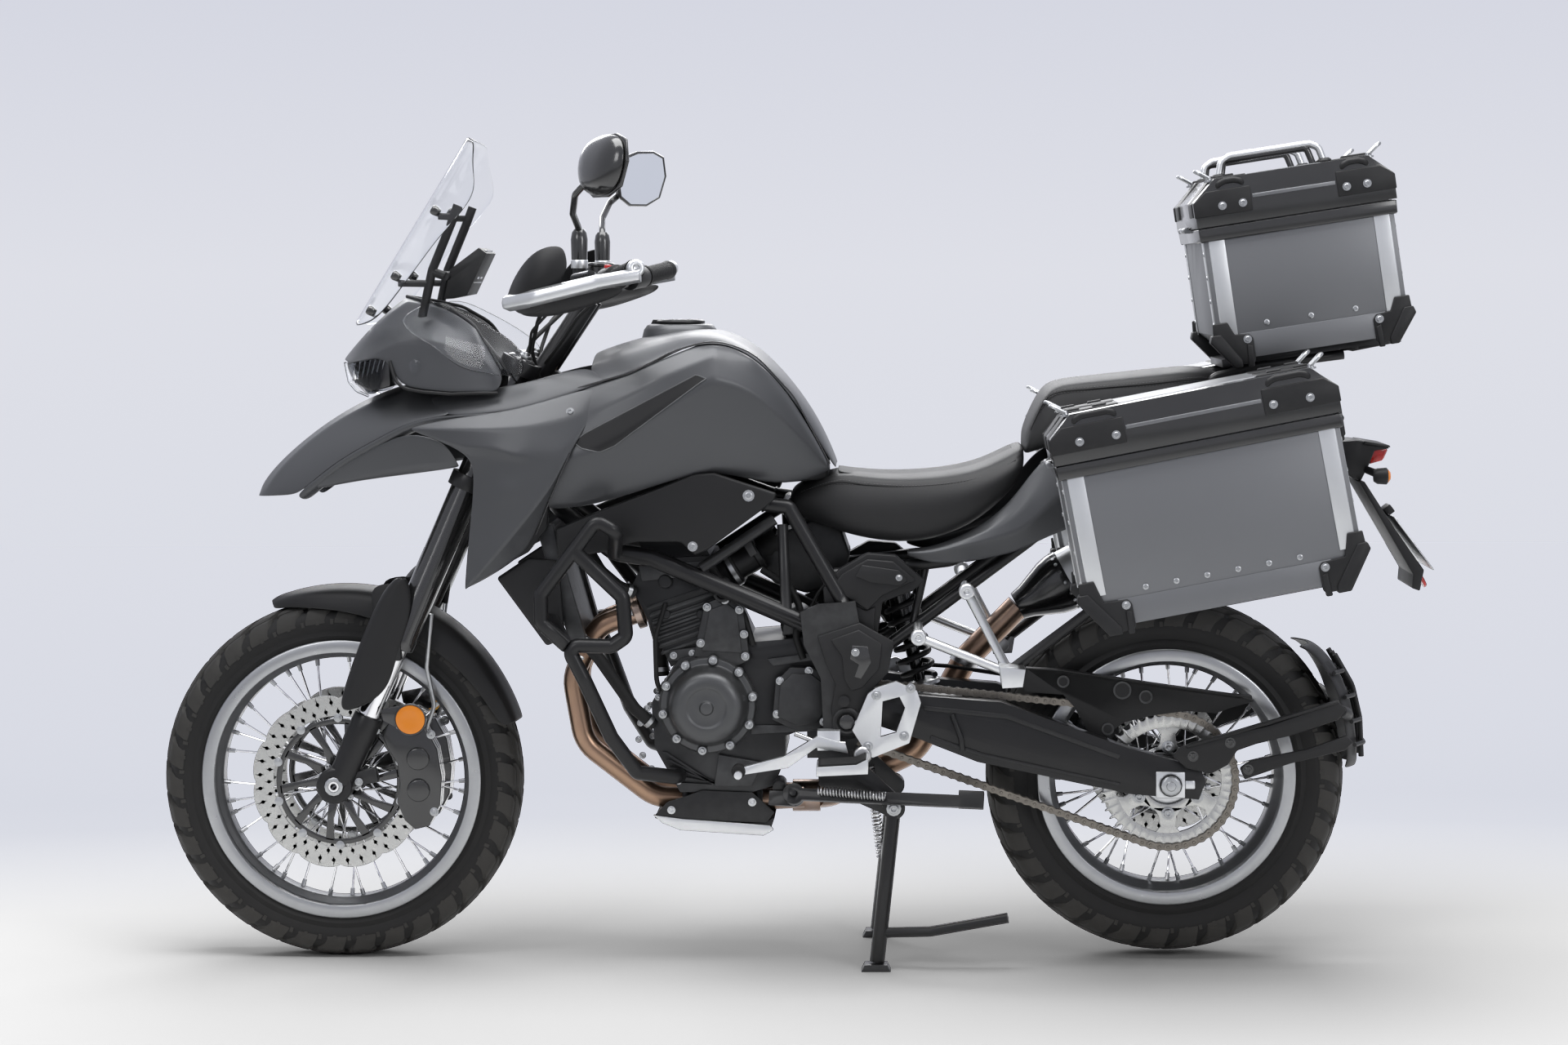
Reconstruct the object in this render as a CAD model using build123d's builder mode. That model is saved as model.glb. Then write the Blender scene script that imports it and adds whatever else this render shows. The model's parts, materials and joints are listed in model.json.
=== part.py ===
from build123d import *
import math
import os

os.makedirs("parts", exist_ok=True)

# An adventure motorcycle with two side cases and a top case, on its centre stand.
# X runs to the rear, Y to the right-hand side and Z up, all in millimetres.

# Wheels and chassis
FRONT_AXLE_X = -817
FRONT_TYRE_RADIUS = 330
FRONT_TYRE_HALF_WIDTH = 56
FRONT_RIM_RADIUS = 241
REAR_AXLE_X = 689
REAR_TYRE_RADIUS = 325
REAR_TYRE_HALF_WIDTH = 76
REAR_RIM_RADIUS = 218
REAR_WHEEL_LIFT = 10
RIM_FLANGE_HEIGHT = 16
FIT = 0.3

FRONT_AXLE_Z = FRONT_TYRE_RADIUS
REAR_AXLE_Z = REAR_TYRE_RADIUS + REAR_WHEEL_LIFT
AXLE_RADIUS = 10
AXLE_BORE = 6

# Steering
RAKE = 24.0
AXLE_TO_STEERING_AXIS = 43
HEAD_HEIGHT_ABOVE_AXLE = 742
LEG_OFFSET = 38
LEG_SPREAD = 105
LEG_RADIUS = 26
SLIDER_RADIUS = 20.5
STEM_RADIUS = 17
HEAD_TUBE_RADIUS = 30
HEAD_TOP = 72
HEAD_BOTTOM = -122

# Lanes beside the rear wheel
CHAIN_LINE = 98
ARM_INNER = 114
ARM_OUTER = 152
PLATE_INNER = 156
PLATE_OUTER = 170

# Transmission
CHAIN_PITCH = 15.875
REAR_TEETH = 48
FRONT_TEETH = 16
FRONT_SPROCKET_X = 30
FRONT_SPROCKET_Z = 486
PIVOT_X = 107
PIVOT_Z = 490
PIVOT_RADIUS = 10

# Wheels: hubs, spokes and discs
SPOKE_PAIRS = 18
SPOKE_SWEEP = 38
SPOKE_RADIUS = 2.2
SPOKE_PASS = 3
FRONT_HUB_HALF = 52
FRONT_HUB_RADIUS = 38
REAR_HUB_HALF = 80
REAR_HUB_RADIUS = 46
REAR_AXLE_RADIUS = 12
SPOKE_SEAT = 16.5
SPOKE_FOOT = 7
FRONT_DISC_LANE = 66
DISC_THICKNESS = 5
FRONT_DISC_RADIUS = 160
REAR_DISC_RADIUS = 130
DISC_BAND = 40
DISC_WAVES = 12
WAVE_DEPTH = 7
DISC_HOLE_RADIUS = 3.5
DISC_HOLES = 24

# Chain
SPROCKET_THICKNESS = 7
TOOTH_HEIGHT = 5
ROLLER_RADIUS = 5
CHAIN_GAP = 9.5
CHAIN_PLATE = 3.5
CHAIN_HEIGHT = 14

# Frame tubes
FRAME_LANE = 150
SPAR_RADIUS = 16
POST_RADIUS = 13.5
STRUT_RADIUS = 10
BEARING_GAP = 0.5
NOSE_STAY_REACH = 186
NOSE_STAY_RADIUS = 13
RAIL_LANE = 105
RAIL_RADIUS = 11

# Fork, clamps and handlebar
CLAMP_THICKNESS = 26
CLAMP_TOP_LEVEL = HEAD_TOP + 4
CLAMP_LOW_LEVEL = HEAD_BOTTOM - 4 - CLAMP_THICKNESS
RISER_LANE = 42
BAR_RADIUS = 11
BAR_POINTS = [(-352, 60, 1206), (-345, 150, 1222), (-300, 250, 1242), (-280, 300, 1246), (-240, 425, 1258)]
GRIP_RADIUS = 17
OUTER_TUBE_END = -463
SLIDER_END = -600
FORK_TOP = 108
FORK_CASTING_RADIUS = 25
AXLE_HALF = LEG_SPREAD + 28
CLAMP_WALL = 9
TURN_ROOM = LEG_SPREAD + LEG_RADIUS + CLAMP_WALL + 13
TURN_HUB_ROOM = 74
TURN_SIDE_ANGLE = 34
CONTROL_RADIUS = 21
LEVER_RADIUS = 6
CALIPER_SLOT = 16
FENDER_HALF = 70
FENDER_CLEARANCE = 24

# Engine and exhaust
ENGINE_HALF = 122
CYLINDER_HALF = 112
CYLINDER_LEAN = 19
CYLINDER_FOOT = (-148, 566)
FIN_COUNT = 7
FIN_PITCH = 14
FIN_THICKNESS = 4
FIN_RISE = 4
COVER_X = -138
COVER_Z = 478
PIPE_RADIUS = 19
LINK_RADIUS = 24
GUARD_RADIUS = 13
GUARD_LANE = 250

# Tank
TANK_SECTIONS = [
    (-395, 150, 905, 1082), (-300, 205, 850, 1130), (-190, 222, 872, 1151), (-90, 208, 892, 1150),
    (0, 165, 868, 1070), (62, 118, 868, 975), (97, 88, 872, 900),
]
CAP_X = -190
CAP_RADIUS = 46
CAP_SEAT = 1160
CAP_THICKNESS = 8

# Screen stays
SCREEN_STAY_LANE = 104
SCREEN_STAYS = [(110, 1236), (250, 1355)]

# Cases and racks
HINGE_X = -15
HINGE_RADIUS = 5
RACK_RADIUS = 9
RAIL_ROD_RADIUS = 6

# Stands
STAND_X = 195
STAND_Z = 292
STAND_LANE = 135
STAND_FOOT_X = 158
STAND_CROSS_HALF = 127.7

SIN = math.sin(math.radians(RAKE))
COS = math.cos(math.radians(RAKE))
HEAD_X = FRONT_AXLE_X + AXLE_TO_STEERING_AXIS * COS + HEAD_HEIGHT_ABOVE_AXLE * SIN
HEAD_Z = FRONT_AXLE_Z - AXLE_TO_STEERING_AXIS * SIN + HEAD_HEIGHT_ABOVE_AXLE * COS
STEERING = Plane(origin=(HEAD_X, 0, HEAD_Z), x_dir=(COS, 0, -SIN), z_dir=(SIN, 0, COS))


def steer(x, y, z):
    """World point of a point given along the steering axis."""
    return tuple(STEERING.from_local_coords(Vector(x, y, z)))


def axle_plane(x, z):
    """Sketch plane through an axle: first axis along the axle, second axis outward."""
    return Plane(origin=(x, 0, z), x_dir=(0, 1, 0), z_dir=(1, 0, 0))


def side(y):
    """Side-view sketch plane at the given Y: first axis X, second axis Z."""
    return Plane.XZ.offset(-y)


def slab(outline, y_from, y_to, taper=0, mode=Mode.ADD):
    """A plate cut to a side-view outline, from one Y to the other."""
    with BuildSketch(side(y_from)) as face:
        with BuildLine():
            Polyline(*outline, close=True)
        make_face()
    extrude(face.sketch, amount=y_from - y_to, taper=taper, mode=mode)


def tube(points, radius, bend=0):
    """A round bar or pipe bent along a route."""
    with BuildLine() as route:
        if len(points) == 2:
            Line(*points)
        else:
            FilletPolyline(*points, radius=bend)
    with BuildSketch(Plane(origin=route.line @ 0, z_dir=route.line % 0)) as section:
        Circle(radius)
    sweep(section.sketch, path=route.line)


def bar(start, end, radius, mode=Mode.ADD):
    """A straight round bar between two points."""
    direction = Vector(*end) - Vector(*start)
    with Locations(Plane(origin=start, z_dir=direction).location):
        Cylinder(radius, direction.length, align=(Align.CENTER, Align.CENTER, Align.MIN), mode=mode)


def cross_bar(x, z, y_from, y_to, radius, mode=Mode.ADD):
    """A round bar that lies along Y."""
    bar((x, y_from, z), (x, y_to, z), radius, mode)


def roof_loft(sections):
    """A blade-like panel: each section has a ridge in the middle and an edge on each side.
    Columns: x, half width, ridge z, edge z, depth of the panel."""
    sketches = []
    for x, half_width, ridge, edge, depth in sections:
        with BuildSketch(Plane.YZ.offset(x)) as cut:
            with BuildLine():
                Polyline(
                    (0, ridge), (half_width, edge), (half_width, edge - depth),
                    (0, ridge - depth), (-half_width, edge - depth), (-half_width, edge), close=True,
                )
            make_face()
        sketches.append(cut.sketch)
    loft(sketches, ruled=True)


def body_loft(sections, corner):
    """A rounded body along X. Columns: x, half width, lowest z, highest z."""
    sketches = []
    for x, half_width, low, high in sections:
        with BuildSketch(Plane.YZ.offset(x)) as cut:
            with Locations((0, (low + high) / 2)):
                RectangleRounded(2 * half_width, high - low, min(corner, (high - low) * 0.42))
        sketches.append(cut.sketch)
    loft(sketches)


def crowned(middle, edge, half):
    """A panel that falls from its middle outline to a smaller one on each side."""
    sketches = []
    for y, outline in ((-half, edge), (0, middle), (half, edge)):
        with BuildSketch(side(y)) as cut:
            with BuildLine():
                Polyline(*outline, close=True)
            make_face()
        sketches.append(cut.sketch)
    loft(sketches, ruled=True)


def save(builder, name):
    """Label a finished piece and write it."""
    builder.part.label = name
    export_step(builder.part, "parts/" + name + ".step")


def tyre_ring(x, z, radius, half_width, rim_radius):
    """A closed tyre section turned about its axle."""
    bead = half_width - 12
    flange = rim_radius + RIM_FLANGE_HEIGHT
    with BuildSketch(axle_plane(x, z)) as section:
        with BuildLine():
            Polyline((0, rim_radius + FIT), (bead, rim_radius + FIT), (bead, flange + 1))
            ThreePointArc((bead, flange + 1), (half_width, (flange + radius) / 2), (half_width - 9,
                radius - 16))
            ThreePointArc((half_width - 9, radius - 16), (half_width * 0.5, radius - 4), (0, radius))
            mirror(about=Plane.YZ)
        make_face()
    revolve(section.sketch, axis=Axis((x, 0, z), (0, 1, 0)))


def wire_wheel(x, z, half_width, rim_radius, hub_half, hub_radius, axle_radius):
    """Rim, hub and crossed spokes as one piece."""
    axis = Axis((x, 0, z), (0, 1, 0))
    bead = half_width - 12
    flange = rim_radius + RIM_FLANGE_HEIGHT
    with BuildSketch(axle_plane(x, z)) as section:
        with BuildLine():
            Polyline(
                (0, rim_radius - 12), (bead * 0.35, rim_radius - 12), (bead * 0.5, rim_radius),
                (bead + FIT, rim_radius), (bead + FIT, flange), (bead + 4, flange),
                (bead + 4, rim_radius - 6), (bead * 0.55, rim_radius - 6),
                (bead * 0.4, rim_radius - 18), (0, rim_radius - 18),
            )
            mirror(about=Plane.YZ)
        make_face()
        with BuildLine():
            Polyline(
                (0, axle_radius + FIT), (hub_half, axle_radius + FIT), (hub_half, hub_radius - 12),
                (hub_half - 14, hub_radius - 12), (hub_half - 14, hub_radius),
                (hub_half - 19, hub_radius), (hub_half - 30, hub_radius - 14), (0, hub_radius - 14),
            )
            mirror(about=Plane.YZ)
        make_face()
    revolve(section.sketch, axis=axis)
    for index in range(SPOKE_PAIRS * 2):
        flank = 1 if index % 2 else -1
        lead = 1 if index % 4 < 2 else -1
        start = math.radians(index * 180 / SPOKE_PAIRS)
        end = start + lead * math.radians(SPOKE_SWEEP)
        inner = hub_radius - 5
        outer = rim_radius - 14
        bar(
            (x + inner * math.cos(start), flank * (hub_half - SPOKE_SEAT) + lead * SPOKE_PASS,
             z + inner * math.sin(start)),
            (x + outer * math.cos(end), flank * SPOKE_FOOT + lead * SPOKE_PASS, z + outer * math.sin(end)),
            SPOKE_RADIUS,
        )


# Front wheel
with BuildPart() as front_tyre:
    tyre_ring(FRONT_AXLE_X, FRONT_AXLE_Z, FRONT_TYRE_RADIUS, FRONT_TYRE_HALF_WIDTH, FRONT_RIM_RADIUS)
save(front_tyre, "front_tyre")

with BuildPart() as front_rim:
    wire_wheel(FRONT_AXLE_X, FRONT_AXLE_Z, FRONT_TYRE_HALF_WIDTH, FRONT_RIM_RADIUS,
               FRONT_HUB_HALF, FRONT_HUB_RADIUS, AXLE_RADIUS)
save(front_rim, "front_rim")



def wave_disc(x, z, y, radius, hub_radius, waves):
    """A petal brake disc with its spider, lying in the plane at the given Y."""
    with BuildSketch(side(y + DISC_THICKNESS / 2)) as face:
        with BuildLine():
            step = 2 * math.pi / waves
            for k in range(waves):
                low = radius - WAVE_DEPTH
                ThreePointArc(
                    (x + low * math.cos(k * step), z + low * math.sin(k * step)),
                    (x + radius * math.cos((k + 0.5) * step), z + radius * math.sin((k + 0.5) * step)),
                    (x + low * math.cos((k + 1) * step), z + low * math.sin((k + 1) * step)),
                )
        make_face()
        with Locations((x, z)):
            Circle(radius - DISC_BAND, mode=Mode.SUBTRACT)
            Circle(hub_radius + 18)
            with PolarLocations(radius / 2, waves // 2):
                Rectangle(radius - 20, 20)
            Circle(hub_radius, mode=Mode.SUBTRACT)
            with PolarLocations(radius - DISC_BAND / 2, DISC_HOLES):
                Circle(DISC_HOLE_RADIUS, mode=Mode.SUBTRACT)
    extrude(face.sketch, amount=DISC_THICKNESS)


with BuildPart() as front_discs:
    for flank in (-1, 1):
        wave_disc(FRONT_AXLE_X, FRONT_AXLE_Z, flank * FRONT_DISC_LANE, FRONT_DISC_RADIUS, 24, DISC_WAVES)
        cross_bar(FRONT_AXLE_X, FRONT_AXLE_Z, flank * (FRONT_HUB_HALF + FIT), flank * (FRONT_DISC_LANE + 2),
                  25)
    cross_bar(FRONT_AXLE_X, FRONT_AXLE_Z, -100, 100, AXLE_RADIUS + FIT, mode=Mode.SUBTRACT)
save(front_discs, "front_discs")

# Rear wheel
with BuildPart() as rear_tyre:
    tyre_ring(REAR_AXLE_X, REAR_AXLE_Z, REAR_TYRE_RADIUS, REAR_TYRE_HALF_WIDTH, REAR_RIM_RADIUS)
save(rear_tyre, "rear_tyre")

with BuildPart() as rear_rim:
    wire_wheel(REAR_AXLE_X, REAR_AXLE_Z, REAR_TYRE_HALF_WIDTH, REAR_RIM_RADIUS,
               REAR_HUB_HALF, REAR_HUB_RADIUS, REAR_AXLE_RADIUS)
save(rear_rim, "rear_rim")

REAR_PITCH_RADIUS = CHAIN_PITCH / (2 * math.sin(math.pi / REAR_TEETH))
FRONT_PITCH_RADIUS = CHAIN_PITCH / (2 * math.sin(math.pi / FRONT_TEETH))


def tooth_outline(x, z, pitch_radius, teeth, phase=0):
    """Outline of a chain wheel: a gap at each whole step, a tooth between them."""
    step = 2 * math.pi / teeth
    points = []
    for k in range(teeth):
        for part, radius in ((-0.3, -ROLLER_RADIUS - 1), (0.3, -ROLLER_RADIUS - 1), (0.45, TOOTH_HEIGHT),
                             (0.55, TOOTH_HEIGHT)):
            angle = phase + (k + part) * step
            points.append((x + (pitch_radius + radius) * math.cos(angle),
                           z + (pitch_radius + radius) * math.sin(angle)))
    return points


with BuildPart() as rear_sprocket:
    with BuildSketch(side(-CHAIN_LINE + SPROCKET_THICKNESS / 2)) as face:
        with BuildLine():
            Polyline(*tooth_outline(REAR_AXLE_X, REAR_AXLE_Z, REAR_PITCH_RADIUS, REAR_TEETH), close=True)
        make_face()
        with Locations((REAR_AXLE_X, REAR_AXLE_Z)):
            with PolarLocations(82, 6):
                Circle(19, mode=Mode.SUBTRACT)
    extrude(face.sketch, amount=SPROCKET_THICKNESS)
    cross_bar(REAR_AXLE_X, REAR_AXLE_Z, -REAR_HUB_HALF - FIT, -CHAIN_LINE, 58)
    cross_bar(REAR_AXLE_X, REAR_AXLE_Z, -150, 0, REAR_AXLE_RADIUS + FIT, mode=Mode.SUBTRACT)
save(rear_sprocket, "rear_sprocket")

with BuildPart() as rear_disc:
    wave_disc(REAR_AXLE_X, REAR_AXLE_Z, CHAIN_LINE, REAR_DISC_RADIUS, 26, 10)
    cross_bar(REAR_AXLE_X, REAR_AXLE_Z, REAR_HUB_HALF + FIT, CHAIN_LINE, 30)
    cross_bar(REAR_AXLE_X, REAR_AXLE_Z, 0, 150, REAR_AXLE_RADIUS + FIT, mode=Mode.SUBTRACT)
save(rear_disc, "rear_disc")

# Drive chain: a fixed loop round both chain wheels, with the front one pressed in it
RUN_X = FRONT_SPROCKET_X - REAR_AXLE_X
RUN_Z = FRONT_SPROCKET_Z - REAR_AXLE_Z
CENTRES = math.hypot(RUN_X, RUN_Z)
RUN_ANGLE = math.atan2(RUN_Z, RUN_X)
WRAP = math.acos((REAR_PITCH_RADIUS - FRONT_PITCH_RADIUS) / CENTRES)


def on_circle(x, z, radius, angle):
    return (x + radius * math.cos(angle), z + radius * math.sin(angle))


def chain_band(spread):
    """Outline of the loop, moved out by spread from its pitch line."""
    rear = REAR_PITCH_RADIUS + spread
    front = FRONT_PITCH_RADIUS + spread
    rear_top, rear_far, rear_low = [
        on_circle(REAR_AXLE_X, REAR_AXLE_Z, rear, RUN_ANGLE + turn) for turn in (-WRAP, math.pi, WRAP)
    ]
    front_top, front_far, front_low = [
        on_circle(FRONT_SPROCKET_X, FRONT_SPROCKET_Z, front, RUN_ANGLE + turn) for turn in (-WRAP, 0, WRAP)
    ]
    ThreePointArc(rear_low, rear_far, rear_top)
    Line(rear_top, front_top)
    ThreePointArc(front_top, front_far, front_low)
    Line(front_low, rear_low)


def rollers():
    """Places of the rollers round the loop: on the gaps of the rear wheel, evenly along the runs."""
    step = 2 * math.pi / REAR_TEETH
    first = math.ceil((RUN_ANGLE + WRAP) / step)
    last = math.floor((RUN_ANGLE - WRAP + 2 * math.pi) / step)
    places = [on_circle(REAR_AXLE_X, REAR_AXLE_Z, REAR_PITCH_RADIUS, k * step) for k in range(first,
        last + 1)]
    top, low = RUN_ANGLE - WRAP, RUN_ANGLE + WRAP
    top_lead = ((RUN_ANGLE - WRAP + 2 * math.pi) - last * step) * REAR_PITCH_RADIUS
    low_lead = (first * step - (RUN_ANGLE + WRAP)) * REAR_PITCH_RADIUS
    straight = CENTRES * math.sin(WRAP)
    nose = 2 * WRAP * FRONT_PITCH_RADIUS
    total = top_lead + straight + nose + straight + low_lead
    count = round(total / CHAIN_PITCH)
    for k in range(1, count):
        s = k * total / count
        if s < top_lead:
            places.append(on_circle(REAR_AXLE_X, REAR_AXLE_Z, REAR_PITCH_RADIUS,
                                    last * step + s / REAR_PITCH_RADIUS))
            continue
        s -= top_lead
        if s < straight:
            a = on_circle(REAR_AXLE_X, REAR_AXLE_Z, REAR_PITCH_RADIUS, top)
            b = on_circle(FRONT_SPROCKET_X, FRONT_SPROCKET_Z, FRONT_PITCH_RADIUS, top)
            places.append((a[0] + (b[0] - a[0]) * s / straight, a[1] + (b[1] - a[1]) * s / straight))
            continue
        s -= straight
        if s < nose:
            places.append(on_circle(FRONT_SPROCKET_X, FRONT_SPROCKET_Z, FRONT_PITCH_RADIUS,
                                    top + s / FRONT_PITCH_RADIUS))
            continue
        s -= nose
        if s < straight:
            a = on_circle(FRONT_SPROCKET_X, FRONT_SPROCKET_Z, FRONT_PITCH_RADIUS, low)
            b = on_circle(REAR_AXLE_X, REAR_AXLE_Z, REAR_PITCH_RADIUS, low)
            places.append((a[0] + (b[0] - a[0]) * s / straight, a[1] + (b[1] - a[1]) * s / straight))
            continue
        s -= straight
        places.append(on_circle(REAR_AXLE_X, REAR_AXLE_Z, REAR_PITCH_RADIUS, low + s / REAR_PITCH_RADIUS))
    return places


with BuildPart() as chain:
    for flank in (-1, 1):
        y = -CHAIN_LINE + flank * (CHAIN_GAP + CHAIN_PLATE) / 2
        with BuildSketch(side(y + CHAIN_PLATE / 2)):
            with BuildLine():
                chain_band(CHAIN_HEIGHT / 2)
            make_face()
            with BuildLine():
                chain_band(-CHAIN_HEIGHT / 2)
            make_face(mode=Mode.SUBTRACT)
        extrude(amount=CHAIN_PLATE)
    with BuildSketch(side(-CHAIN_LINE + CHAIN_GAP / 2)) as pins:
        with Locations(*rollers()):
            RegularPolygon(ROLLER_RADIUS - 0.5, 6)
    extrude(amount=CHAIN_GAP)
    cross_bar(FRONT_SPROCKET_X, FRONT_SPROCKET_Z, -CHAIN_LINE - SPROCKET_THICKNESS / 2,
              -CHAIN_LINE + SPROCKET_THICKNESS / 2, FRONT_PITCH_RADIUS - 2)
save(chain, "chain")

# Main frame: head tube, spars, engine cradle tubes and pivot plates

with BuildPart() as main_frame:
    for flank in (-1, 1):
        y = flank * FRAME_LANE
        tube([(-495, flank * 24, 935), (-400, flank * 110, 830), (-302, y, 756), (-235, y, 745),
              (-86, y, 681),
              (50, y, 621)], SPAR_RADIUS, 40)
        tube([(-455, flank * 24, 1020), (-330, flank * 95, 950), (-29, flank * 130, 839), (9, flank * 132,
            834),
              (98, y, 680), (118, y, 640)], POST_RADIUS, 12)
        bar((-147, y, 726), (-16, flank * 132, 812), STRUT_RADIUS)
        bar((-2, flank * 133, 803), (5, y, 649), STRUT_RADIUS)
        slab([(30, 648), (60, 662), (128, 668), (140, 600), (132, 545), (146, 500), (142, 430), (120, 400),
              (82, 400), (70, 440), (66, 530), (36, 590)],
             flank * PLATE_INNER, flank * PLATE_OUTER)
    cross_bar(4, 834, -132, 132, STRUT_RADIUS)
    cross_bar(110, 590, -PLATE_INNER, PLATE_INNER, STRUT_RADIUS)
    bar(steer(-20, 0, 0), steer(-NOSE_STAY_REACH, 0, 0), NOSE_STAY_RADIUS)
    with Locations(STEERING):
        with Locations((0, 0, HEAD_BOTTOM)):
            Cylinder(HEAD_TUBE_RADIUS, HEAD_TOP - HEAD_BOTTOM, align=(Align.CENTER, Align.CENTER, Align.MIN))
            Cylinder(STEM_RADIUS + BEARING_GAP, HEAD_TOP - HEAD_BOTTOM,
                     align=(Align.CENTER, Align.CENTER, Align.MIN), mode=Mode.SUBTRACT)
    cross_bar(PIVOT_X, PIVOT_Z, -200, 200, PIVOT_RADIUS + FIT, mode=Mode.SUBTRACT)
save(main_frame, "main_frame")

# Steering: stem and clamps, fork legs, axle

with BuildPart() as triple_clamps:
    for level in (CLAMP_TOP_LEVEL, CLAMP_LOW_LEVEL):
        with BuildSketch(STEERING.offset(level)) as plan:
            with Locations((-LEG_OFFSET, LEG_SPREAD), (-LEG_OFFSET, -LEG_SPREAD)):
                Circle(LEG_RADIUS + CLAMP_WALL)
            with Locations((0, 0)):
                Circle(33)
            with Locations((-LEG_OFFSET * 0.6, 0)):
                Rectangle(40, 2 * LEG_SPREAD)
            with Locations((-LEG_OFFSET, LEG_SPREAD), (-LEG_OFFSET, -LEG_SPREAD)):
                Circle(LEG_RADIUS, mode=Mode.SUBTRACT)
        extrude(plan.sketch, amount=CLAMP_THICKNESS)
    bar(steer(0, 0, CLAMP_LOW_LEVEL), steer(0, 0, CLAMP_TOP_LEVEL + CLAMP_THICKNESS + 10), STEM_RADIUS)
    for flank in (-1, 1):
        bar(steer(-4, flank * RISER_LANE, CLAMP_TOP_LEVEL + 5), (-352, flank * RISER_LANE, 1206), 19)
    bar((-352, -RISER_LANE - 30, 1206), (-352, RISER_LANE + 30, 1206), BAR_RADIUS, mode=Mode.SUBTRACT)
save(triple_clamps, "triple_clamps")


with BuildPart() as fork_legs:
    for flank in (-1, 1):
        y = flank * LEG_SPREAD
        bar(steer(-LEG_OFFSET, y, OUTER_TUBE_END), steer(-LEG_OFFSET, y, FORK_TOP), LEG_RADIUS)
        bar(steer(-LEG_OFFSET, y, SLIDER_END), steer(-LEG_OFFSET, y, OUTER_TUBE_END), SLIDER_RADIUS)
        bar(steer(-LEG_OFFSET, y, -HEAD_HEIGHT_ABOVE_AXLE + 20), steer(-LEG_OFFSET, y, SLIDER_END),
            FORK_CASTING_RADIUS)
        cross_bar(FRONT_AXLE_X, FRONT_AXLE_Z, y - 20, y + 20, 30)
    cross_bar(FRONT_AXLE_X, FRONT_AXLE_Z, -AXLE_HALF, AXLE_HALF, AXLE_RADIUS)
    cross_bar(FRONT_AXLE_X, FRONT_AXLE_Z, -AXLE_HALF, AXLE_HALF, AXLE_BORE, mode=Mode.SUBTRACT)
save(fork_legs, "fork_legs")

# Handlebar with grips
with BuildPart() as handlebar:
    points = [(x, y, z) for x, y, z in BAR_POINTS]
    tube([(x, -y, z) for x, y, z in reversed(points)] + points, BAR_RADIUS, 24)
    for flank in (-1, 1):
        bar((-279, flank * 303, 1246.3), (-240, flank * 425, 1258), GRIP_RADIUS)
save(handlebar, "handlebar")


with BuildPart() as hand_controls:
    for flank in (-1, 1):
        bar((-302, flank * 246, 1241), (-282, flank * 294, 1245.4), CONTROL_RADIUS)
        tube([(-318, flank * 225, 1237), (-360, flank * 240, 1240), (-352, flank * 330, 1246),
              (-312, flank * 425, 1252)], LEVER_RADIUS, 20)
        bar((-338, flank * 190, 1231), (-308, flank * 246, 1241), 15)
        bar((-351, flank * 232, 1238), (-351, flank * 232, 1284), 12)
    add(handlebar.part, mode=Mode.SUBTRACT)
save(hand_controls, "hand_controls")

# Mirrors: stem and head on each side
with BuildPart() as mirrors:
    for flank in (-1, 1):
        tube([(-351, flank * 232, 1284.3), (-351, flank * 232, 1325), (-356, flank * 292, 1354),
              (-348, flank * 350, 1388), (-318, flank * 388, 1425)], 7, 14)
        head = Plane(origin=(-300, flank * 400, 1432), x_dir=(0.57, flank * 0.82, 0), z_dir=(-0.82,
            flank * 0.57, 0.18))
        with BuildSketch(head) as face:
            with BuildLine():
                Polyline((-72, 8), (-58, 46), (10, 52), (62, 40), (74, 6), (58, -38), (-10, -50),
                         (-60, -34), close=True)
            make_face()
        extrude(face.sketch, amount=24, taper=25)
save(mirrors, "mirrors")

# Hand guards: spine along the bar end and a deflector shell
with BuildPart() as hand_guards:
    for flank in (-1, 1):
        tube([(-232, flank * 432, 1260), (-300, flank * 446, 1240), (-420, flank * 425, 1212),
              (-452, flank * 350, 1206), (-430, flank * 300, 1210)], 9, 24)
        bar((-244, flank * 425.4, 1258), (-238, flank * 445, 1259), 14)
        with BuildSketch(Plane.XZ.offset(flank * 404)) as low:
            with BuildLine():
                Polyline((-462, 1216), (-425, 1262), (-372, 1276), (-356, 1240), (-440, 1178), close=True)
            make_face()
        with BuildSketch(Plane.XZ.offset(flank * 330)) as high:
            with BuildLine():
                Polyline((-474, 1216), (-440, 1272), (-424, 1276), (-412, 1240), (-455, 1178), close=True)
            make_face()
        loft([low.sketch, high.sketch], ruled=True)
    add(handlebar.part, mode=Mode.SUBTRACT)
    add(hand_controls.part, mode=Mode.SUBTRACT)
save(hand_guards, "hand_guards")

# Front fender, fork guards and calipers

with BuildPart() as front_fender:
    inner = FRONT_TYRE_RADIUS + FENDER_CLEARANCE
    with BuildSketch(axle_plane(FRONT_AXLE_X, FRONT_AXLE_Z)) as section:
        with BuildLine():
            ThreePointArc((-FENDER_HALF, inner - 20), (0, inner + 14), (FENDER_HALF, inner - 20))
            Line((FENDER_HALF, inner - 20), (FENDER_HALF, inner - 24))
            ThreePointArc((FENDER_HALF, inner - 24), (0, inner + 10), (-FENDER_HALF, inner - 24))
            Line((-FENDER_HALF, inner - 24), (-FENDER_HALF, inner - 20))
        make_face()
    revolve(section.sketch.rotate(Axis((FRONT_AXLE_X, 0, FRONT_AXLE_Z), (0, 1, 0)), -22),
            axis=Axis((FRONT_AXLE_X, 0, FRONT_AXLE_Z), (0, 1, 0)), revolution_arc=88)
    for flank in (-1, 1):
        slab([(-770, 600), (-690, 690), (-650, 640), (-700, 560)], flank * (FENDER_HALF - 4),
             flank * (LEG_SPREAD - LEG_RADIUS))
    for flank in (-1, 1):
        bar(steer(-LEG_OFFSET, flank * LEG_SPREAD, -700), steer(-LEG_OFFSET, flank * LEG_SPREAD, 100),
            LEG_RADIUS, mode=Mode.SUBTRACT)
save(front_fender, "front_fender")

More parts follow.
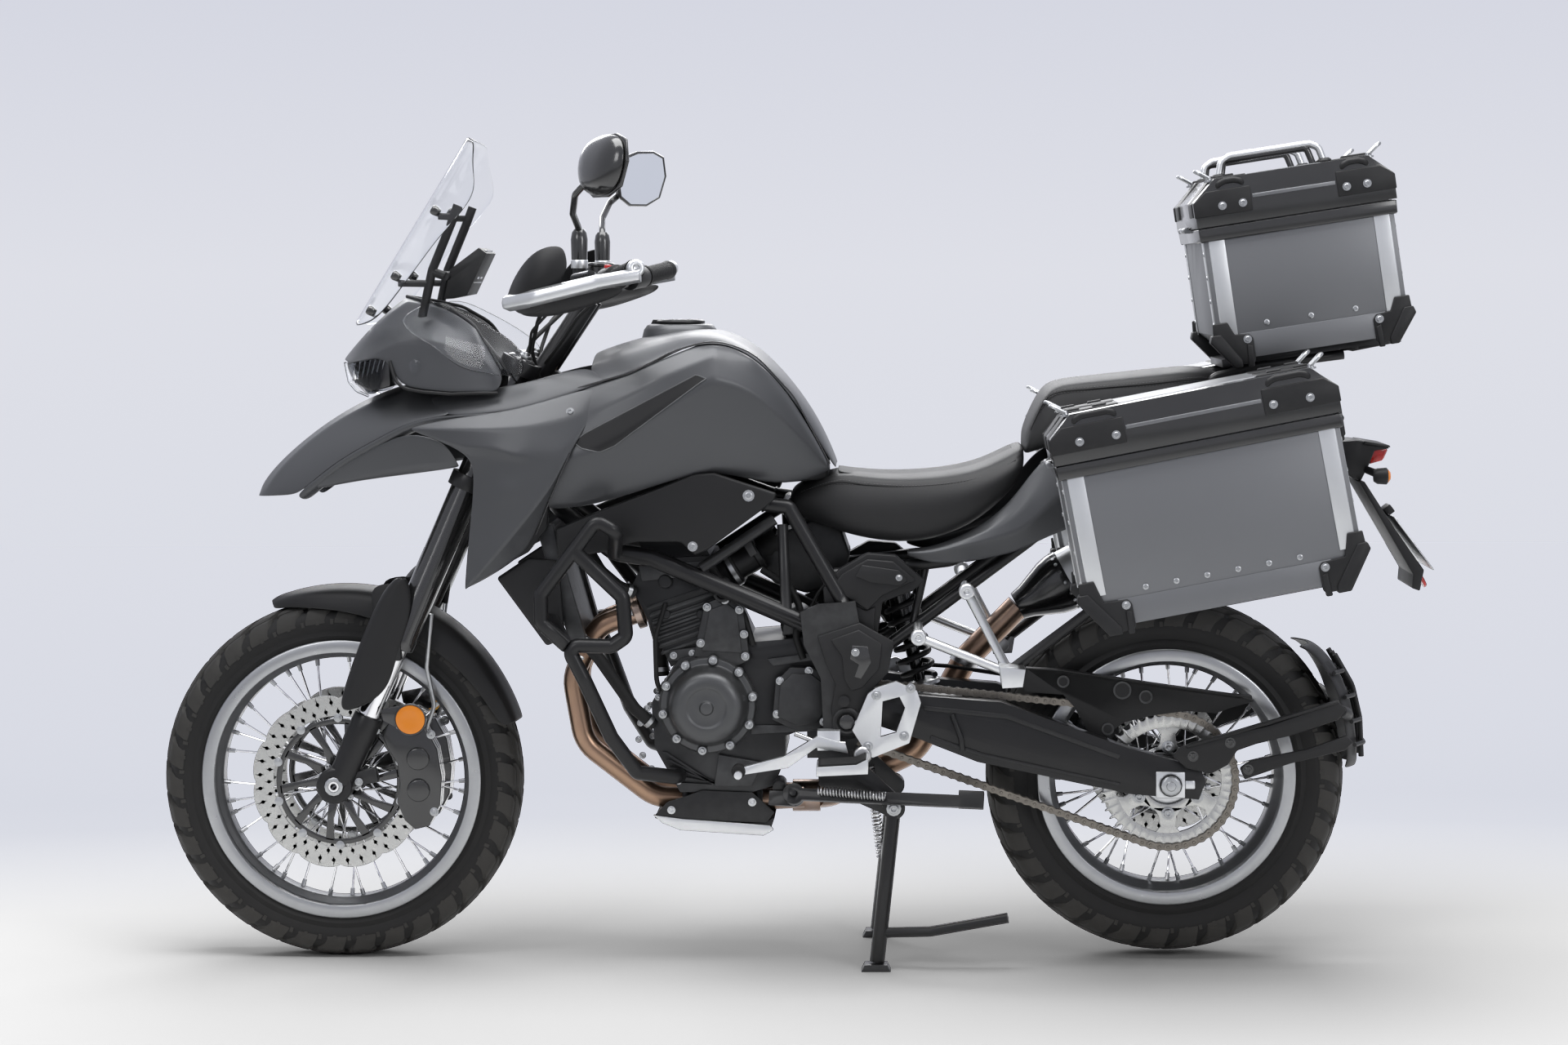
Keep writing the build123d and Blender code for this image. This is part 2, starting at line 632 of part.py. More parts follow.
with BuildPart() as fork_guards:
    for flank in (-1, 1):
        slab([(-697, 711), (-676, 710), (-664, 648), (-700, 520), (-778, 471), (-803, 480), (-789, 527),
              (-758, 611)],
             flank * (LEG_SPREAD + LEG_RADIUS + 6), flank * (LEG_SPREAD + LEG_RADIUS + 22), taper=20)
        slab([(-720, 600), (-690, 600), (-690, 560), (-740, 560)], flank * (LEG_SPREAD + 6),
             flank * (LEG_SPREAD + LEG_RADIUS + 8))
        bar(steer(-LEG_OFFSET, flank * LEG_SPREAD, -700), steer(-LEG_OFFSET, flank * LEG_SPREAD, 100),
            LEG_RADIUS, mode=Mode.SUBTRACT)
save(fork_guards, "fork_guards")


with BuildPart() as front_calipers:
    for flank in (-1, 1):
        y = flank * FRONT_DISC_LANE
        slab([(-735, 420), (-690, 452), (-650, 430), (-630, 370), (-630, 290), (-655, 250), (-690, 255),
              (-712, 290),
              (-706, 360)], y - flank * 26, y + flank * 30)
        cross_bar(FRONT_AXLE_X, FRONT_AXLE_Z, y - CALIPER_SLOT / 2, y + CALIPER_SLOT / 2,
                  FRONT_DISC_RADIUS + 6,
                  mode=Mode.SUBTRACT)
        slab([(-775, 420), (-735, 470), (-690, 440), (-690, 400), (-720, 380)], y + flank * 14,
             y + flank * 30)
        bar(steer(-LEG_OFFSET, flank * LEG_SPREAD, -HEAD_HEIGHT_ABOVE_AXLE + 20),
            steer(-LEG_OFFSET, flank * LEG_SPREAD, SLIDER_END), FORK_CASTING_RADIUS, mode=Mode.SUBTRACT)
        bar(steer(-LEG_OFFSET, flank * LEG_SPREAD, SLIDER_END),
            steer(-LEG_OFFSET, flank * LEG_SPREAD, OUTER_TUBE_END), SLIDER_RADIUS, mode=Mode.SUBTRACT)
save(front_calipers, "front_calipers")

# Engine: crankcase, cylinders and head, with its side covers

def cylinder_fin(height):
    """A cooling fin round the cylinders, at a height up their leaning axis."""
    lean = math.radians(CYLINDER_LEAN)
    half = 66
    across = (math.cos(lean), math.sin(lean))
    up = (-math.sin(lean), math.cos(lean))
    foot = (CYLINDER_FOOT[0] + up[0] * height, CYLINDER_FOOT[1] + up[1] * height)
    corners = [(-half, 0), (half, 0), (half, FIN_THICKNESS), (-half, FIN_THICKNESS)]
    outline = [(foot[0] + across[0] * a + up[0] * b, foot[1] + across[1] * a + up[1] * b) for a,
               b in corners]
    slab(outline, -CYLINDER_HALF - FIN_RISE, CYLINDER_HALF + FIN_RISE)


with BuildPart() as engine:
    slab([(-235, 400), (-240, 480), (-190, 560), (-60, 590), (70, 600), (92, 540), (70, 530), (66, 445),
          (0, 420), (0, 380),
          (-20, 330), (-60, 318), (-190, 318)], -ENGINE_HALF, ENGINE_HALF)
    slab([(-205, 545), (-130, 575), (-60, 585), (-110, 690), (-130, 745), (-250, 740), (-275, 690)],
         -CYLINDER_HALF, CYLINDER_HALF)
    for level in range(FIN_COUNT):
        cylinder_fin(26 + level * FIN_PITCH)
    slab([(-250, 738), (-262, 770), (-150, 772), (-132, 742)], -98, 98)
    cross_bar(-110, 693, -FRAME_LANE + SPAR_RADIUS + FIT, FRAME_LANE - SPAR_RADIUS - FIT, 13)
    cross_bar(78, 570, -PLATE_INNER + FIT, PLATE_INNER - FIT, 13)
    add(main_frame.part, mode=Mode.SUBTRACT)
    add(chain.part, mode=Mode.SUBTRACT)
    cross_bar(FRONT_SPROCKET_X, FRONT_SPROCKET_Z, -ENGINE_HALF - 1, -CHAIN_LINE + 14,
              FRONT_PITCH_RADIUS + 8, mode=Mode.SUBTRACT)
save(engine, "engine")


with BuildPart() as engine_covers:
    cross_bar(COVER_X, COVER_Z, -ENGINE_HALF, -172, 88)
    cross_bar(COVER_X, COVER_Z, -172, -184, 66)
    slab([(-160, 565), (-75, 560), (-78, 655), (-100, 672), (-140, 660)], -ENGINE_HALF, -131)
    cross_bar(-90, 470, ENGINE_HALF, 165, 100)
    cross_bar(-90, 470, 165, 178, 76)
    cross_bar(-190, 400, ENGINE_HALF, 160, 40)
    cross_bar(FRONT_SPROCKET_X, FRONT_SPROCKET_Z, -ENGINE_HALF, -146, FRONT_PITCH_RADIUS + 11)
save(engine_covers, "engine_covers")


with BuildPart() as exhaust_pipes:
    for flank in (-1, 1):
        tube([(-262, flank * 52, 640), (-345, flank * 56, 612), (-388, flank * 60, 520), (-368, flank * 60,
            400),
              (-240, flank * 58, 300), (-100, flank * 50, 291), (30, flank * 24, 293)], PIPE_RADIUS, 45)
    bar((20, 0, 293), (60, 0, 293), 28)
    tube([(50, 0, 293), (80, 40, 290), (112, 176, 292), (236, 186, 350), (330, 188, 520), (430, 184, 622)],
         LINK_RADIUS, 40)
    add(engine.part, mode=Mode.SUBTRACT)
save(exhaust_pipes, "exhaust_pipes")

with BuildPart() as silencer:
    muffler = Plane(origin=(430, 184, 622), x_dir=(0, 1, 0), z_dir=(0.876, 0, 0.482))
    with BuildSketch(muffler) as near:
        Ellipse(34, 38)
    with BuildSketch(muffler.offset(90)) as middle:
        Ellipse(38, 56)
    with BuildSketch(muffler.offset(330)) as far:
        Ellipse(37, 54)
    loft([near.sketch, middle.sketch, far.sketch], ruled=True)
    add(exhaust_pipes.part, mode=Mode.SUBTRACT)
save(silencer, "silencer")

with BuildPart() as radiator:
    slab([(-440, 800), (-412, 806), (-352, 590), (-380, 582)], -150, 150)
    slab([(-412, 790), (-372, 780), (-350, 620), (-366, 600)], -100, 100)
    for share in (0.1, 0.24, 0.38, 0.52, 0.66, 0.8):
        x, z = -440 + 60 * share, 800 - 218 * share
        slab([(x - 4, z), (x + 8, z + 2), (x + 10, z - 6), (x - 2, z - 8)], -138, 138)
    add(main_frame.part, mode=Mode.SUBTRACT)
    add(exhaust_pipes.part, mode=Mode.SUBTRACT)
save(radiator, "radiator")

with BuildPart() as skid_plate:
    slab([(-236, 272), (-222, 278), (-190, 262), (-40, 262), (-20, 272), (-27, 252), (-190, 252)], -125, 125)
    for x in (-180, -50):
        for flank in (-1, 1):
            bar((x, flank * 95, 260), (x, flank * 95, 318 - FIT), 8)
save(skid_plate, "skid_plate")

# Crash bars on both sides

with BuildPart() as engine_guard:
    for flank in (-1, 1):
        y = flank * GUARD_LANE
        tube([(-300, flank * 168, 757), (-290, y, 800), (-325, y, 820), (-424, y, 690), (-424, y, 640),
              (-380, y, 600)],
             GUARD_RADIUS, 16)
        tube([(-366, y, 768), (-280, y, 685), (-275, y, 615), (-300, y, 598), (-380, y, 600), (-350, y, 540),
              (-306, flank * 210, 430), (-262, flank * 190, 364), (-196, flank * 150, 350), (-190,
                  flank * 128, 350)],
             GUARD_RADIUS, 14)
        bar((-380, y, 600), (-420, flank * 150, 640), GUARD_RADIUS)
    add(main_frame.part, mode=Mode.SUBTRACT)
    add(engine.part, mode=Mode.SUBTRACT)
    add(radiator.part, mode=Mode.SUBTRACT)
save(engine_guard, "engine_guard")

# Tank and body panels

def turning_room():
    """Cuts away what the clamps and fork legs pass through from lock to lock."""
    back = TURN_ROOM * 1.2
    aside = back * math.tan(math.radians(TURN_SIDE_ANGLE))
    with BuildSketch(STEERING.offset(-HEAD_HEIGHT_ABOVE_AXLE)) as room:
        Circle(TURN_ROOM)
        with BuildLine():
            Polyline((0, 0), (back, aside), (back, -aside), close=True)
        make_face(mode=Mode.SUBTRACT)
        Circle(TURN_HUB_ROOM)
    extrude(room.sketch, amount=HEAD_HEIGHT_ABOVE_AXLE + CLAMP_TOP_LEVEL + CLAMP_THICKNESS + TURN_HUB_ROOM,
            mode=Mode.SUBTRACT)


with BuildPart() as fuel_tank:
    body_loft(TANK_SECTIONS, 95)
    bar((CAP_X, 0, 1120), (CAP_X, 0, CAP_SEAT), CAP_RADIUS + 8)
    turning_room()
    add(main_frame.part, mode=Mode.SUBTRACT)
save(fuel_tank, "fuel_tank")

with BuildPart() as tank_cap:
    bar((CAP_X, 0, CAP_SEAT + FIT), (CAP_X, 0, CAP_SEAT + FIT + CAP_THICKNESS), CAP_RADIUS)
    slab([(CAP_X - CAP_RADIUS - 8, CAP_SEAT + FIT), (CAP_X, CAP_SEAT + FIT), (CAP_X, CAP_SEAT + 9),
          (CAP_X - CAP_RADIUS - 8, CAP_SEAT + 9)], -12, 12)
    cross_bar(CAP_X - CAP_RADIUS - 8, CAP_SEAT + 4.5, -12, 12, 4)
save(tank_cap, "tank_cap")

with BuildPart() as side_fairings:
    for flank in (-1, 1):
        slab([(-676, 976), (-583, 951), (-542, 925), (-547, 873), (-567, 693), (-542, 703), (-451, 756),
              (-415, 832),
              (-320, 837), (-290, 900), (-280, 1050), (-350, 1060), (-480, 1042), (-626, 1000)],
             flank * 170, flank * 228)
    add(fuel_tank.part, mode=Mode.SUBTRACT)
    add(engine_guard.part, mode=Mode.SUBTRACT)
    add(radiator.part, mode=Mode.SUBTRACT)
    add(main_frame.part, mode=Mode.SUBTRACT)
save(side_fairings, "side_fairings")

with BuildPart() as lower_panels:
    for flank in (-1, 1):
        slab([(-322, 832), (-203, 868), (-157, 885), (-121, 888), (-86, 880), (-10, 858), (-38, 831),
              (-133, 762),
              (-182, 778), (-262, 778), (-322, 760), (-400, 745), (-405,
                                                                   800)], flank * 168, flank * 186, taper=20)
        slab([(-512, 711), (-456, 745), (-400, 700), (-392, 604), (-424, 589)], flank * 152, flank * 180,
             taper=20)
    add(fuel_tank.part, mode=Mode.SUBTRACT)
    add(side_fairings.part, mode=Mode.SUBTRACT)
    add(engine_guard.part, mode=Mode.SUBTRACT)
    add(main_frame.part, mode=Mode.SUBTRACT)
save(lower_panels, "lower_panels")

BEAK_SECTIONS = [
    (-978, 10, 850, 846, 8), (-881, 98, 954, 862, 10), (-820, 112, 996, 915, 24),
    (-730, 132, 1042, 965, 30), (-642, 158, 1066, 998, 34),
]

with BuildPart() as beak:
    roof_loft(BEAK_SECTIONS)
    for flank in (-1, 1):
        slab([(-660, 1040), (-660, 965), (-580, 985), (-560, 1035)], flank * 150, flank * 176)
    add(side_fairings.part, mode=Mode.SUBTRACT)
    add(main_frame.part, mode=Mode.SUBTRACT)
save(beak, "beak")

with BuildPart() as headlamp:
    slab([(-794, 1106.4), (-774, 1060), (-758, 1050), (-708, 1062), (-708, 1127)], -92, 92)
    add(beak.part, mode=Mode.SUBTRACT)
save(headlamp, "headlamp")

NOSE_HALF = 118
NOSE_MIDDLE = [(-806, 1104), (-770, 1147), (-734, 1184), (-689, 1213), (-630, 1205), (-600, 1150),
               (-640, 1040), (-706, 1040)]
NOSE_EDGE = [(-766, 1088), (-742, 1128), (-712, 1155), (-680, 1174), (-630, 1174), (-606, 1135),
             (-640, 1040), (-700, 1040)]

with BuildPart() as nose_cowl:
    crowned(NOSE_MIDDLE, NOSE_EDGE, NOSE_HALF)
    for flank in (-1, 1):
        slab([(-640, 1180), (-547, 1161), (-496, 1075), (-560, 1052), (-660, 1064)], flank * 152,
             flank * 172)
        slab([(-690, 1080), (-700, 1130), (-640, 1170), (-640, 1074)], flank * 100, flank * 172)
    slab([(-640, 1000), (-640, 1160), (-400, 1160), (-400, 1000)], -116, 116, mode=Mode.SUBTRACT)
    add(beak.part, mode=Mode.SUBTRACT)
    add(headlamp.part, mode=Mode.SUBTRACT)
    add(side_fairings.part, mode=Mode.SUBTRACT)
    add(main_frame.part, mode=Mode.SUBTRACT)
save(nose_cowl, "nose_cowl")

# Windscreen: a bowed sheet cut to its outline
SCREEN_FOOT = (-783, 0, 1167)
SCREEN_ANGLE = 58
SCREEN_BOW = 183
SCREEN_THICKNESS = 4
SCREEN_OUTLINE = [(60, 0), (118, 30), (132, 100), (140, 200), (148, 290), (146, 350), (95, 396), (0, 396)]
SCREEN_SIN = math.sin(math.radians(SCREEN_ANGLE))
SCREEN_COS = math.cos(math.radians(SCREEN_ANGLE))
SCREEN = Plane(origin=SCREEN_FOOT, x_dir=(0, -1, 0), z_dir=(-SCREEN_SIN, 0, SCREEN_COS))

with BuildPart() as windscreen:
    with BuildSketch(Plane(origin=SCREEN_FOOT, x_dir=(0, 1, 0), z_dir=(SCREEN_COS, 0, SCREEN_SIN))) as curve:
        with Locations((0, -SCREEN_BOW)):
            Circle(SCREEN_BOW)
            Circle(SCREEN_BOW - SCREEN_THICKNESS, mode=Mode.SUBTRACT)
        with Locations((0, -SCREEN_BOW * 1.3)):
            Rectangle(400, SCREEN_BOW * 1.5, mode=Mode.SUBTRACT)
    extrude(curve.sketch, amount=400)
    with BuildSketch(SCREEN.offset(-150)) as outline:
        with BuildLine():
            Polyline(*SCREEN_OUTLINE, *[(-a, b) for a, b in reversed(SCREEN_OUTLINE[:-1])], close=True)
        make_face()
    extrude(outline.sketch, amount=200, mode=Mode.INTERSECT)
save(windscreen, "windscreen")



def screen_back(along, y):
    """Point on the back of the windscreen, a distance up its line and out from its middle."""
    sag = SCREEN_BOW - math.sqrt((SCREEN_BOW - SCREEN_THICKNESS) ** 2 - y ** 2)
    return (
        SCREEN_FOOT[0] + along * SCREEN_COS + sag * SCREEN_SIN, y,
        SCREEN_FOOT[2] + along * SCREEN_SIN - sag * SCREEN_COS,
    )


with BuildPart() as instrument_panel:
    slab([(-612, 1208), (-600, 1262), (-548, 1300), (-534, 1290), (-570, 1216)], -70, 70)
    for flank in (-1, 1):
        y = flank * SCREEN_STAY_LANE
        tube([(-655, y, 1140), (-628, y, 1260), (-592, y, 1345), (-580, y, 1376)], 8, 40)
        for along, z in SCREEN_STAYS:
            bar((-630 + 0.36 * (z - 1236), y, z), screen_back(along, flank * (SCREEN_STAY_LANE + 8)), 6)
    cross_bar(-606, 1250, -SCREEN_STAY_LANE, SCREEN_STAY_LANE, 8)
    bar((-606, -SCREEN_STAY_LANE, 1250), (-628, -SCREEN_STAY_LANE, 1258), 8)
    bar((-606, SCREEN_STAY_LANE, 1250), (-628, SCREEN_STAY_LANE, 1258), 8)
    add(windscreen.part, mode=Mode.SUBTRACT)
    add(nose_cowl.part, mode=Mode.SUBTRACT)
save(instrument_panel, "instrument_panel")

# Seats
RIDER_SEAT_SECTIONS = [
    (15, 70, 800, 862), (100, 112, 778, 899), (225, 150, 768, 888), (340, 160, 802, 908), (428, 140, 872,
        938),
]
PILLION_SECTIONS = [(432, 122, 925, 975), (482, 140, 932, 1053), (600, 152, 962, 1058), (757, 128, 1002,
    1075)]

with BuildPart() as rider_seat:
    body_loft(RIDER_SEAT_SECTIONS, 30)
    add(fuel_tank.part, mode=Mode.SUBTRACT)
    add(main_frame.part, mode=Mode.SUBTRACT)
save(rider_seat, "rider_seat")

with BuildPart() as pillion_seat:
    body_loft(PILLION_SECTIONS, 28)
    add(rider_seat.part, mode=Mode.SUBTRACT)
save(pillion_seat, "pillion_seat")

# Rear subframe with the pillion peg brackets' struts

with BuildPart() as subframe:
    for flank in (-1, 1):
        y = flank * RAIL_LANE
        tube([(90, flank * 118, 712), (300, y, 735), (450, y, 800), (640, y, 925), (930, flank * 90, 1002)],
             RAIL_RADIUS, 60)
        tube([(125, flank * 120, 565), (178, y, 576), (409, y, 745), (560, y, 860)], RAIL_RADIUS, 60)
        bar((256, y, 734), (231, y, 622), 7)
    for x, z in ((300, 735), (640, 925), (900, 994)):
        cross_bar(x, z, -RAIL_LANE, RAIL_LANE, 9)
    add(main_frame.part, mode=Mode.SUBTRACT)
save(subframe, "subframe")

with BuildPart() as side_covers:
    for flank in (-1, 1):
        slab([(72, 652), (78, 700), (150, 752), (196, 748), (252, 700), (236, 690), (170, 662), (168, 612),
              (150, 600),
              (146, 640)], flank * 120, flank * 158, taper=12)
    add(main_frame.part, mode=Mode.SUBTRACT)
    add(subframe.part, mode=Mode.SUBTRACT)
save(side_covers, "side_covers")

with BuildPart() as tail_panels:
    for flank in (-1, 1):
        slab([(219, 752), (340, 790), (446, 900), (480, 930), (600, 955), (760, 995), (900, 1020),
              (1000, 985), (880, 930),
              (640, 850), (515, 800), (411, 751), (308, 733), (262,
                                                               733)], flank * 120, flank * 168, taper=16)
    add(rider_seat.part, mode=Mode.SUBTRACT)
    add(pillion_seat.part, mode=Mode.SUBTRACT)
    add(subframe.part, mode=Mode.SUBTRACT)
    add(side_covers.part, mode=Mode.SUBTRACT)
save(tail_panels, "tail_panels")

# Swingarm, damper and rear axle
ARM_OUTLINE = [
    (84, 505), (100, 520), (243, 496), (388, 484), (417, 474), (611, 402), (742, 366), (752, 340), (740,
        308),
    (619, 318), (345, 377), (236, 420), (110, 462), (85, 474),
]

with BuildPart() as swingarm:
    for flank in (-1, 1):
        slab(ARM_OUTLINE, flank * ARM_INNER, flank * ARM_OUTER)
    cross_bar(PIVOT_X, PIVOT_Z, -ARM_INNER, ARM_INNER, 19)
    cross_bar(315, 432, -ARM_INNER, -84, 30)
    slab([(250, 488), (322, 474), (326, 404), (262, 428)], -84, ARM_INNER)
    cross_bar(PIVOT_X, PIVOT_Z, -PLATE_OUTER - 12, PLATE_OUTER + 12, PIVOT_RADIUS)
    cross_bar(REAR_AXLE_X, REAR_AXLE_Z, -ARM_OUTER - 10, ARM_OUTER + 10, REAR_AXLE_RADIUS)
    for flank in (-1, 1):
        cross_bar(REAR_AXLE_X, REAR_AXLE_Z, flank * ARM_OUTER, flank * (ARM_OUTER + 12), 20)
    add(chain.part, mode=Mode.SUBTRACT)
save(swingarm, "swingarm")

with BuildPart() as shock_absorber:
    bar((196, 30, 700), (252, 30, 470), 20)
    bar((206, 30, 660), (238, 30, 530), 33)
    add(swingarm.part, mode=Mode.SUBTRACT)
    add(subframe.part, mode=Mode.SUBTRACT)
save(shock_absorber, "shock_absorber")

with BuildPart() as chain_guard:
    slab([(431, 500), (431, 535), (657, 509), (803, 488), (841, 481), (774, 462), (600, 470), (560, 462),
          (512, 494)],
         -CHAIN_LINE - 14, -CHAIN_LINE - 11)
    bar((470, -CHAIN_LINE - 16, 512), (470, -CHAIN_LINE - 16, 440), 4)
    add(swingarm.part, mode=Mode.SUBTRACT)
save(chain_guard, "chain_guard")

with BuildPart() as rear_hugger:
    for flank in (-1, 1):
        slab([(700, 372), (712, 400), (985, 470), (1004, 443), (810, 372), (740, 345)],
             flank * (ARM_OUTER + 4), flank * (ARM_OUTER + 14))
        slab([(985, 470), (1004, 443), (1020, 380), (1043, 355), (1050, 430), (1010, 520)], flank * 96,
             flank * (ARM_OUTER + 14))
    slab([(949, 578), (985, 560), (1022, 480), (1048, 400), (1043, 355), (1034, 400), (1010, 480),
          (970, 556)], -98, 98)
    for flank in (-1, 1):
        cross_bar(712, 362, flank * ARM_OUTER, flank * (ARM_OUTER + 6), 8)
save(rear_hugger, "rear_hugger")

with BuildPart() as rear_caliper:
    slab([(600, 360), (612, 410), (590, 440), (545, 430), (530, 370), (548, 330), (590, 325)],
         CHAIN_LINE - 20, ARM_INNER - FIT)
    cross_bar(REAR_AXLE_X, REAR_AXLE_Z, CHAIN_LINE - 8, CHAIN_LINE + 8, REAR_DISC_RADIUS + 6,
              mode=Mode.SUBTRACT)
save(rear_caliper, "rear_caliper")

# Footrests and levers
with BuildPart() as rider_pegs:
    for flank in (-1, 1):
        slab([(150, 505), (165, 516), (200, 527), (237, 510), (244, 489), (223, 417), (158, 391),
              (148, 398), (122, 440)],
             flank * (PLATE_OUTER + 14), flank * (PLATE_OUTER + 26))
        slab([(176, 492), (206, 500), (216, 480), (200, 436), (172, 428)], flank * (PLATE_OUTER + 14),
             flank * (PLATE_OUTER + 26),
             mode=Mode.SUBTRACT)
        cross_bar(136, 450, flank * PLATE_OUTER, flank * (PLATE_OUTER + 16), 10)
        slab([(60, 388), (130, 392), (150, 402), (150, 376), (60, 372)], flank * (PLATE_OUTER + 26),
             flank * 290)
    add(main_frame.part, mode=Mode.SUBTRACT)
    add(swingarm.part, mode=Mode.SUBTRACT)
save(rider_pegs, "rider_pegs")

with BuildPart() as foot_levers:
    slab([(-84, 362), (-76, 376), (0, 396), (60, 432), (110, 418), (114, 402), (58, 412), (8, 376)], -215,
         -202)
    cross_bar(-80, 366, -240, -202, 7)
    slab([(60, 440), (60, 405), (100, 405), (100, 440)], -202, -PLATE_OUTER)
    slab([(-60, 372), (-60, 388), (90, 424), (110, 410), (60, 392)], 202, 214)
    cross_bar(-56, 380, 202, 250, 8)
    slab([(60, 430), (60, 395), (110, 400), (110, 430)], PLATE_OUTER, 202)
    add(rider_pegs.part, mode=Mode.SUBTRACT)
    add(main_frame.part, mode=Mode.SUBTRACT)
save(foot_levers, "foot_levers")

PILLION_LANE = 224

with BuildPart() as pillion_pegs:
    for flank in (-1, 1):
        y = flank * PILLION_LANE
        bar((325, y, 690), (400, y, 545), 8)
        bar((240, y, 609), (400, y, 545), 8)
        bar((325, y, 690), (325, flank * RAIL_LANE, 690), 8)
        bar((240, y, 609), (240, flank * RAIL_LANE, 620), 8)
        slab([(380, 565), (425, 560), (420, 530), (385, 528)], flank * (PILLION_LANE - 8), flank * 300)
    add(subframe.part, mode=Mode.SUBTRACT)
    add(silencer.part, mode=Mode.SUBTRACT)
    add(exhaust_pipes.part, mode=Mode.SUBTRACT)
save(pillion_pegs, "pillion_pegs")

# Tail lamp, plate holder and racks
with BuildPart() as tail_lamp:
    slab([(985, 940), (1030, 942), (1084, 934), (1084, 911), (1053, 902), (1040, 872), (1022, 876),
          (990, 900)], -70, 70)
    for flank in (-1, 1):
        bar((902, flank * 40, 992), (1000, flank * 40, 925), 8)
    add(subframe.part, mode=Mode.SUBTRACT)
save(tail_lamp, "tail_lamp")

with BuildPart() as plate_holder:
    slab([(1030, 872), (1040, 872), (1094, 788), (1147, 712), (1140, 675), (1126, 680), (1128, 704),
          (1082, 780)], -85, 85)
    add(tail_lamp.part, mode=Mode.SUBTRACT)
save(plate_holder, "plate_holder")

CASE_TILT = 10.7
TOP_TILT = 8.4
WALL = 2.5
PANNIER_FRONT = (475, 926)
PANNIER_LENGTH = 470
PANNIER_DEPTH = 284
PANNIER_INNER = 250
PANNIER_OUTER = 478
PANNIER_CUT = 60
LID_OVERHANG = 8
LID_GAP = 0.4
LID_HEIGHT = 60
BAND_HEIGHT = 22
TOP_FRONT = (738, 1324)
TOP_LENGTH = 334
TOP_DEPTH = 236
TOP_HALF = 195
TOP_CUT = 45


def case_plane(front, tilt):
    """Frame of a case at the front end of its mouth: first axis along it, second across, third up."""
    c, s = math.cos(math.radians(tilt)), math.sin(math.radians(tilt))
    return Plane(origin=(front[0], 0, front[1]), x_dir=(c, 0, s), z_dir=(-s, 0, c))


def case_side(plane, y):
    """Side-view sketch plane of a case: first axis along it, second up its wall."""
    return Plane(origin=plane.from_local_coords(Vector(0, y, 0)), x_dir=plane.x_dir, z_dir=-plane.y_dir)


def case_block(plane, outline, y_from, y_to, mode=Mode.ADD):
    with BuildSketch(case_side(plane, y_to)) as face:
        with BuildLine():
            Polyline(*outline, close=True)
        make_face()
    extrude(face.sketch, amount=y_to - y_from, mode=mode)


def case_shell(plane, length, depth, cut, y_low, y_high):
    """A case shell, open at the top, with its lower corners cut off."""
    outer = [(0, 0), (length, 0), (length, -depth + cut), (length - cut, -depth), (cut, -depth),
             (0, -depth + cut)]
    t = WALL
    k = cut + t * 0.41
    inner = [(t, 1), (length - t, 1), (length - t, -depth + k), (length - k, -depth + t), (k, -depth + t),
             (t, -depth + k)]
    case_block(plane, outer, y_low, y_high)
    case_block(plane, inner, y_low + t, y_high - t, mode=Mode.SUBTRACT)


def case_lid(plane, length, height, y_low, y_high, gap):
    """A hollow lid that overhangs the shell all round, closed on top."""
    h = LID_OVERHANG
    c = 40
    outer = [(-h, gap), (length + h, gap), (length + h, height - c + 4), (length + h - c, height),
             (c - h, height),
             (-h, height - c + 4)]
    t = 4
    inner = [(-h + t, gap - 1), (length + h - t, gap - 1), (length + h - t, height - c + 2),
             (length + h - c - 2, height - t),
             (c - h + 2, height - t), (-h + t, height - c + 2)]
    case_block(plane, outer, y_low - h, y_high + h)
    case_block(plane, inner, y_low - h + t, y_high + h - t, mode=Mode.SUBTRACT)




def case_knuckle(plane, y_from, y_to, upper):
    """One knuckle of a case's front hinge, tied to the shell below or to the lid above."""
    z = LID_GAP + 5 if upper else -5
    wall = -LID_OVERHANG if upper else 0
    case_block(plane, [(HINGE_X, 0), (HINGE_X, z), (wall, z), (wall, 0)], y_from, y_to)
    start = plane.from_local_coords(Vector(HINGE_X, y_from, 0))
    end = plane.from_local_coords(Vector(HINGE_X, y_to, 0))
    bar(tuple(start), tuple(end), HINGE_RADIUS)


PANNIER = case_plane(PANNIER_FRONT, CASE_TILT)
TOP = case_plane(TOP_FRONT, TOP_TILT)

for name, flank in (("left", -1), ("right", 1)):
    y_low, y_high = sorted((flank * PANNIER_INNER, flank * PANNIER_OUTER))
    with BuildPart() as shell:
        case_shell(PANNIER, PANNIER_LENGTH, PANNIER_DEPTH, PANNIER_CUT, y_low, y_high)
        case_knuckle(PANNIER, (y_low + y_high) / 2 - 60, (y_low + y_high) / 2 - 20.5, False)
        case_knuckle(PANNIER, (y_low + y_high) / 2 + 20.5, (y_low + y_high) / 2 + 60, False)
    save(shell, name + "_pannier")
    with BuildPart() as lid:
        case_lid(PANNIER, PANNIER_LENGTH, LID_HEIGHT + BAND_HEIGHT, y_low, y_high, LID_GAP)
        case_knuckle(PANNIER, (y_low + y_high) / 2 - 20, (y_low + y_high) / 2 + 20, True)
    save(lid, name + "_pannier_lid")
    if flank < 0:
        left_pannier = shell
        left_lid = lid
    else:
        right_pannier = shell
        right_lid = lid

with BuildPart() as top_case:
    case_shell(TOP, TOP_LENGTH, TOP_DEPTH, TOP_CUT, -TOP_HALF, TOP_HALF)
    case_knuckle(TOP, -60, -20.5, False)
    case_knuckle(TOP, 20.5, 60, False)
save(top_case, "top_case")

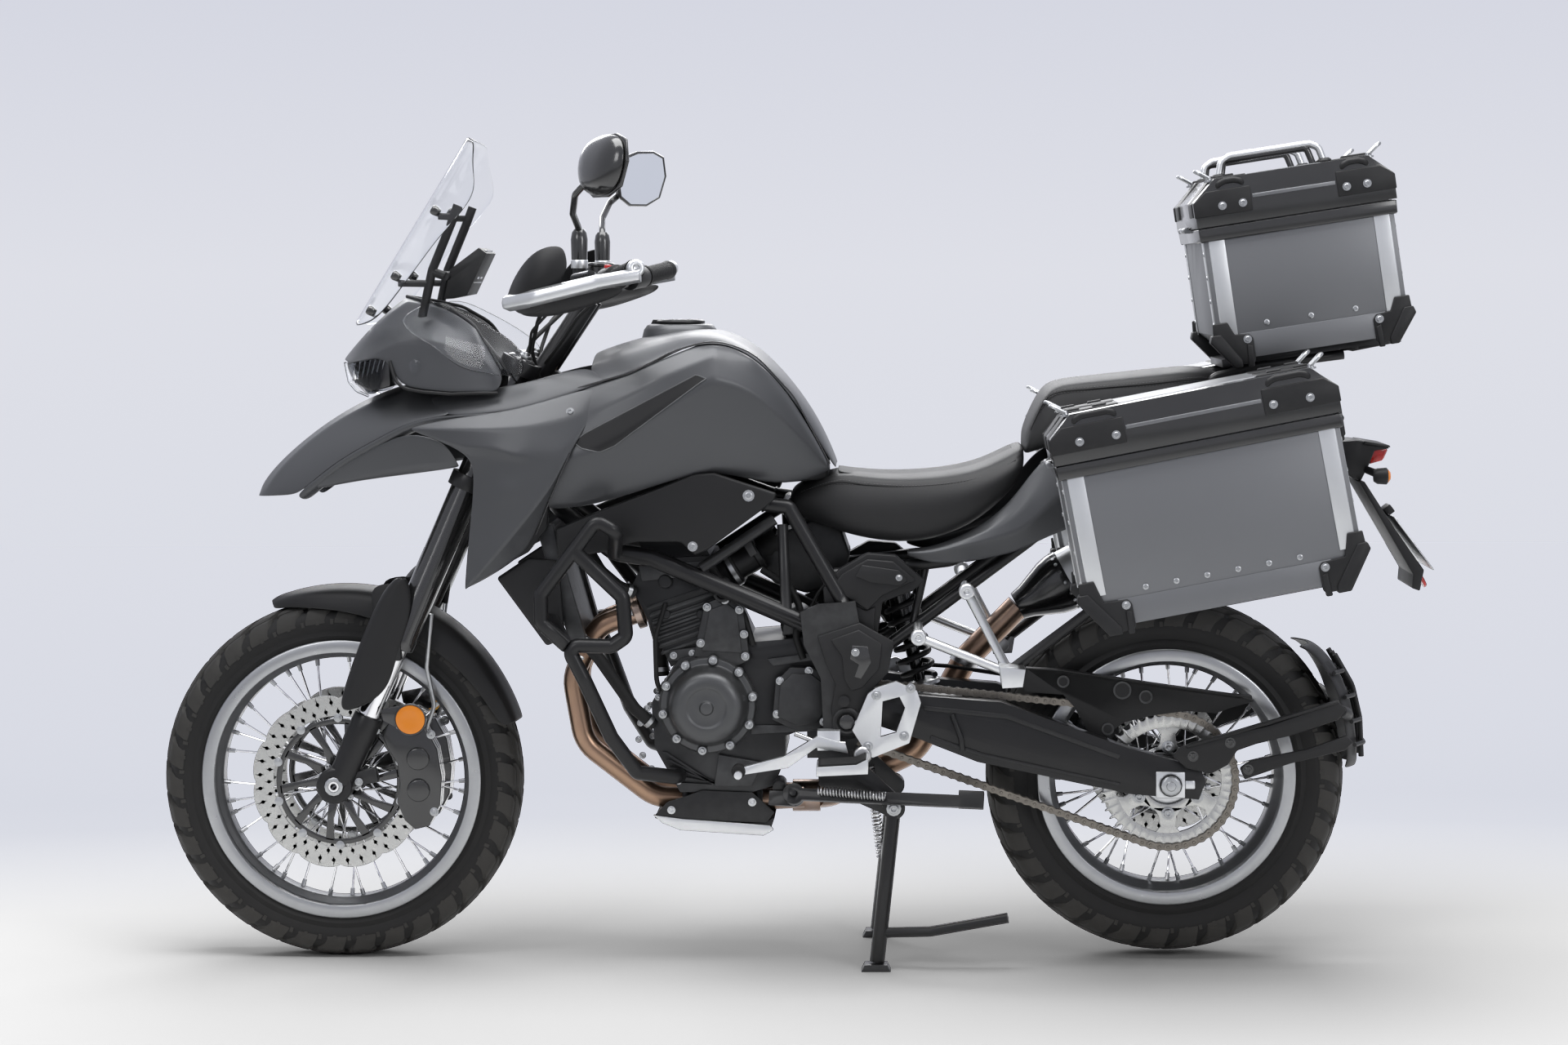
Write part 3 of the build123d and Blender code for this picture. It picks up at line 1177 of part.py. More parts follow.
with BuildPart() as top_case_lid:
    case_lid(TOP, TOP_LENGTH, LID_HEIGHT + BAND_HEIGHT, -TOP_HALF, TOP_HALF, LID_GAP)
    case_knuckle(TOP, -20, 20, True)
    for flank in (-1, 1):
        rail = [(50, 81), (58, 112), (205, 112), (213, 81)]
        tube([tuple(TOP.from_local_coords(Vector(x, flank * 150, z))) for x, z in rail], RAIL_ROD_RADIUS, 10)
save(top_case_lid, "top_case_lid")


with BuildPart() as luggage_rack:
    case_block(TOP, [(10, -TOP_DEPTH - 14), (290, -TOP_DEPTH - 14), (290, -TOP_DEPTH - FIT),
                     (10, -TOP_DEPTH - FIT)], -105, 105)
    for flank in (-1, 1):
        tube([(700, flank * 100, 975), (770, flank * 105, 1060), (850, flank * 100, 1082),
              (1000, flank * 90, 1100)], RACK_RADIUS, 20)
        bar((900, flank * 91, 1000), (920, flank * 95, 1090), RACK_RADIUS)
    add(subframe.part, mode=Mode.SUBTRACT)
    add(tail_panels.part, mode=Mode.SUBTRACT)
    add(pillion_seat.part, mode=Mode.SUBTRACT)
    add(top_case.part, mode=Mode.SUBTRACT)
save(luggage_rack, "luggage_rack")

with BuildPart() as pannier_rack:
    for flank in (-1, 1):
        y = flank * (PANNIER_INNER - RACK_RADIUS - 1)
        loop = [tuple(PANNIER.from_local_coords(Vector(x, y, z))) for x, z in ((60, -50), (420, -50),
            (420, -240), (90, -240), (60, -50))]
        for a, b in zip(loop, loop[1:]):
            bar(a, b, RACK_RADIUS)
        for corner in loop[:4]:
            bar(corner, (corner[0], flank * PANNIER_INNER, corner[2]), RACK_RADIUS)
        bar(loop[0], (560, flank * RAIL_LANE, 878), RACK_RADIUS)
        bar(loop[1], (880, flank * 96, 990), RACK_RADIUS)
        bar(loop[3], (404, flank * PILLION_LANE, 552), RACK_RADIUS)
    for other in (subframe, tail_panels, pillion_seat, silencer, luggage_rack, left_pannier, right_pannier,
                  pillion_pegs, rider_seat):
        add(other.part, mode=Mode.SUBTRACT)
save(pannier_rack, "pannier_rack")

# Stands

with BuildPart() as centre_stand:
    for flank in (-1, 1):
        bar((STAND_X, flank * STAND_LANE, STAND_Z), (STAND_FOOT_X + 6, flank * 150, 14), 13)
        slab([(STAND_FOOT_X - 22, 0), (STAND_FOOT_X + 30, 0), (STAND_FOOT_X + 24, 12), (STAND_FOOT_X - 16,
            12)],
             flank * 135, flank * 172)
        cross_bar(STAND_X, STAND_Z, flank * (STAND_LANE - 12), flank * (STAND_LANE + 12), 20)
    cross_bar(182, 178, -STAND_CROSS_HALF, STAND_CROSS_HALF, 11)
    tube([(168, -145, 66), (260, -165, 72), (398, -176, 99)], 9, 60)
    cross_bar(STAND_X, STAND_Z, -200, 200, 8 + FIT, mode=Mode.SUBTRACT)
save(centre_stand, "centre_stand")

with BuildPart() as stand_bracket:
    for flank in (-1, 1):
        slab([(60, 400), (110, 400), (215, 300), (205, 276), (180, 276), (60, 330)],
             flank * (STAND_LANE - 20), flank * (STAND_LANE - 14))
        cross_bar(STAND_X, STAND_Z, flank * (STAND_LANE - 20), flank * (STAND_LANE + 16), 8)
    cross_bar(80, 385, -STAND_LANE + 17, STAND_LANE - 17, 12)
    slab([(40, 440), (90, 440), (90, 380), (40, 380)], -120, 120)
    for other in (engine, main_frame, exhaust_pipes, swingarm, chain, rider_pegs, foot_levers):
        add(other.part, mode=Mode.SUBTRACT)

SIDE_PIVOT = (16, -166, 321)
SIDE_FOLDED = Vector(1, -0.1, -0.03).normalized()
SIDE_DOWN = Vector(-0.26, -0.38, -0.888).normalized()
SIDE_AXIS = SIDE_FOLDED.cross(SIDE_DOWN).normalized()
SIDE_LENGTH = 318
SIDE = Plane(origin=SIDE_PIVOT, x_dir=SIDE_FOLDED, z_dir=SIDE_AXIS)

with BuildPart() as side_stand:
    with BuildSketch(SIDE.offset(-7)) as arm:
        Circle(19)
        with Locations((SIDE_LENGTH / 2, 0)):
            Rectangle(SIDE_LENGTH, 20)
        with Locations((SIDE_LENGTH, -4)):
            Rectangle(44, 30)
        Circle(6 + FIT, mode=Mode.SUBTRACT)
    extrude(arm.sketch, amount=14)
save(side_stand, "side_stand")

with BuildPart() as side_bracket:
    with BuildSketch(SIDE.offset(7 + FIT)) as plate:
        Circle(19)
        with Locations((-20, 6)):
            Rectangle(50, 26)
    extrude(plate.sketch, amount=8)
    with BuildSketch(SIDE.offset(-14)) as pin:
        Circle(6)
    extrude(pin.sketch, amount=25)
    bar((-10, -150, 330), (-10, -110, 335), 12)
    for other in (engine, side_stand, stand_bracket):
        add(other.part, mode=Mode.SUBTRACT)

with BuildPart() as stand_brackets:
    add(stand_bracket.part)
    add(side_bracket.part)
save(stand_brackets, "stand_brackets")
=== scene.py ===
import json
import math

import bmesh
import bpy
from bpy.props import FloatProperty, FloatVectorProperty, IntProperty, PointerProperty
from mathutils import Matrix, Vector
from mathutils.bvhtree import BVHTree

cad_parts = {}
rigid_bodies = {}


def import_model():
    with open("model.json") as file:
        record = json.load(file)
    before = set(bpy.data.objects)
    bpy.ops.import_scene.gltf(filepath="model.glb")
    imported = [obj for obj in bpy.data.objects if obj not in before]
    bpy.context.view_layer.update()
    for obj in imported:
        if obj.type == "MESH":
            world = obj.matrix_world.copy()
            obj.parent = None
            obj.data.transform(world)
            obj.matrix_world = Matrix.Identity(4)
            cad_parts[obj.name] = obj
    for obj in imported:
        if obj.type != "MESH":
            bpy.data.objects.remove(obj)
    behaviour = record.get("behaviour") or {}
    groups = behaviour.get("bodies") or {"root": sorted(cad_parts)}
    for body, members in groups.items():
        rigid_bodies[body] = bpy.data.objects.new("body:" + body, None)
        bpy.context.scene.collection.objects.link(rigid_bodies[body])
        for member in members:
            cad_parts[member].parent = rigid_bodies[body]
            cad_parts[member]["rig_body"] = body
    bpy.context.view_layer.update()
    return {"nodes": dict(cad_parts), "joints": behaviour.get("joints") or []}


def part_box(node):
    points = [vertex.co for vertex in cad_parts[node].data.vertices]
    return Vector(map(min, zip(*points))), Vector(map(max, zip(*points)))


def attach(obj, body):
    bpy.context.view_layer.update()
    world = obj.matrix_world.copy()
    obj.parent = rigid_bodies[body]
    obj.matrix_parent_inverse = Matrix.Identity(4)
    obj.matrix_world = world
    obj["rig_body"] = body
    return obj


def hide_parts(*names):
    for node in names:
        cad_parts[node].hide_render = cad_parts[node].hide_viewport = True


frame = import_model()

bl_info = {"name": "Adventure Motorcycle", "version": (1, 0, 0), "blender": (4, 5, 0),
    "location": "View3D > Sidebar > Motorcycle",
    "description": "Dresses an adventure motorcycle with its panels, wheels, luggage and finishes",
    "category": "Object"}

# Lengths below are in millimetres, as on the real machine; the meshes are in metres
MM = 0.001
BOTH = (-1, 1)
UP = (0, 0, 1)
# Points nearer than this are one corner, in millimetres
WELD = 0.01
# How strongly a creased edge holds against smoothing
CREASE = 0.7
# Faces that meet at more than this stay sharp on a piece with rounded edges, in degrees
SHARP_WHEN_ROUNDED = 60

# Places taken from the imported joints
JOINTS = {joint["name"]: joint for joint in frame["joints"]}


def joint_place(name):
    """Where a joint turns, in millimetres."""
    return Vector(JOINTS[name]["pos_m"]) / MM


FRONT_AXLE = joint_place("front_axle_spin")
REAR_AXLE = joint_place("rear_axle_spin")
HEAD = joint_place("steering_head")
STEER_AXIS = Vector(JOINTS["steering_head"]["axis"]).normalized()
STEER_BACK = Vector((STEER_AXIS.z, 0, -STEER_AXIS.x))


def steer(back, y, along):
    """A point given along the steering axis: behind it, to the side and up it from the head's middle."""
    return HEAD + STEER_BACK * back + Vector((0, y, 0)) + STEER_AXIS * along


def colour_setting(label, description, rgb):
    return FloatVectorProperty(name=label, description=description, subtype="COLOR", size=3, min=0, max=1,
        default=rgb)


def length_setting(label, description, metres):
    return FloatProperty(name=label, description=description, subtype="DISTANCE", unit="LENGTH", min=0,
        default=metres)


class MotorcycleColours(bpy.types.PropertyGroup):
    panel: colour_setting("Painted panels", "Matt grey of the beak, tank and tail", (0.060, 0.062, 0.067))
    plastic: colour_setting("Black plastic", "Grained mouldings", (0.009, 0.009, 0.0095))
    frame: colour_setting("Frame coat", "Satin black of tubes and arms", (0.007, 0.007, 0.0075))
    engine: colour_setting("Engine cases", "Dark cast covers", (0.024, 0.0245, 0.026))
    alloy: colour_setting("Light alloy", "Forged and cast bright pieces", (0.62, 0.63, 0.64))
    rim: colour_setting("Wheel rims", "Anodised rims", (0.21, 0.215, 0.225))
    case: colour_setting("Case walls", "Painted walls of the cases", (0.155, 0.159, 0.168))
    strip: colour_setting("Case corners", "Brushed corner strips", (0.56, 0.57, 0.58))
    seat: colour_setting("Seat cover", "Black seat covers", (0.009, 0.009, 0.0095))
    rubber: colour_setting("Rubber", "Tyres, grips and hoses", (0.008, 0.008, 0.0085))
    pipe: colour_setting("Header pipes", "Heat-tinted steel", (0.27, 0.17, 0.10))


class MotorcycleSizes(bpy.types.PropertyGroup):
    knob_height: length_setting("Tread depth", "Height of the tyre blocks", 0.007)
    tread_pitches: IntProperty(name="Tread pitches", description="Tread repeats round a tyre", default=34,
        min=8)
    disc_hole: length_setting("Disc hole", "Width of the holes in the brake discs", 0.007)
    panel_edge: length_setting("Panel edge", "Rounding of the panels' edges", 0.002)
    stitch_gap: length_setting("Stitch spacing", "From one seat stitch to the next", 0.007)


def colours():
    return bpy.context.scene.motorcycle_colours


def sizes():
    return bpy.context.scene.motorcycle_sizes


# Shader groups shared by the finishes

def new_group(name, inputs, outputs):
    """A shader node group with its named sockets."""
    tree = bpy.data.node_groups.new(name, "ShaderNodeTree")
    for label, kind, default in inputs:
        socket = tree.interface.new_socket(name=label, in_out="INPUT", socket_type=kind)
        if default is not None:
            socket.default_value = default
    for label, kind in outputs:
        tree.interface.new_socket(name=label, in_out="OUTPUT", socket_type=kind)
    return tree, tree.nodes.new("NodeGroupInput"), tree.nodes.new("NodeGroupOutput")


def set_inputs(node, values):
    for key, value in values.items():
        node.inputs[key].default_value = value
    return node


def link(tree, node, output, socket):
    tree.links.new(node.outputs[output], socket)


def math_node(tree, operation, a, b=None):
    """A maths node fed by sockets or numbers."""
    node = tree.nodes.new("ShaderNodeMath")
    node.operation = operation
    for slot, value in enumerate((a, b)):
        if value is None:
            continue
        if isinstance(value, (int, float)):
            node.inputs[slot].default_value = value
        else:
            tree.links.new(value, node.inputs[slot])
    return node.outputs[0]


def drift_group():
    """Slow wander between two colours."""
    tree, start, end = new_group("Colour Drift", [("Vector", "NodeSocketVector", None),
        ("Scale", "NodeSocketFloat", 8.0), ("Base", "NodeSocketColor", (0.5, 0.5, 0.5, 1)),
        ("Shade", "NodeSocketColor", (0.4, 0.4, 0.4, 1))], [("Color", "NodeSocketColor"),
        ("Factor", "NodeSocketFloat")])
    noise = set_inputs(tree.nodes.new("ShaderNodeTexNoise"), {"Detail": 5.0, "Roughness": 0.62})
    link(tree, start, "Vector", noise.inputs["Vector"])
    link(tree, start, "Scale", noise.inputs["Scale"])
    mix = tree.nodes.new("ShaderNodeMix")
    mix.data_type = "RGBA"
    tree.links.new(noise.outputs[0], mix.inputs["Factor"])
    link(tree, start, "Base", mix.inputs[6])
    link(tree, start, "Shade", mix.inputs[7])
    tree.links.new(mix.outputs[2], end.inputs["Color"])
    tree.links.new(noise.outputs[0], end.inputs["Factor"])
    return tree


def grain_group():
    """Height of a moulded or coated surface: fine noise with round pebbles blended in."""
    tree, start, end = new_group("Surface Grain", [("Vector", "NodeSocketVector", None),
        ("Scale", "NodeSocketFloat", 600.0), ("Pebble", "NodeSocketFloat", 0.0)],
        [("Height", "NodeSocketFloat")])
    noise = set_inputs(tree.nodes.new("ShaderNodeTexNoise"), {"Detail": 3.0, "Roughness": 0.5})
    cells = tree.nodes.new("ShaderNodeTexVoronoi")
    for texture in (noise, cells):
        link(tree, start, "Vector", texture.inputs["Vector"])
        link(tree, start, "Scale", texture.inputs["Scale"])
    mix = tree.nodes.new("ShaderNodeMix")
    link(tree, start, "Pebble", mix.inputs["Factor"])
    tree.links.new(noise.outputs[0], mix.inputs[2])
    tree.links.new(cells.outputs["Distance"], mix.inputs[3])
    tree.links.new(mix.outputs[0], end.inputs["Height"])
    return tree


def rub_group():
    """Mask of edges where a coat is rubbed through."""
    tree, start, end = new_group(
        "Edge Rub", [("Vector", "NodeSocketVector", None), ("Amount", "NodeSocketFloat", 0.5)],
        [("Mask", "NodeSocketFloat")],
    )
    geometry = tree.nodes.new("ShaderNodeNewGeometry")
    ramp = tree.nodes.new("ShaderNodeMapRange")
    set_inputs(ramp, {"From Min": 0.53, "From Max": 0.62})
    tree.links.new(geometry.outputs["Pointiness"], ramp.inputs["Value"])
    noise = set_inputs(tree.nodes.new("ShaderNodeTexNoise"), {"Scale": 55.0, "Detail": 4.0})
    link(tree, start, "Vector", noise.inputs["Vector"])
    worn = math_node(tree, "MULTIPLY", ramp.outputs[0], noise.outputs[0])
    tree.links.new(math_node(tree, "MULTIPLY", worn, start.outputs["Amount"]), end.inputs["Mask"])
    return tree


def dust_group():
    """Mask of road dust, denser towards the ground."""
    tree, start, end = new_group("Road Dust", [("Vector", "NodeSocketVector", None),
        ("Reach", "NodeSocketFloat", 0.7), ("Amount", "NodeSocketFloat", 0.1)], [("Mask", "NodeSocketFloat")])
    split = tree.nodes.new("ShaderNodeSeparateXYZ")
    link(tree, start, "Vector", split.inputs[0])
    height = math_node(tree, "DIVIDE", split.outputs["Z"], start.outputs["Reach"])
    low = tree.nodes.new("ShaderNodeMapRange")
    set_inputs(low, {"From Min": 1.0, "From Max": 0.0})
    tree.links.new(height, low.inputs["Value"])
    noise = set_inputs(tree.nodes.new("ShaderNodeTexNoise"), {"Scale": 22.0, "Detail": 7.0, "Roughness": 0.7})
    link(tree, start, "Vector", noise.inputs["Vector"])
    patch = math_node(tree, "MULTIPLY", low.outputs[0], noise.outputs[0])
    tree.links.new(math_node(tree, "MULTIPLY", patch, start.outputs["Amount"]), end.inputs["Mask"])
    return tree


def brushed_group():
    """Height of fine straight scratches along one axis."""
    tree, start, end = new_group("Brushed Lines", [("Vector", "NodeSocketVector", None),
        ("Stretch", "NodeSocketVector", (4, 900, 900))], [("Height", "NodeSocketFloat")])
    scaled = tree.nodes.new("ShaderNodeVectorMath")
    scaled.operation = "MULTIPLY"
    link(tree, start, "Vector", scaled.inputs[0])
    link(tree, start, "Stretch", scaled.inputs[1])
    noise = set_inputs(tree.nodes.new("ShaderNodeTexNoise"), {"Scale": 1.0, "Detail": 2.0})
    tree.links.new(scaled.outputs[0], noise.inputs["Vector"])
    tree.links.new(noise.outputs[0], end.inputs["Height"])
    return tree


GROUP_MAKERS = {
    "Colour Drift": drift_group, "Surface Grain": grain_group, "Edge Rub": rub_group,
    "Road Dust": dust_group, "Brushed Lines": brushed_group,
}


MATERIALS = {}


class Graph:
    """A material being wired round its Principled shader."""

    def __init__(self, name):
        self.material = MATERIALS[name] = bpy.data.materials.new(name)
        self.material.use_nodes = True
        self.tree = self.material.node_tree
        self.shader = self.tree.nodes["Principled BSDF"]
        self.place = self.tree.nodes.new("ShaderNodeTexCoord").outputs["Object"]

    def group(self, name, values):
        """One of the shared groups, placed with this finish's own values."""
        tree = bpy.data.node_groups.get(name) or GROUP_MAKERS[name]()
        node = self.tree.nodes.new("ShaderNodeGroup")
        node.node_tree = tree
        self.tree.links.new(self.place, node.inputs["Vector"])
        return set_inputs(node, values)

    def mix(self, factor, low, high):
        """Blend of two colours by a mask; each colour is a socket or red, green and blue."""
        node = self.tree.nodes.new("ShaderNodeMix")
        node.data_type = "RGBA"
        self.tree.links.new(factor, node.inputs["Factor"])
        for socket, value in ((node.inputs[6], low), (node.inputs[7], high)):
            if isinstance(value, (tuple, list)):
                socket.default_value = (*value, 1)
            else:
                self.tree.links.new(value, socket)
        return node.outputs[2]

    def feed(self, socket, output):
        self.tree.links.new(output, self.shader.inputs[socket])

    def span(self, value, low, high):
        """A 0 to 1 mask spread between two numbers."""
        node = set_inputs(self.tree.nodes.new("ShaderNodeMapRange"), {"To Min": low, "To Max": high})
        self.tree.links.new(value, node.inputs["Value"])
        return node.outputs[0]

    def bump(self, height, depth, distance=0.0004):
        node = set_inputs(self.tree.nodes.new("ShaderNodeBump"), {"Strength": depth, "Distance": distance})
        self.tree.links.new(height, node.inputs["Height"])
        self.feed("Normal", node.outputs[0])


DUST = (0.30, 0.27, 0.23)
BARE = (0.42, 0.43, 0.44)
COAT_ROUGHNESS = 0.12


def surface(name, base, shade=None, rough=0.5, spread=0.08, metal=0.0, coat=0.0, drift=9.0, grain=700.0,
        pebble=0.0, depth=0.25, rub=0.0, dust=0.0, brushed=None, sheen=0.0, shine=0.5):
    """A coated, moulded or metal finish with drift, grain, rubbed edges and dust."""
    graph = Graph(name)
    shade = shade or tuple(channel * 0.82 for channel in base)
    wander = graph.group("Colour Drift", {"Scale": drift, "Base": (*base, 1), "Shade": (*shade, 1)})
    colour = wander.outputs["Color"]
    if rub:
        colour = graph.mix(graph.group("Edge Rub", {"Amount": rub}).outputs[0], colour, BARE)
    if dust:
        colour = graph.mix(graph.group("Road Dust", {"Amount": dust}).outputs[0], colour, DUST)
    graph.feed("Base Color", colour)
    graph.feed("Roughness", graph.span(wander.outputs["Factor"], rough - spread, rough + spread))
    if brushed:
        graph.bump(graph.group("Brushed Lines", {"Stretch": brushed}).outputs[0], depth)
    else:
        graph.bump(graph.group("Surface Grain", {"Scale": grain, "Pebble": pebble}).outputs[0], depth)
    graph.shader.inputs["Metallic"].default_value = metal
    graph.shader.inputs["Coat Weight"].default_value = coat
    graph.shader.inputs["Coat Roughness"].default_value = COAT_ROUGHNESS
    graph.shader.inputs["Sheen Weight"].default_value = sheen
    graph.shader.inputs["Specular IOR Level"].default_value = shine


def clear(name, tint, rough=0.02, ior=1.49, weight=1.0):
    """A clear or tinted moulding, faintly hazed by fine wear."""
    graph = Graph(name)
    haze = graph.group("Colour Drift", {"Scale": 14.0, "Base": (*tint, 1),
        "Shade": (*[c * 0.97 for c in tint], 1)})
    graph.feed("Base Color", haze.outputs["Color"])
    graph.feed("Roughness", graph.span(haze.outputs["Factor"], rough, rough + 0.03))
    graph.shader.inputs["Transmission Weight"].default_value = weight
    graph.shader.inputs["IOR"].default_value = ior


def tinted_pipe(name, base):
    """Header pipe steel, straw to brown to blue with the heat."""
    graph = Graph(name)
    wave = graph.group("Colour Drift", {"Scale": 11.0, "Base": (*base, 1), "Shade": (0.20, 0.125, 0.09, 1)})
    blue = graph.group("Colour Drift", {"Scale": 4.0, "Base": (0.10, 0.09, 0.12, 1), "Shade": (*base, 1)})
    mixed = graph.mix(graph.group("Edge Rub", {"Amount": 0.6}).outputs[0], wave.outputs["Color"], BARE)
    node = graph.tree.nodes.new("ShaderNodeMix")
    node.data_type = "RGBA"
    node.blend_type = "SCREEN"
    node.inputs["Factor"].default_value = 0.35
    graph.tree.links.new(mixed, node.inputs[6])
    graph.tree.links.new(blue.outputs["Color"], node.inputs[7])
    graph.feed("Base Color", node.outputs[2])
    graph.feed("Roughness", graph.span(wave.outputs["Factor"], 0.22, 0.42))
    graph.bump(graph.group("Brushed Lines", {"Stretch": (30, 800, 30)}).outputs[0], 0.12)
    graph.shader.inputs["Metallic"].default_value = 1.0


def make_finishes():
    """Every finish on the machine, under the record's slot names and a few of their own."""
    tone = colours()
    bright = tuple(tone.alloy)
    plastic = tuple(tone.plastic)
    surface("panel_grey", tuple(tone.panel), rough=0.42, spread=0.05, metal=0.35, coat=0.08, grain=2400,
        depth=0.06, drift=3, dust=0.04)
    surface("plastic_black", plastic, (0.014, 0.014, 0.015), rough=0.48, grain=1500, pebble=0.5, depth=0.25,
        rub=0.05, dust=0.03, shine=0.24)
    surface("gloss_black", plastic, (0.02, 0.02, 0.02), rough=0.20, grain=300, depth=0.03, coat=0.5)
    surface("frame_black", tuple(tone.frame), (0.011, 0.011, 0.012), rough=0.36, coat=0.08, grain=900,
        depth=0.12, rub=0.10, dust=0.02, shine=0.26)
    surface("engine_black", tuple(tone.engine), (0.016, 0.016, 0.017), rough=0.44, metal=0.45, grain=1300,
        depth=0.35, rub=0.3, dust=0.03, shine=0.28)
    surface("engine_dark", (0.009, 0.009, 0.0095), (0.015, 0.015, 0.016), rough=0.42, metal=0.2, grain=1100,
        depth=0.3, rub=0.2, dust=0.03, shine=0.26)
    surface("cover_grey", (0.075, 0.077, 0.08), (0.055, 0.056, 0.058), rough=0.38, metal=0.6, grain=1300,
        depth=0.3, rub=0.3, dust=0.05)
    surface("silver_cast", bright, tuple(c * 0.85 for c in bright), rough=0.34, metal=0.9, grain=1500,
        depth=0.16, drift=30, dust=0.05)
    surface("steel", (0.50, 0.50, 0.50), (0.38, 0.38, 0.38), rough=0.30, metal=1.0, grain=900, depth=0.1,
        drift=40)
    surface("disc_steel", (0.47, 0.47, 0.455), (0.38, 0.38, 0.37), rough=0.28, metal=1.0, drift=60,
        brushed=(700, 60, 700), depth=0.10)
    surface("rim_silver", tuple(tone.rim), tuple(c * 0.8 for c in tone.rim), rough=0.36, metal=0.85,
        grain=1800, depth=0.08, dust=0.12)
    surface("rim_edge", (0.36, 0.365, 0.375), (0.30, 0.305, 0.31), rough=0.30, metal=1.0, drift=30,
        depth=0.05)
    surface("fork_black", (0.010, 0.010, 0.011), (0.02, 0.02, 0.02), rough=0.16, coat=0.6, grain=500,
        depth=0.03, dust=0.04)
    surface("chrome", (0.75, 0.75, 0.76), (0.66, 0.66, 0.67), rough=0.10, spread=0.04, metal=1.0, depth=0.03)
    tinted_pipe("header_brown", tuple(tone.pipe))
    surface("case_grey", tuple(tone.case), tuple(c * 0.93 for c in tone.case), rough=0.44, metal=0.5,
        grain=2200, depth=0.06, drift=2.5)
    surface("case_silver", tuple(tone.strip), tuple(c * 0.9 for c in tone.strip), rough=0.38, metal=0.85,
        drift=20, brushed=(900, 900, 6), depth=0.10)
    surface("seat_black", tuple(tone.seat), (0.018, 0.018, 0.019), rough=0.54, grain=1100, pebble=0.8,
        depth=0.35, drift=12, shine=0.30)
    surface("seat_ribbed", (0.010, 0.010, 0.011), (0.016, 0.016, 0.017), rough=0.62, grain=520, pebble=1.0,
        depth=0.5, sheen=0.05, drift=12, shine=0.28)
    surface("thread", (0.05, 0.05, 0.052), rough=0.7, grain=3000, depth=0.4)
    surface("rubber_black", tuple(tone.rubber), (0.013, 0.013, 0.013), rough=0.60, grain=1600, depth=0.25,
        dust=0.02, shine=0.22)
    surface("tread_black", (0.019, 0.0185, 0.018), (0.028, 0.027, 0.025), rough=0.66, grain=700, depth=0.4,
        dust=0.10, drift=20, shine=0.3)
    surface("tyre_black", tuple(tone.rubber), (0.014, 0.014, 0.014), rough=0.62, grain=1200, depth=0.35,
        dust=0.035, drift=20, shine=0.22)
    surface("chain_steel", (0.23, 0.21, 0.18), (0.12, 0.11, 0.10), rough=0.36, metal=0.95, drift=90,
        grain=900, depth=0.15)
    surface("gold", (0.52, 0.36, 0.12), (0.42, 0.28, 0.09), rough=0.32, metal=1.0, depth=0.08)
    surface("zinc", (0.42, 0.43, 0.44), (0.30, 0.305, 0.31), rough=0.34, metal=1.0, drift=120, depth=0.08)
    surface("lamp_chrome", (0.80, 0.81, 0.82), rough=0.12, metal=1.0, depth=0.02)
    surface("lamp_dark", (0.02, 0.02, 0.022), rough=0.25, coat=0.3, depth=0.02)
    surface("kill_red", (0.55, 0.012, 0.010), rough=0.35, depth=0.05)
    surface("panel_print", (0.05, 0.055, 0.06), rough=0.15, coat=0.4, depth=0.02)
    clear("screen_clear", (0.98, 0.985, 0.99), ior=1.2)
    clear("lamp_glass", (0.95, 0.96, 0.97), ior=1.2)
    clear("lamp_smoke", (0.42, 0.43, 0.45), ior=1.2)
    clear("lens_red", (0.55, 0.02, 0.015), rough=0.12, weight=0.35)
    clear("lens_orange", (0.85, 0.26, 0.01), rough=0.15, weight=0.2)
    surface("mirror_glass", (0.80, 0.82, 0.86), (0.78, 0.80, 0.84), rough=0.035, spread=0.02, metal=1.0,
        depth=0.0)


# Mesh making

def rounded(points, bend):
    """A route with its corners turned into arcs of the given radius, or as large as its runs allow."""
    points = [Vector(point) for point in points]
    route = [points[0]]
    for before, corner, after in zip(points, points[1:], points[2:]):
        into = (before - corner).normalized()
        away = (after - corner).normalized()
        half = into.angle(away) / 2
        if math.pi / 2 - half < 0.02 or bend == 0:
            route.append(corner)
            continue
        reach = min(bend / math.tan(half), (before - corner).length * 0.49, (after - corner).length * 0.49)
        radius = reach * math.tan(half)
        centre = corner + (into + away).normalized() * radius / math.sin(half)
        first = corner + into * reach - centre
        last = corner + away * reach - centre
        turn = first.angle(last)
        steps = max(3, round(turn / math.radians(9)))
        for step in range(steps + 1):
            share = step / steps
            spoke = first * math.sin((1 - share) * turn) + last * math.sin(share * turn)
            route.append(centre + spoke / math.sin(turn))
    route.append(points[-1])
    return route


def side_axes(direction):
    """Two directions square to the given one."""
    helper = Vector((0, 1, 0)) if abs(direction.y) < 0.9 else Vector((1, 0, 0))
    across = direction.cross(helper).normalized()
    return across, direction.cross(across).normalized()


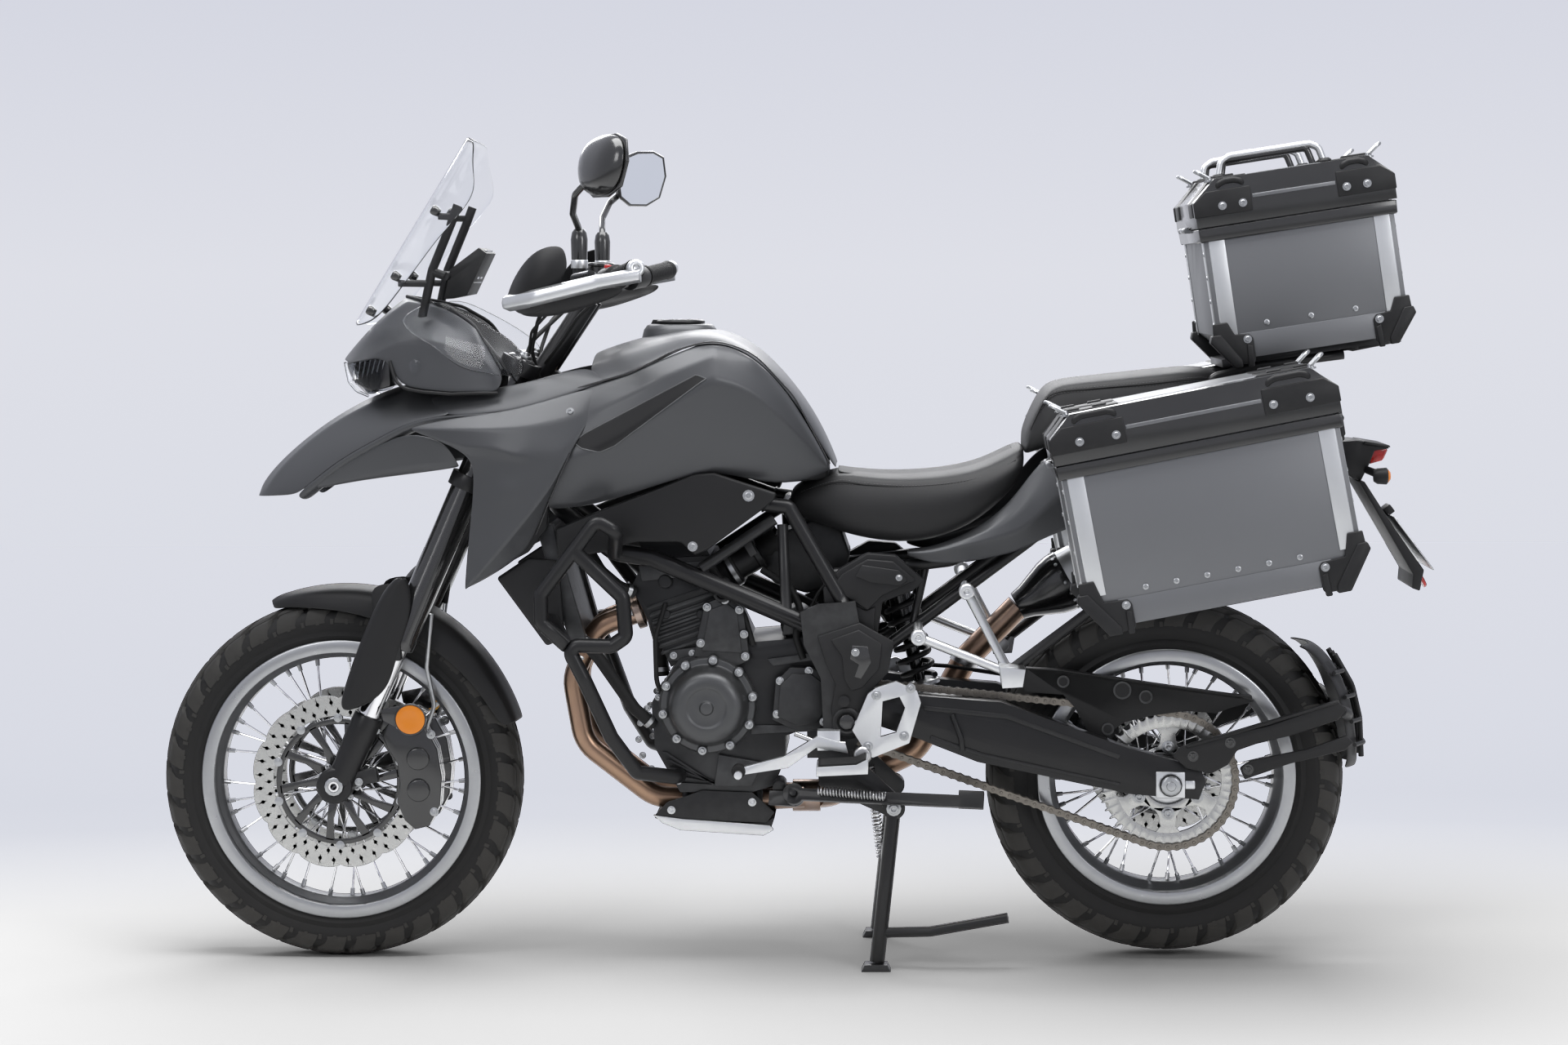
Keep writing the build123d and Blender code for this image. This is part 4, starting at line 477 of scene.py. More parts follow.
class Shape:
    """Gathers forms in millimetres into one mesh."""

    def __init__(self):
        self.mesh = bmesh.new()

    def face(self, corners):
        try:
            return self.mesh.faces.new(corners)
        except ValueError:
            return None

    def ring(self, points):
        return [self.mesh.verts.new(Vector(point)) for point in points]

    def bridge(self, first, second, closed=True):
        count = len(first)
        for index in range(count if closed else count - 1):
            after = (index + 1) % count
            self.face((first[index], first[after], second[after], second[index]))

    def slab(self, near, far):
        """A closed form between two matching outlines."""
        near, far = self.ring(near), self.ring(far)
        self.bridge(near, far)
        self.face(near)
        self.face(list(reversed(far)))
        return self

    def prism(self, outline, y_from, y_to):
        """A plate cut to a side-view outline."""
        return self.slab([(x, y_from, z) for x, z in outline], [(x, y_to, z) for x, z in outline])

    def block(self, origin, right, up, outline, thickness):
        """A plate in any plane: an outline in right and up, thickened along their normal."""
        origin, right, up = Vector(origin), Vector(right).normalized(), Vector(up).normalized()
        normal = right.cross(up)
        corners = [origin + right * a + up * b for a, b in outline]
        return self.slab(corners, [corner + normal * thickness for corner in corners])

    def tube(self, points, radius, bend=0, sides=18, caps=True, flat=1.0):
        """A round or oval bar along a route; radius is a number or one for each end."""
        route = rounded(points, bend) if len(points) > 2 else [Vector(point) for point in points]
        low, high = radius if isinstance(radius, tuple) else (radius, radius)
        across, beside = side_axes((route[1] - route[0]).normalized())
        rings = []
        for index, point in enumerate(route):
            before = route[max(index - 1, 0)]
            after = route[min(index + 1, len(route) - 1)]
            direction = (after - before).normalized()
            across = (across - direction * across.dot(direction)).normalized()
            beside = direction.cross(across)
            size = low + (high - low) * index / (len(route) - 1)
            rings.append(self.ring([point + (across * math.cos(turn) + beside * flat * math.sin(turn)) * size
                for turn in (2 * math.pi * k / sides for k in range(sides))]))
        for first, second in zip(rings, rings[1:]):
            self.bridge(first, second)
        if caps:
            self.face(rings[0])
            self.face(list(reversed(rings[-1])))
        return self

    def lathe(self, profile, centre, axis=(0, 1, 0), steps=72, closed=False):
        """A turned form: profile columns are distance along the axis and radius."""
        centre, axis = Vector(centre), Vector(axis).normalized()
        across, beside = side_axes(axis)
        rings = []
        for along, radius in profile:
            if radius < 0.01:
                rings.append([self.mesh.verts.new(centre + axis * along)])
                continue
            rings.append(self.ring([centre + axis * along + (across * math.cos(turn) + beside
                * math.sin(turn)) * radius for turn in (2 * math.pi * k / steps for k in range(steps))]))
        pairs = list(zip(rings, rings[1:])) + ([(rings[-1], rings[0])] if closed else [])
        for first, second in pairs:
            if len(first) == 1 or len(second) == 1:
                tip, rim = (first, second) if len(first) == 1 else (second, first)
                for index in range(steps if len(rim) > 1 else 0):
                    self.face((tip[0], rim[index], rim[(index + 1) % steps]))
            else:
                self.bridge(first, second)
        return self

    def grid(self, rows, closed=False):
        """A skin through rows of points."""
        made = [self.ring(row) for row in rows]
        for first, second in zip(made, made[1:]):
            self.bridge(first, second, closed)
        return made

    def loft(self, rows):
        """A closed form through rings of points, capped at both ends."""
        made = self.grid(rows, closed=True)
        self.face(made[0])
        self.face(list(reversed(made[-1])))
        return self

    def stepped_box(self, stations):
        """A closed form through upright rectangles: the place, half width, foot and top of each."""
        return self.loft([[(x, -half, low), (x, half, low), (x, half, high), (x, -half, high)]
            for x, half, low, high in stations])

    def bolt(self, place, axis, radius, height=None, sides=6):
        """A fastener head with a chamfer and a socket."""
        height = height or radius * 0.7
        self.lathe([(0, radius * 1.5), (1.0, radius * 1.5), (1.0, radius), (height, radius),
            (height + 0.8, radius * 0.8), (height + 0.8, radius * 0.5), (height - 1.2, radius * 0.45),
            (height - 1.2, 0)], place, axis, steps=sides * 2)
        return self

    def mirrored(self):
        """Adds the copy on the other side of the machine."""
        made = bmesh.ops.duplicate(self.mesh, geom=self.mesh.verts[:] + self.mesh.edges[:]
            + self.mesh.faces[:])
        copies = [item for item in made["geom"] if isinstance(item, bmesh.types.BMVert)]
        for vertex in copies:
            vertex.co.y = -vertex.co.y
        faces = [item for item in made["geom"] if isinstance(item, bmesh.types.BMFace)]
        bmesh.ops.reverse_faces(self.mesh, faces=faces)
        return self

    def done(self, name, finish, body="chassis", replaces=(), bevel=0, segments=2, smooth=0, thickness=0,
            angle=32, slot=None, crease_angle=None):
        """The finished piece: cleaned, rounded, smoothed, given its finish and put on its body."""
        bmesh.ops.remove_doubles(self.mesh, verts=self.mesh.verts, dist=WELD)
        bmesh.ops.recalc_face_normals(self.mesh, faces=self.mesh.faces)
        if crease_angle is not None:
            layer = self.mesh.edges.layers.float.new("crease_edge")
            for edge in self.mesh.edges:
                if len(edge.link_faces) == 2 and edge.calc_face_angle(0) > math.radians(crease_angle):
                    edge[layer] = CREASE
        bmesh.ops.scale(self.mesh, vec=(MM, MM, MM), verts=self.mesh.verts)
        data = bpy.data.meshes.new(name)
        self.mesh.to_mesh(data)
        self.mesh.free()
        return place(data, name, finish, body, replaces, bevel, segments, smooth, thickness, angle, slot)


def place(data, name, finish, body, replaces=(), bevel=0, segments=2, smooth=0, thickness=0, angle=32,
        slot=None):
    """Makes a mesh into a piece of the machine, with its modifiers applied."""
    piece = bpy.data.objects.new(name, data)
    bpy.context.scene.collection.objects.link(piece)
    data.materials.clear()
    data.materials.append(MATERIALS[finish])
    if thickness:
        wall = piece.modifiers.new("Wall", "SOLIDIFY")
        wall.thickness = thickness * MM
        wall.offset = -1
        wall.use_even_offset = True
    if smooth:
        division = piece.modifiers.new("Smooth", "SUBSURF")
        division.levels = division.render_levels = smooth
    if bevel:
        edge = piece.modifiers.new("Edges", "BEVEL")
        edge.width = bevel * MM
        edge.segments = segments
        edge.limit_method = "ANGLE"
        edge.angle_limit = math.radians(angle)
        edge.harden_normals = False
    if thickness or smooth or bevel:
        graph = bpy.context.evaluated_depsgraph_get()
        final = bpy.data.meshes.new_from_object(piece.evaluated_get(graph))
        piece.modifiers.clear()
        piece.data = final
        bpy.data.meshes.remove(data)
        final.name = name
    piece.data.shade_smooth()
    if not smooth or bevel:
        piece.data.set_sharp_from_angle(angle=math.radians(SHARP_WHEN_ROUNDED if bevel else max(angle, 30)))
    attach(piece, body)
    if replaces:
        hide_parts(*([replaces] if isinstance(replaces, str) else replaces))
    slot = slot or STAND_INS.get(finish)
    return piece


# The record's slot that covers each extra finish; the ones not listed are bare metal
COVERED_BY = {
    "plastic_black": ("gloss_black", "lamp_dark", "kill_red", "panel_print"),
    "engine_black": ("engine_dark", "cover_grey"),
    "seat_black": ("seat_ribbed", "thread"),
    "lamp_glass": ("lamp_smoke", "lamp_chrome"),
    "lens_red": ("lens_orange",),
    "rim_silver": ("rim_edge",),
    "tyre_black": ("tread_black",),
}
STAND_INS = {finish: slot for slot, finishes in COVERED_BY.items() for finish in finishes}


def dressed(node, finish, bevel=0, angle=32, slot=None, replaced=True):
    """A CAD node's own form, with clean faces and rounded edges, that stands for it."""
    mesh = bmesh.new()
    mesh.from_mesh(frame["nodes"][node].data)
    bmesh.ops.remove_doubles(mesh, verts=mesh.verts, dist=0.00002)
    bmesh.ops.dissolve_limit(mesh, angle_limit=math.radians(2), verts=mesh.verts, edges=mesh.edges)
    data = bpy.data.meshes.new(node + "_dressed")
    mesh.to_mesh(data)
    mesh.free()
    body = frame["nodes"][node]["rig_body"]
    return place(data, node + "_dressed", finish, body, (node,) if replaced else (), bevel=bevel, angle=angle,
        slot=slot)


def between(low, high, share):
    return low + (high - low) * share


def moulding(name, rows, finish="panel_grey", body="chassis", **settings):
    """A thin skin through rows of points, with its mirror image on the other side."""
    skin = Shape()
    skin.grid(rows)
    return skin.mirrored().done(name, finish, body, **settings)


# Wheels

def turn_about(axle, radius, angle, y=0.0):
    return Vector((axle.x + radius * math.cos(angle), axle.y + y, axle.z + radius * math.sin(angle)))


# How far round its section a carcass reaches, from the crown to the rim
CARCASS_TURN = math.radians(118)
# Columns: inner y and outer y as shares of the half width, start and length in pitches, skew
TREAD_BLOCKS = [(0.03, 0.30, 0.06, 0.78, 0.34), (0.35, 0.64, 0.30, 0.74, 0.46),
    (0.69, 0.985, 0.62, 0.66, 0.34)]


def make_tyre(name, axle, radius, half_width, rim_radius):
    """A road-biased block tyre: rounded carcass with long slanted blocks that run down the shoulders."""
    knob = sizes().knob_height / MM
    pitches = sizes().tread_pitches
    flange = rim_radius + 16
    base = radius - knob
    bead = half_width - 12
    carcass = Shape()
    profile = [(-bead, rim_radius + 1), (-bead - 1, flange + 2), (-bead - 6, flange + 9)]

    def height(turn):
        """Radius of the carcass at a turn from its crown."""
        drop = (1 - math.cos(turn)) / (1 - math.cos(CARCASS_TURN))
        return base - drop ** 1.15 * (base - flange - 18)

    sweep = 14
    for step in range(sweep + 1):
        turn = (-1 + 2 * step / sweep) * CARCASS_TURN
        profile.append(((half_width - 1) * math.sin(turn), height(turn)))
    profile += [(bead + 6, flange + 9), (bead + 1, flange + 2), (bead, rim_radius + 1)]
    carcass.lathe(profile, axle, steps=128, closed=True)
    tread = Shape()

    def crown(y):
        """Radius of the carcass at a distance from its middle."""
        return height(math.asin(max(-1, min(1, y / (half_width - 1)))))

    pitch = 2 * math.pi / pitches
    for index in range(pitches):
        for flank in BOTH:
            for inner, outer, start, length, skew in TREAD_BLOCKS:
                shift = 0.5 if flank > 0 else 0
                rings = []
                for row in range(4):
                    y = between(inner, outer, row / 3) * half_width
                    first = (index + shift + start + skew * row / 3) * pitch
                    last = first + length * pitch
                    edge = 0.75 if row in (0, 3) else 1.0
                    top = crown(y) + knob * edge
                    low = crown(y) - 1.5
                    ring = []
                    for reach, size in ((low, 0.0), (top, 0.035), (top, 0.5), (top, 0.965), (low, 1.0)):
                        angle = between(first, last, size)
                        ring.append(turn_about(axle, reach, angle, flank * y))
                    rings.append(ring)
                tread.loft(rings)
    # Rows of fine bars on the side walls
    for index in range(pitches * 2):
        for flank in BOTH:
            angle = (index + 0.3) * pitch / 2
            y = flank * half_width * 0.985
            r = crown(y * 0.97) - 12
            tread.loft([[turn_about(axle, r + dr, angle + da, y - flank * dy)
                for dr, dy in ((0, 3), (0, -1.0), (9, -0.2), (9, 3))] for da in (0, pitch * 0.11)])
    body = name.replace("_tyre", "_wheel")
    carcass.done(name + "_carcass", "tyre_black", body, replaces=name)
    tread.done(name + "_tread", "tread_black", body, angle=40)


def make_rim(name, axle, half_width, rim_radius, hub_half, hub_radius, pairs, sweep, passing=3.0):
    """Anodised rim with bright flanges, turned hub, crossed spokes with nipples."""
    body = name.replace("_rim", "_wheel")
    bead = half_width - 12
    flange = rim_radius + 16
    rim = Shape()
    rim.lathe([(0, rim_radius - 18), (bead * 0.35, rim_radius - 18), (bead * 0.5, rim_radius - 12),
        (bead * 0.62, rim_radius - 6), (bead + 2, rim_radius - 5), (bead + 2, rim_radius),
        (bead * 0.5, rim_radius + 0.4), (bead * 0.35, rim_radius - 12), (-bead * 0.35, rim_radius - 12),
        (-bead * 0.5, rim_radius + 0.4), (-bead - 2, rim_radius), (-bead - 2, rim_radius - 5),
        (-bead * 0.62, rim_radius - 6), (-bead * 0.5, rim_radius - 12), (-bead * 0.35, rim_radius - 18)],
        axle, steps=128, closed=True)
    rim.done(name + "_band", "rim_silver", body, replaces=name, bevel=1.0)
    edge = Shape()
    for flank in BOTH:
        edge.lathe([(flank * (bead + 0.5), rim_radius - 7), (flank * (bead + 4.5), rim_radius - 6.5),
            (flank * (bead + 5), flange - 3), (flank * (bead + 3.5), flange), (flank * (bead + 0.5), flange)],
            axle, steps=128, closed=True)
    edge.done(name + "_flanges", "rim_edge", body, bevel=0.8)
    hub = Shape()
    inner = hub_radius - 13
    profile = []
    for flank in BOTH:
        side = [(flank * (hub_half - 1), inner - 6), (flank * (hub_half - 1), inner),
            (flank * (hub_half - 12), inner + 1), (flank * (hub_half - 13.5), hub_radius - 1),
            (flank * (hub_half - 19), hub_radius), (flank * (hub_half - 24), hub_radius - 9),
            (flank * (hub_half - 38), inner - 4)]
        profile += side if flank < 0 else list(reversed(side))
    hub.lathe(profile, axle, steps=64)
    hub.done(name + "_hub", "fork_black", body, bevel=0.8, slot="frame_black")
    spokes, nipples = Shape(), Shape()
    for index in range(pairs * 2):
        flank = 1 if index % 2 else -1
        lead = 1 if index % 4 < 2 else -1
        start = index * math.pi / pairs
        end = start + lead * math.radians(sweep)
        foot = turn_about(axle, hub_radius - 4, start, flank * (hub_half - 16.5) + lead * passing)
        head = turn_about(axle, rim_radius - 14, end, flank * 7 + lead * passing)
        spokes.tube([foot, head], 1.7, sides=8)
        way = (head - foot).normalized()
        nipples.tube([head - way * 16, head + way * 4], (3.4, 4.4), sides=8)
        nipples.tube([foot - way * 3, foot + way * 3], 3.6, sides=8)
    spokes.done(name + "_spokes", "chrome", body, slot="rim_silver")
    nipples.done(name + "_nipples", "rim_edge", body)


def petal(radius, depth, waves, angle):
    """Outer radius of a petal disc at an angle: broad lobes with narrow dips."""
    wave = abs(math.sin(waves * angle / 2))
    return radius - depth * (1 - wave ** 0.55)


def disc_plate(shape, axle, y, radius, inner, waves, holes):
    """A petal disc pierced by rings of holes: built as cells between the rings so that each hole is open."""
    size = sizes().disc_hole / MM / 2
    half = 2.3
    band = (radius - 6 - inner) / len(holes)
    for row, (count, shift) in enumerate(holes):
        low = inner + row * band
        high = inner + (row + 1) * band
        for cell in range(count):
            middle = (cell + shift) * 2 * math.pi / count
            a0, a1 = middle - math.pi / count, middle + math.pi / count
            centre = (low + high) / 2
            faces = []
            steps = 4
            outline = [(low, between(a0, a1, k / steps)) for k in range(steps + 1)]
            for k in range(steps + 1):
                angle = between(a1, a0, k / steps)
                outline.append((petal(radius, 7, waves, angle) if row == len(holes) - 1 else high, angle))
            for flank in BOTH:
                ring = shape.ring([turn_about(axle, r, a, y + flank * half) for r, a in outline])
                hole = shape.ring([turn_about(axle, 0, 0, y + flank * half)
                    + Vector((math.cos(middle), 0, math.sin(middle))) * centre
                    + Vector((math.cos(t), 0, math.sin(t))) * size
                    for t in (middle + math.pi + k * 2 * math.pi / len(outline) - math.radians(38)
                    for k in range(len(outline)))])
                faces.append((ring, hole))
                shape.bridge(ring, hole)
            (ring_a, hole_a), (ring_b, hole_b) = faces
            shape.bridge(hole_a, hole_b)
            if row == 0:
                shape.bridge(ring_a[:steps + 1], ring_b[:steps + 1], closed=False)
            if row == len(holes) - 1:
                shape.bridge(ring_a[steps + 1:], ring_b[steps + 1:], closed=False)


def arm_section(axle, radius, angle, spread, y, half):
    """Four corners of a spoke cut across at a radius."""
    middle = turn_about(axle, radius, angle)
    beside = Vector((-math.sin(angle), 0, math.cos(angle)))
    return [middle + beside * s * spread + Vector((0, y + h * half, 0))
        for s, h in ((-1, -1), (1, -1), (1, 1), (-1, 1))]


def carrier(shape, axle, y, inner, outer, arms, hub, half=3.0):
    """A dark spider: a ring of lugs on sloping arms round the hub."""
    shape.lathe([(y - half, hub), (y + half, hub), (y + half, hub + 14), (y - half, hub + 14)], axle,
        steps=48, closed=True)
    shape.lathe([(y - half, inner - 10), (y + half, inner - 10), (y + half, inner), (y - half, inner)], axle,
        steps=72, closed=True)
    for index in range(arms):
        angle = index * 2 * math.pi / arms
        shape.loft([arm_section(axle, radius, angle + lean, spread, y, half)
            for radius, spread, lean in ((hub + 8, 9, 0.0), ((hub + inner) / 2, 5.5, 0.06),
            (inner - 6, 8, 0.14))])


def make_discs():
    """Petal discs with their spiders and floating pins."""
    front, spider, pins = Shape(), Shape(), Shape()
    low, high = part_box("front_discs")
    lane = high.y / MM - 2.5
    for flank in BOTH:
        disc_plate(front, FRONT_AXLE, flank * lane, 160, 121, 12, [(36, 0.0), (36, 0.5)])
        carrier(spider, FRONT_AXLE, flank * (lane - 1), 116, 120, 10, 22)
        spider.lathe([(flank * (lane - 14), 28), (flank * (lane + 3), 28), (flank * (lane + 3), 18),
            (flank * (lane - 14), 18)], FRONT_AXLE, steps=48, closed=True)
        for index in range(10):
            angle = (index + 0.5) * math.pi / 5
            place_at = turn_about(FRONT_AXLE, 117, angle, flank * lane)
            pins.lathe([(-4, 0), (-4, 8), (4, 8), (4, 0)], place_at, steps=16)
            pins.lathe([(-4.6, 0), (-4.6, 4.5), (4.6, 4.5), (4.6, 0)], place_at, steps=12)
            pins.bolt(turn_about(FRONT_AXLE, 34, angle, flank * (lane + 3)), (0, flank, 0), 4)
    front.done("front_disc_rings", "disc_steel", "front_wheel", replaces="front_discs")
    spider.done("front_disc_spiders", "fork_black", "front_wheel", bevel=0.8, slot="frame_black")
    pins.done("front_disc_pins", "zinc", "front_wheel", bevel=0.4)
    rear, rear_spider = Shape(), Shape()
    low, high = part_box("rear_disc")
    lane = high.y / MM - 2.5
    disc_plate(rear, REAR_AXLE, lane, 130, 92, 10, [(30, 0.0), (30, 0.5)])
    carrier(rear_spider, REAR_AXLE, lane, 94, 96, 5, 26)
    rear.done("rear_disc_ring", "disc_steel", "rear_wheel", replaces="rear_disc")
    rear_spider.lathe([(81, 30), (lane, 30), (lane, 14), (81, 14)], REAR_AXLE, steps=40, closed=True)
    rear_spider.done("rear_disc_spider", "fork_black", "rear_wheel", bevel=0.8, slot="frame_black")


# Drive chain

PITCH = 15.875
REAR_TEETH = 48
FRONT_TEETH = 16
CHAIN_LINE = -98
FRONT_SPROCKET = Vector((30, 0, 486))
REAR_PITCH = PITCH / (2 * math.sin(math.pi / REAR_TEETH))
FRONT_PITCH = PITCH / (2 * math.sin(math.pi / FRONT_TEETH))


def chain_route():
    """Places of the chain's pins: in the gaps of the rear wheel, then evenly along the rest of the loop."""
    run = FRONT_SPROCKET - Vector((REAR_AXLE.x, 0, REAR_AXLE.z))
    heading = math.atan2(run.z, run.x)
    wrap = math.acos((REAR_PITCH - FRONT_PITCH) / run.length)
    step = 2 * math.pi / REAR_TEETH
    first = math.ceil((heading + wrap) / step)
    last = math.floor((heading - wrap + 2 * math.pi) / step)
    straight = run.length * math.sin(wrap)
    start = heading - wrap
    stretches = [
        ("rear", (start + 2 * math.pi) - last * step, last * step),
        ("top", straight, start), ("front", 2 * wrap, start), ("low", straight, heading + wrap),
        ("rear", first * step - (heading + wrap), heading + wrap),
    ]
    lengths = [size * {"rear": REAR_PITCH, "front": FRONT_PITCH}.get(kind, 1) for kind, size, _ in stretches]
    total = sum(lengths)
    count = round(total / PITCH)
    places = [turn_about(REAR_AXLE, REAR_PITCH, k * step) for k in range(first, last + 1)]
    for index in range(1, count):
        along = index * total / count
        for (kind, size, angle), length in zip(stretches, lengths):
            if along <= length:
                break
            along -= length
        if kind == "rear":
            places.append(turn_about(REAR_AXLE, REAR_PITCH, angle + along / REAR_PITCH))
        elif kind == "front":
            places.append(turn_about(FRONT_SPROCKET, FRONT_PITCH, angle + along / FRONT_PITCH))
        else:
            rear = turn_about(REAR_AXLE, REAR_PITCH, angle)
            front = turn_about(FRONT_SPROCKET, FRONT_PITCH, angle)
            low, high = (rear, front) if kind == "top" else (front, rear)
            places.append(low.lerp(high, along / straight))
    return places


def link_outline(first, second, half):
    """A waisted figure-of-eight plate round two pins."""
    way = (second - first).normalized()
    beside = Vector((-way.z, 0, way.x))
    points = []
    for pin, lead in ((second, 1), (first, -1)):
        for k in range(7):
            turn = math.radians(-78 + k * 26)
            points.append(pin + (way * math.cos(turn) * lead + beside * math.sin(turn) * lead) * half)
        points.append((first + second) / 2 + beside * lead * half * 0.72)
    return [(point.x, point.z) for point in points]


def make_chain():
    """Every link: outer and inner plates in turn, rollers and riveted pins."""
    places = chain_route()
    plates, pins = Shape(), Shape()
    for index, pin in enumerate(places):
        after = places[(index + 1) % len(places)]
        outer = index % 2 == 0
        for flank in BOTH:
            near = CHAIN_LINE + flank * (7.2 if outer else 4.9)
            plates.prism(link_outline(pin, after, 6.8 if outer else 7.3), near - 1.0, near + 1.0)
        pins.lathe([(CHAIN_LINE - 9.6, 0), (CHAIN_LINE - 9.6, 2.2), (CHAIN_LINE - 8.6, 2.9),
            (CHAIN_LINE - 4, 2.9), (CHAIN_LINE - 4, 4.9), (CHAIN_LINE + 4, 4.9), (CHAIN_LINE + 4, 2.9),
            (CHAIN_LINE + 8.6, 2.9), (CHAIN_LINE + 9.6, 2.2), (CHAIN_LINE + 9.6, 0)], pin, steps=10)
    plates.done("chain_plates", "chain_steel", replaces="chain")
    pins.done("chain_pins", "chain_steel", angle=50)


def toothed(shape, axle, pitch_radius, teeth, y_from, y_to, inner):
    """A chain wheel's rim: rounded gaps, chamfered teeth."""
    rows = []
    for y, cut in ((y_from, 2.0), (between(y_from, y_to, 0.25), 0.0), (between(y_from, y_to, 0.75), 0.0),
            (y_to, 2.0)):
        ring = []
        for k in range(teeth):
            for share, radius in ((-0.34, -3.6), (-0.18, -5.6), (0, -6.1), (0.18, -5.6), (0.34, -3.6),
                    (0.44, 3.6), (0.5, 5.0), (0.56, 3.6)):
                size = pitch_radius + radius - (cut if radius > 0 else 0)
                ring.append(turn_about(axle, size, (k + share) * 2 * math.pi / teeth, y))
        rows.append(ring)
    made = shape.grid(rows, closed=True)
    for ring, y in ((made[0], y_from), (made[-1], y_to)):
        count = len(ring)
        inside = shape.ring([turn_about(axle, inner, (k / count - 0.34 / teeth) * 2 * math.pi, y)
            for k in range(count)])
        shape.bridge(ring, inside)
        if y == y_from:
            first = inside
        else:
            shape.bridge(first, inside)


def make_rear_sprocket():
    """Toothed ring, five-armed dark carrier and its bolts."""
    ring, arms, bolts = Shape(), Shape(), Shape()
    toothed(ring, REAR_AXLE, REAR_PITCH, REAR_TEETH, CHAIN_LINE - 3.2, CHAIN_LINE + 3.2, 96)
    for index in range(6):
        angle = (index + 0.5) * math.pi / 3
        ring.loft([arm_section(REAR_AXLE, radius, angle, spread, CHAIN_LINE, 3)
            for radius, spread in ((97, 24), (84, 13), (66, 15), (50, 26))])
        bolts.bolt(turn_about(REAR_AXLE, 60, angle, CHAIN_LINE - 4), (0, -1, 0), 8, 6)
    ring.lathe([(CHAIN_LINE - 3, 44), (CHAIN_LINE + 3, 44), (CHAIN_LINE + 3, 58), (CHAIN_LINE - 3, 58)],
        REAR_AXLE, closed=True)
    arms.lathe([(-81, 16), (-81, 58), (-88, 62), (-94, 60), (-94, 30), (-99, 27), (-99, 16)], REAR_AXLE,
        closed=True)
    ring.done("rear_sprocket_ring", "disc_steel", "rear_wheel", replaces="rear_sprocket", bevel=0.4)
    arms.done("rear_sprocket_hub", "silver_cast", "rear_wheel", bevel=1)
    bolts.done("rear_sprocket_bolts", "zinc", "rear_wheel", bevel=0.4)


# Painted panels

# Middle of the filler, on the ground below it
FILLER = (-190, 0, 0)

# Columns: x of the station, then y and z at the seam, shoulder, crease, waist, flank and lower edge
TANK_SIDE = [
    (-420, (172, 1032), (205, 985), (221, 922), (216, 880), (196, 842), (176, 832)),
    (-345, (186, 1055), (219, 1005), (237, 932), (222, 888), (201, 850), (184, 838)),
    (-268, (194, 1076), (226, 1038), (240, 972), (222, 915), (201, 875), (183, 860)),
    (-190, (191, 1115), (222, 1080), (238, 1026), (217, 955), (196, 905), (178, 886)),
    (-120, (178, 1136), (208, 1108), (227, 1066), (205, 975), (184, 920), (168, 900)),
    (-50, (160, 1110), (184, 1088), (200, 1050), (184, 965), (165, 905), (150, 880)),
    (20, (130, 1032), (150, 1012), (160, 975), (150, 925), (137, 890), (126, 872)),
    (83, (98, 909), (106, 906), (110, 903), (110, 900), (106, 898), (102, 896)),
]

# Columns: x of the station, then y and z from the middle out to the seam
TANK_TOP = [
    (-345, (0, 1112), (80, 1104), (148, 1082), (186, 1056)),
    (-268, (0, 1137), (85, 1130), (152, 1108), (194, 1077)),
    (-190, (0, 1152), (85, 1150), (150, 1141), (191, 1116)),
    (-120, (0, 1155), (80, 1153), (140, 1149), (178, 1137)),
    (-50, (0, 1124), (75, 1123), (128, 1119), (160, 1111)),
    (20, (0, 1048), (64, 1047), (105, 1043), (130, 1033)),
    (66, (0, 978), (54, 977), (86, 970), (108, 950)),
    (97, (0, 902), (40, 902), (70, 901), (92, 899)),
]

# Columns: x and z along the inlay's upper and lower edges
INLAY_TOP = [(-366, 957), (-346, 972), (-149, 1074), (-131, 1067)]
INLAY_FOOT = [(-366, 957), (-352, 946), (-319, 939), (-293, 950), (-146, 1057), (-131, 1067)]

# Rows from the top edge down; columns from the front point to the rear edge
WING = [
    [(-662, 168, 984), (-572, 185, 1003), (-480, 197, 1013), (-392, 193, 1039), (-312, 188, 1062)],
    [(-665, 171, 979), (-580, 204, 979), (-480, 226, 980), (-400, 227, 990), (-330, 216, 1012)],
    [(-660, 171, 974), (-566, 207, 950), (-475, 235, 945), (-388, 240, 947), (-352, 230, 968)],
    [(-553, 206, 939), (-548, 206, 930), (-470, 234, 925), (-384, 241, 920), (-371, 236, 938)],
    [(-545, 204, 900), (-545, 204, 899), (-478, 232, 893), (-400, 240, 886), (-390, 236, 897)],
    [(-549, 201, 850), (-549, 201, 849), (-495, 226, 846), (-432, 236, 844), (-413, 220, 846)],
    [(-556, 199, 790), (-556, 199, 789), (-520, 214, 790), (-477, 229, 792), (-436, 202, 792)],
    [(-561, 198, 740), (-561, 198, 739), (-545, 205, 741), (-521, 217, 743), (-458, 192, 752)],
    [(-565, 197, 694), (-565, 197, 693), (-564, 199, 694), (-560, 200, 697), (-542, 190, 703)],
]

# Rows from the front edge back; columns from the ridge out to the crease
BEAK = [
    [(-978, 0, 849), (-956, 35, 850), (-917, 72, 854), (-881, 97, 858)],
    [(-939, 0, 904), (-925, 40, 900), (-890, 80, 888), (-856, 104, 878)],
    [(-875, 0, 959), (-865, 42, 954), (-835, 84, 936), (-805, 112, 918)],
    [(-826, 0, 993), (-815, 45, 988), (-785, 90, 966), (-755, 121, 946)],
    [(-777, 0, 1021), (-765, 48, 1015), (-738, 94, 990), (-712, 130, 968)],
    [(-727, 0, 1043), (-716, 50, 1036), (-695, 98, 1008), (-676, 140, 986)],
    [(-678, 0, 1058), (-668, 52, 1052), (-648, 103, 1026), (-628, 152, 999)],
    [(-640, 0, 1060), (-630, 56, 1056), (-608, 110, 1036), (-580, 168, 1004)],
]

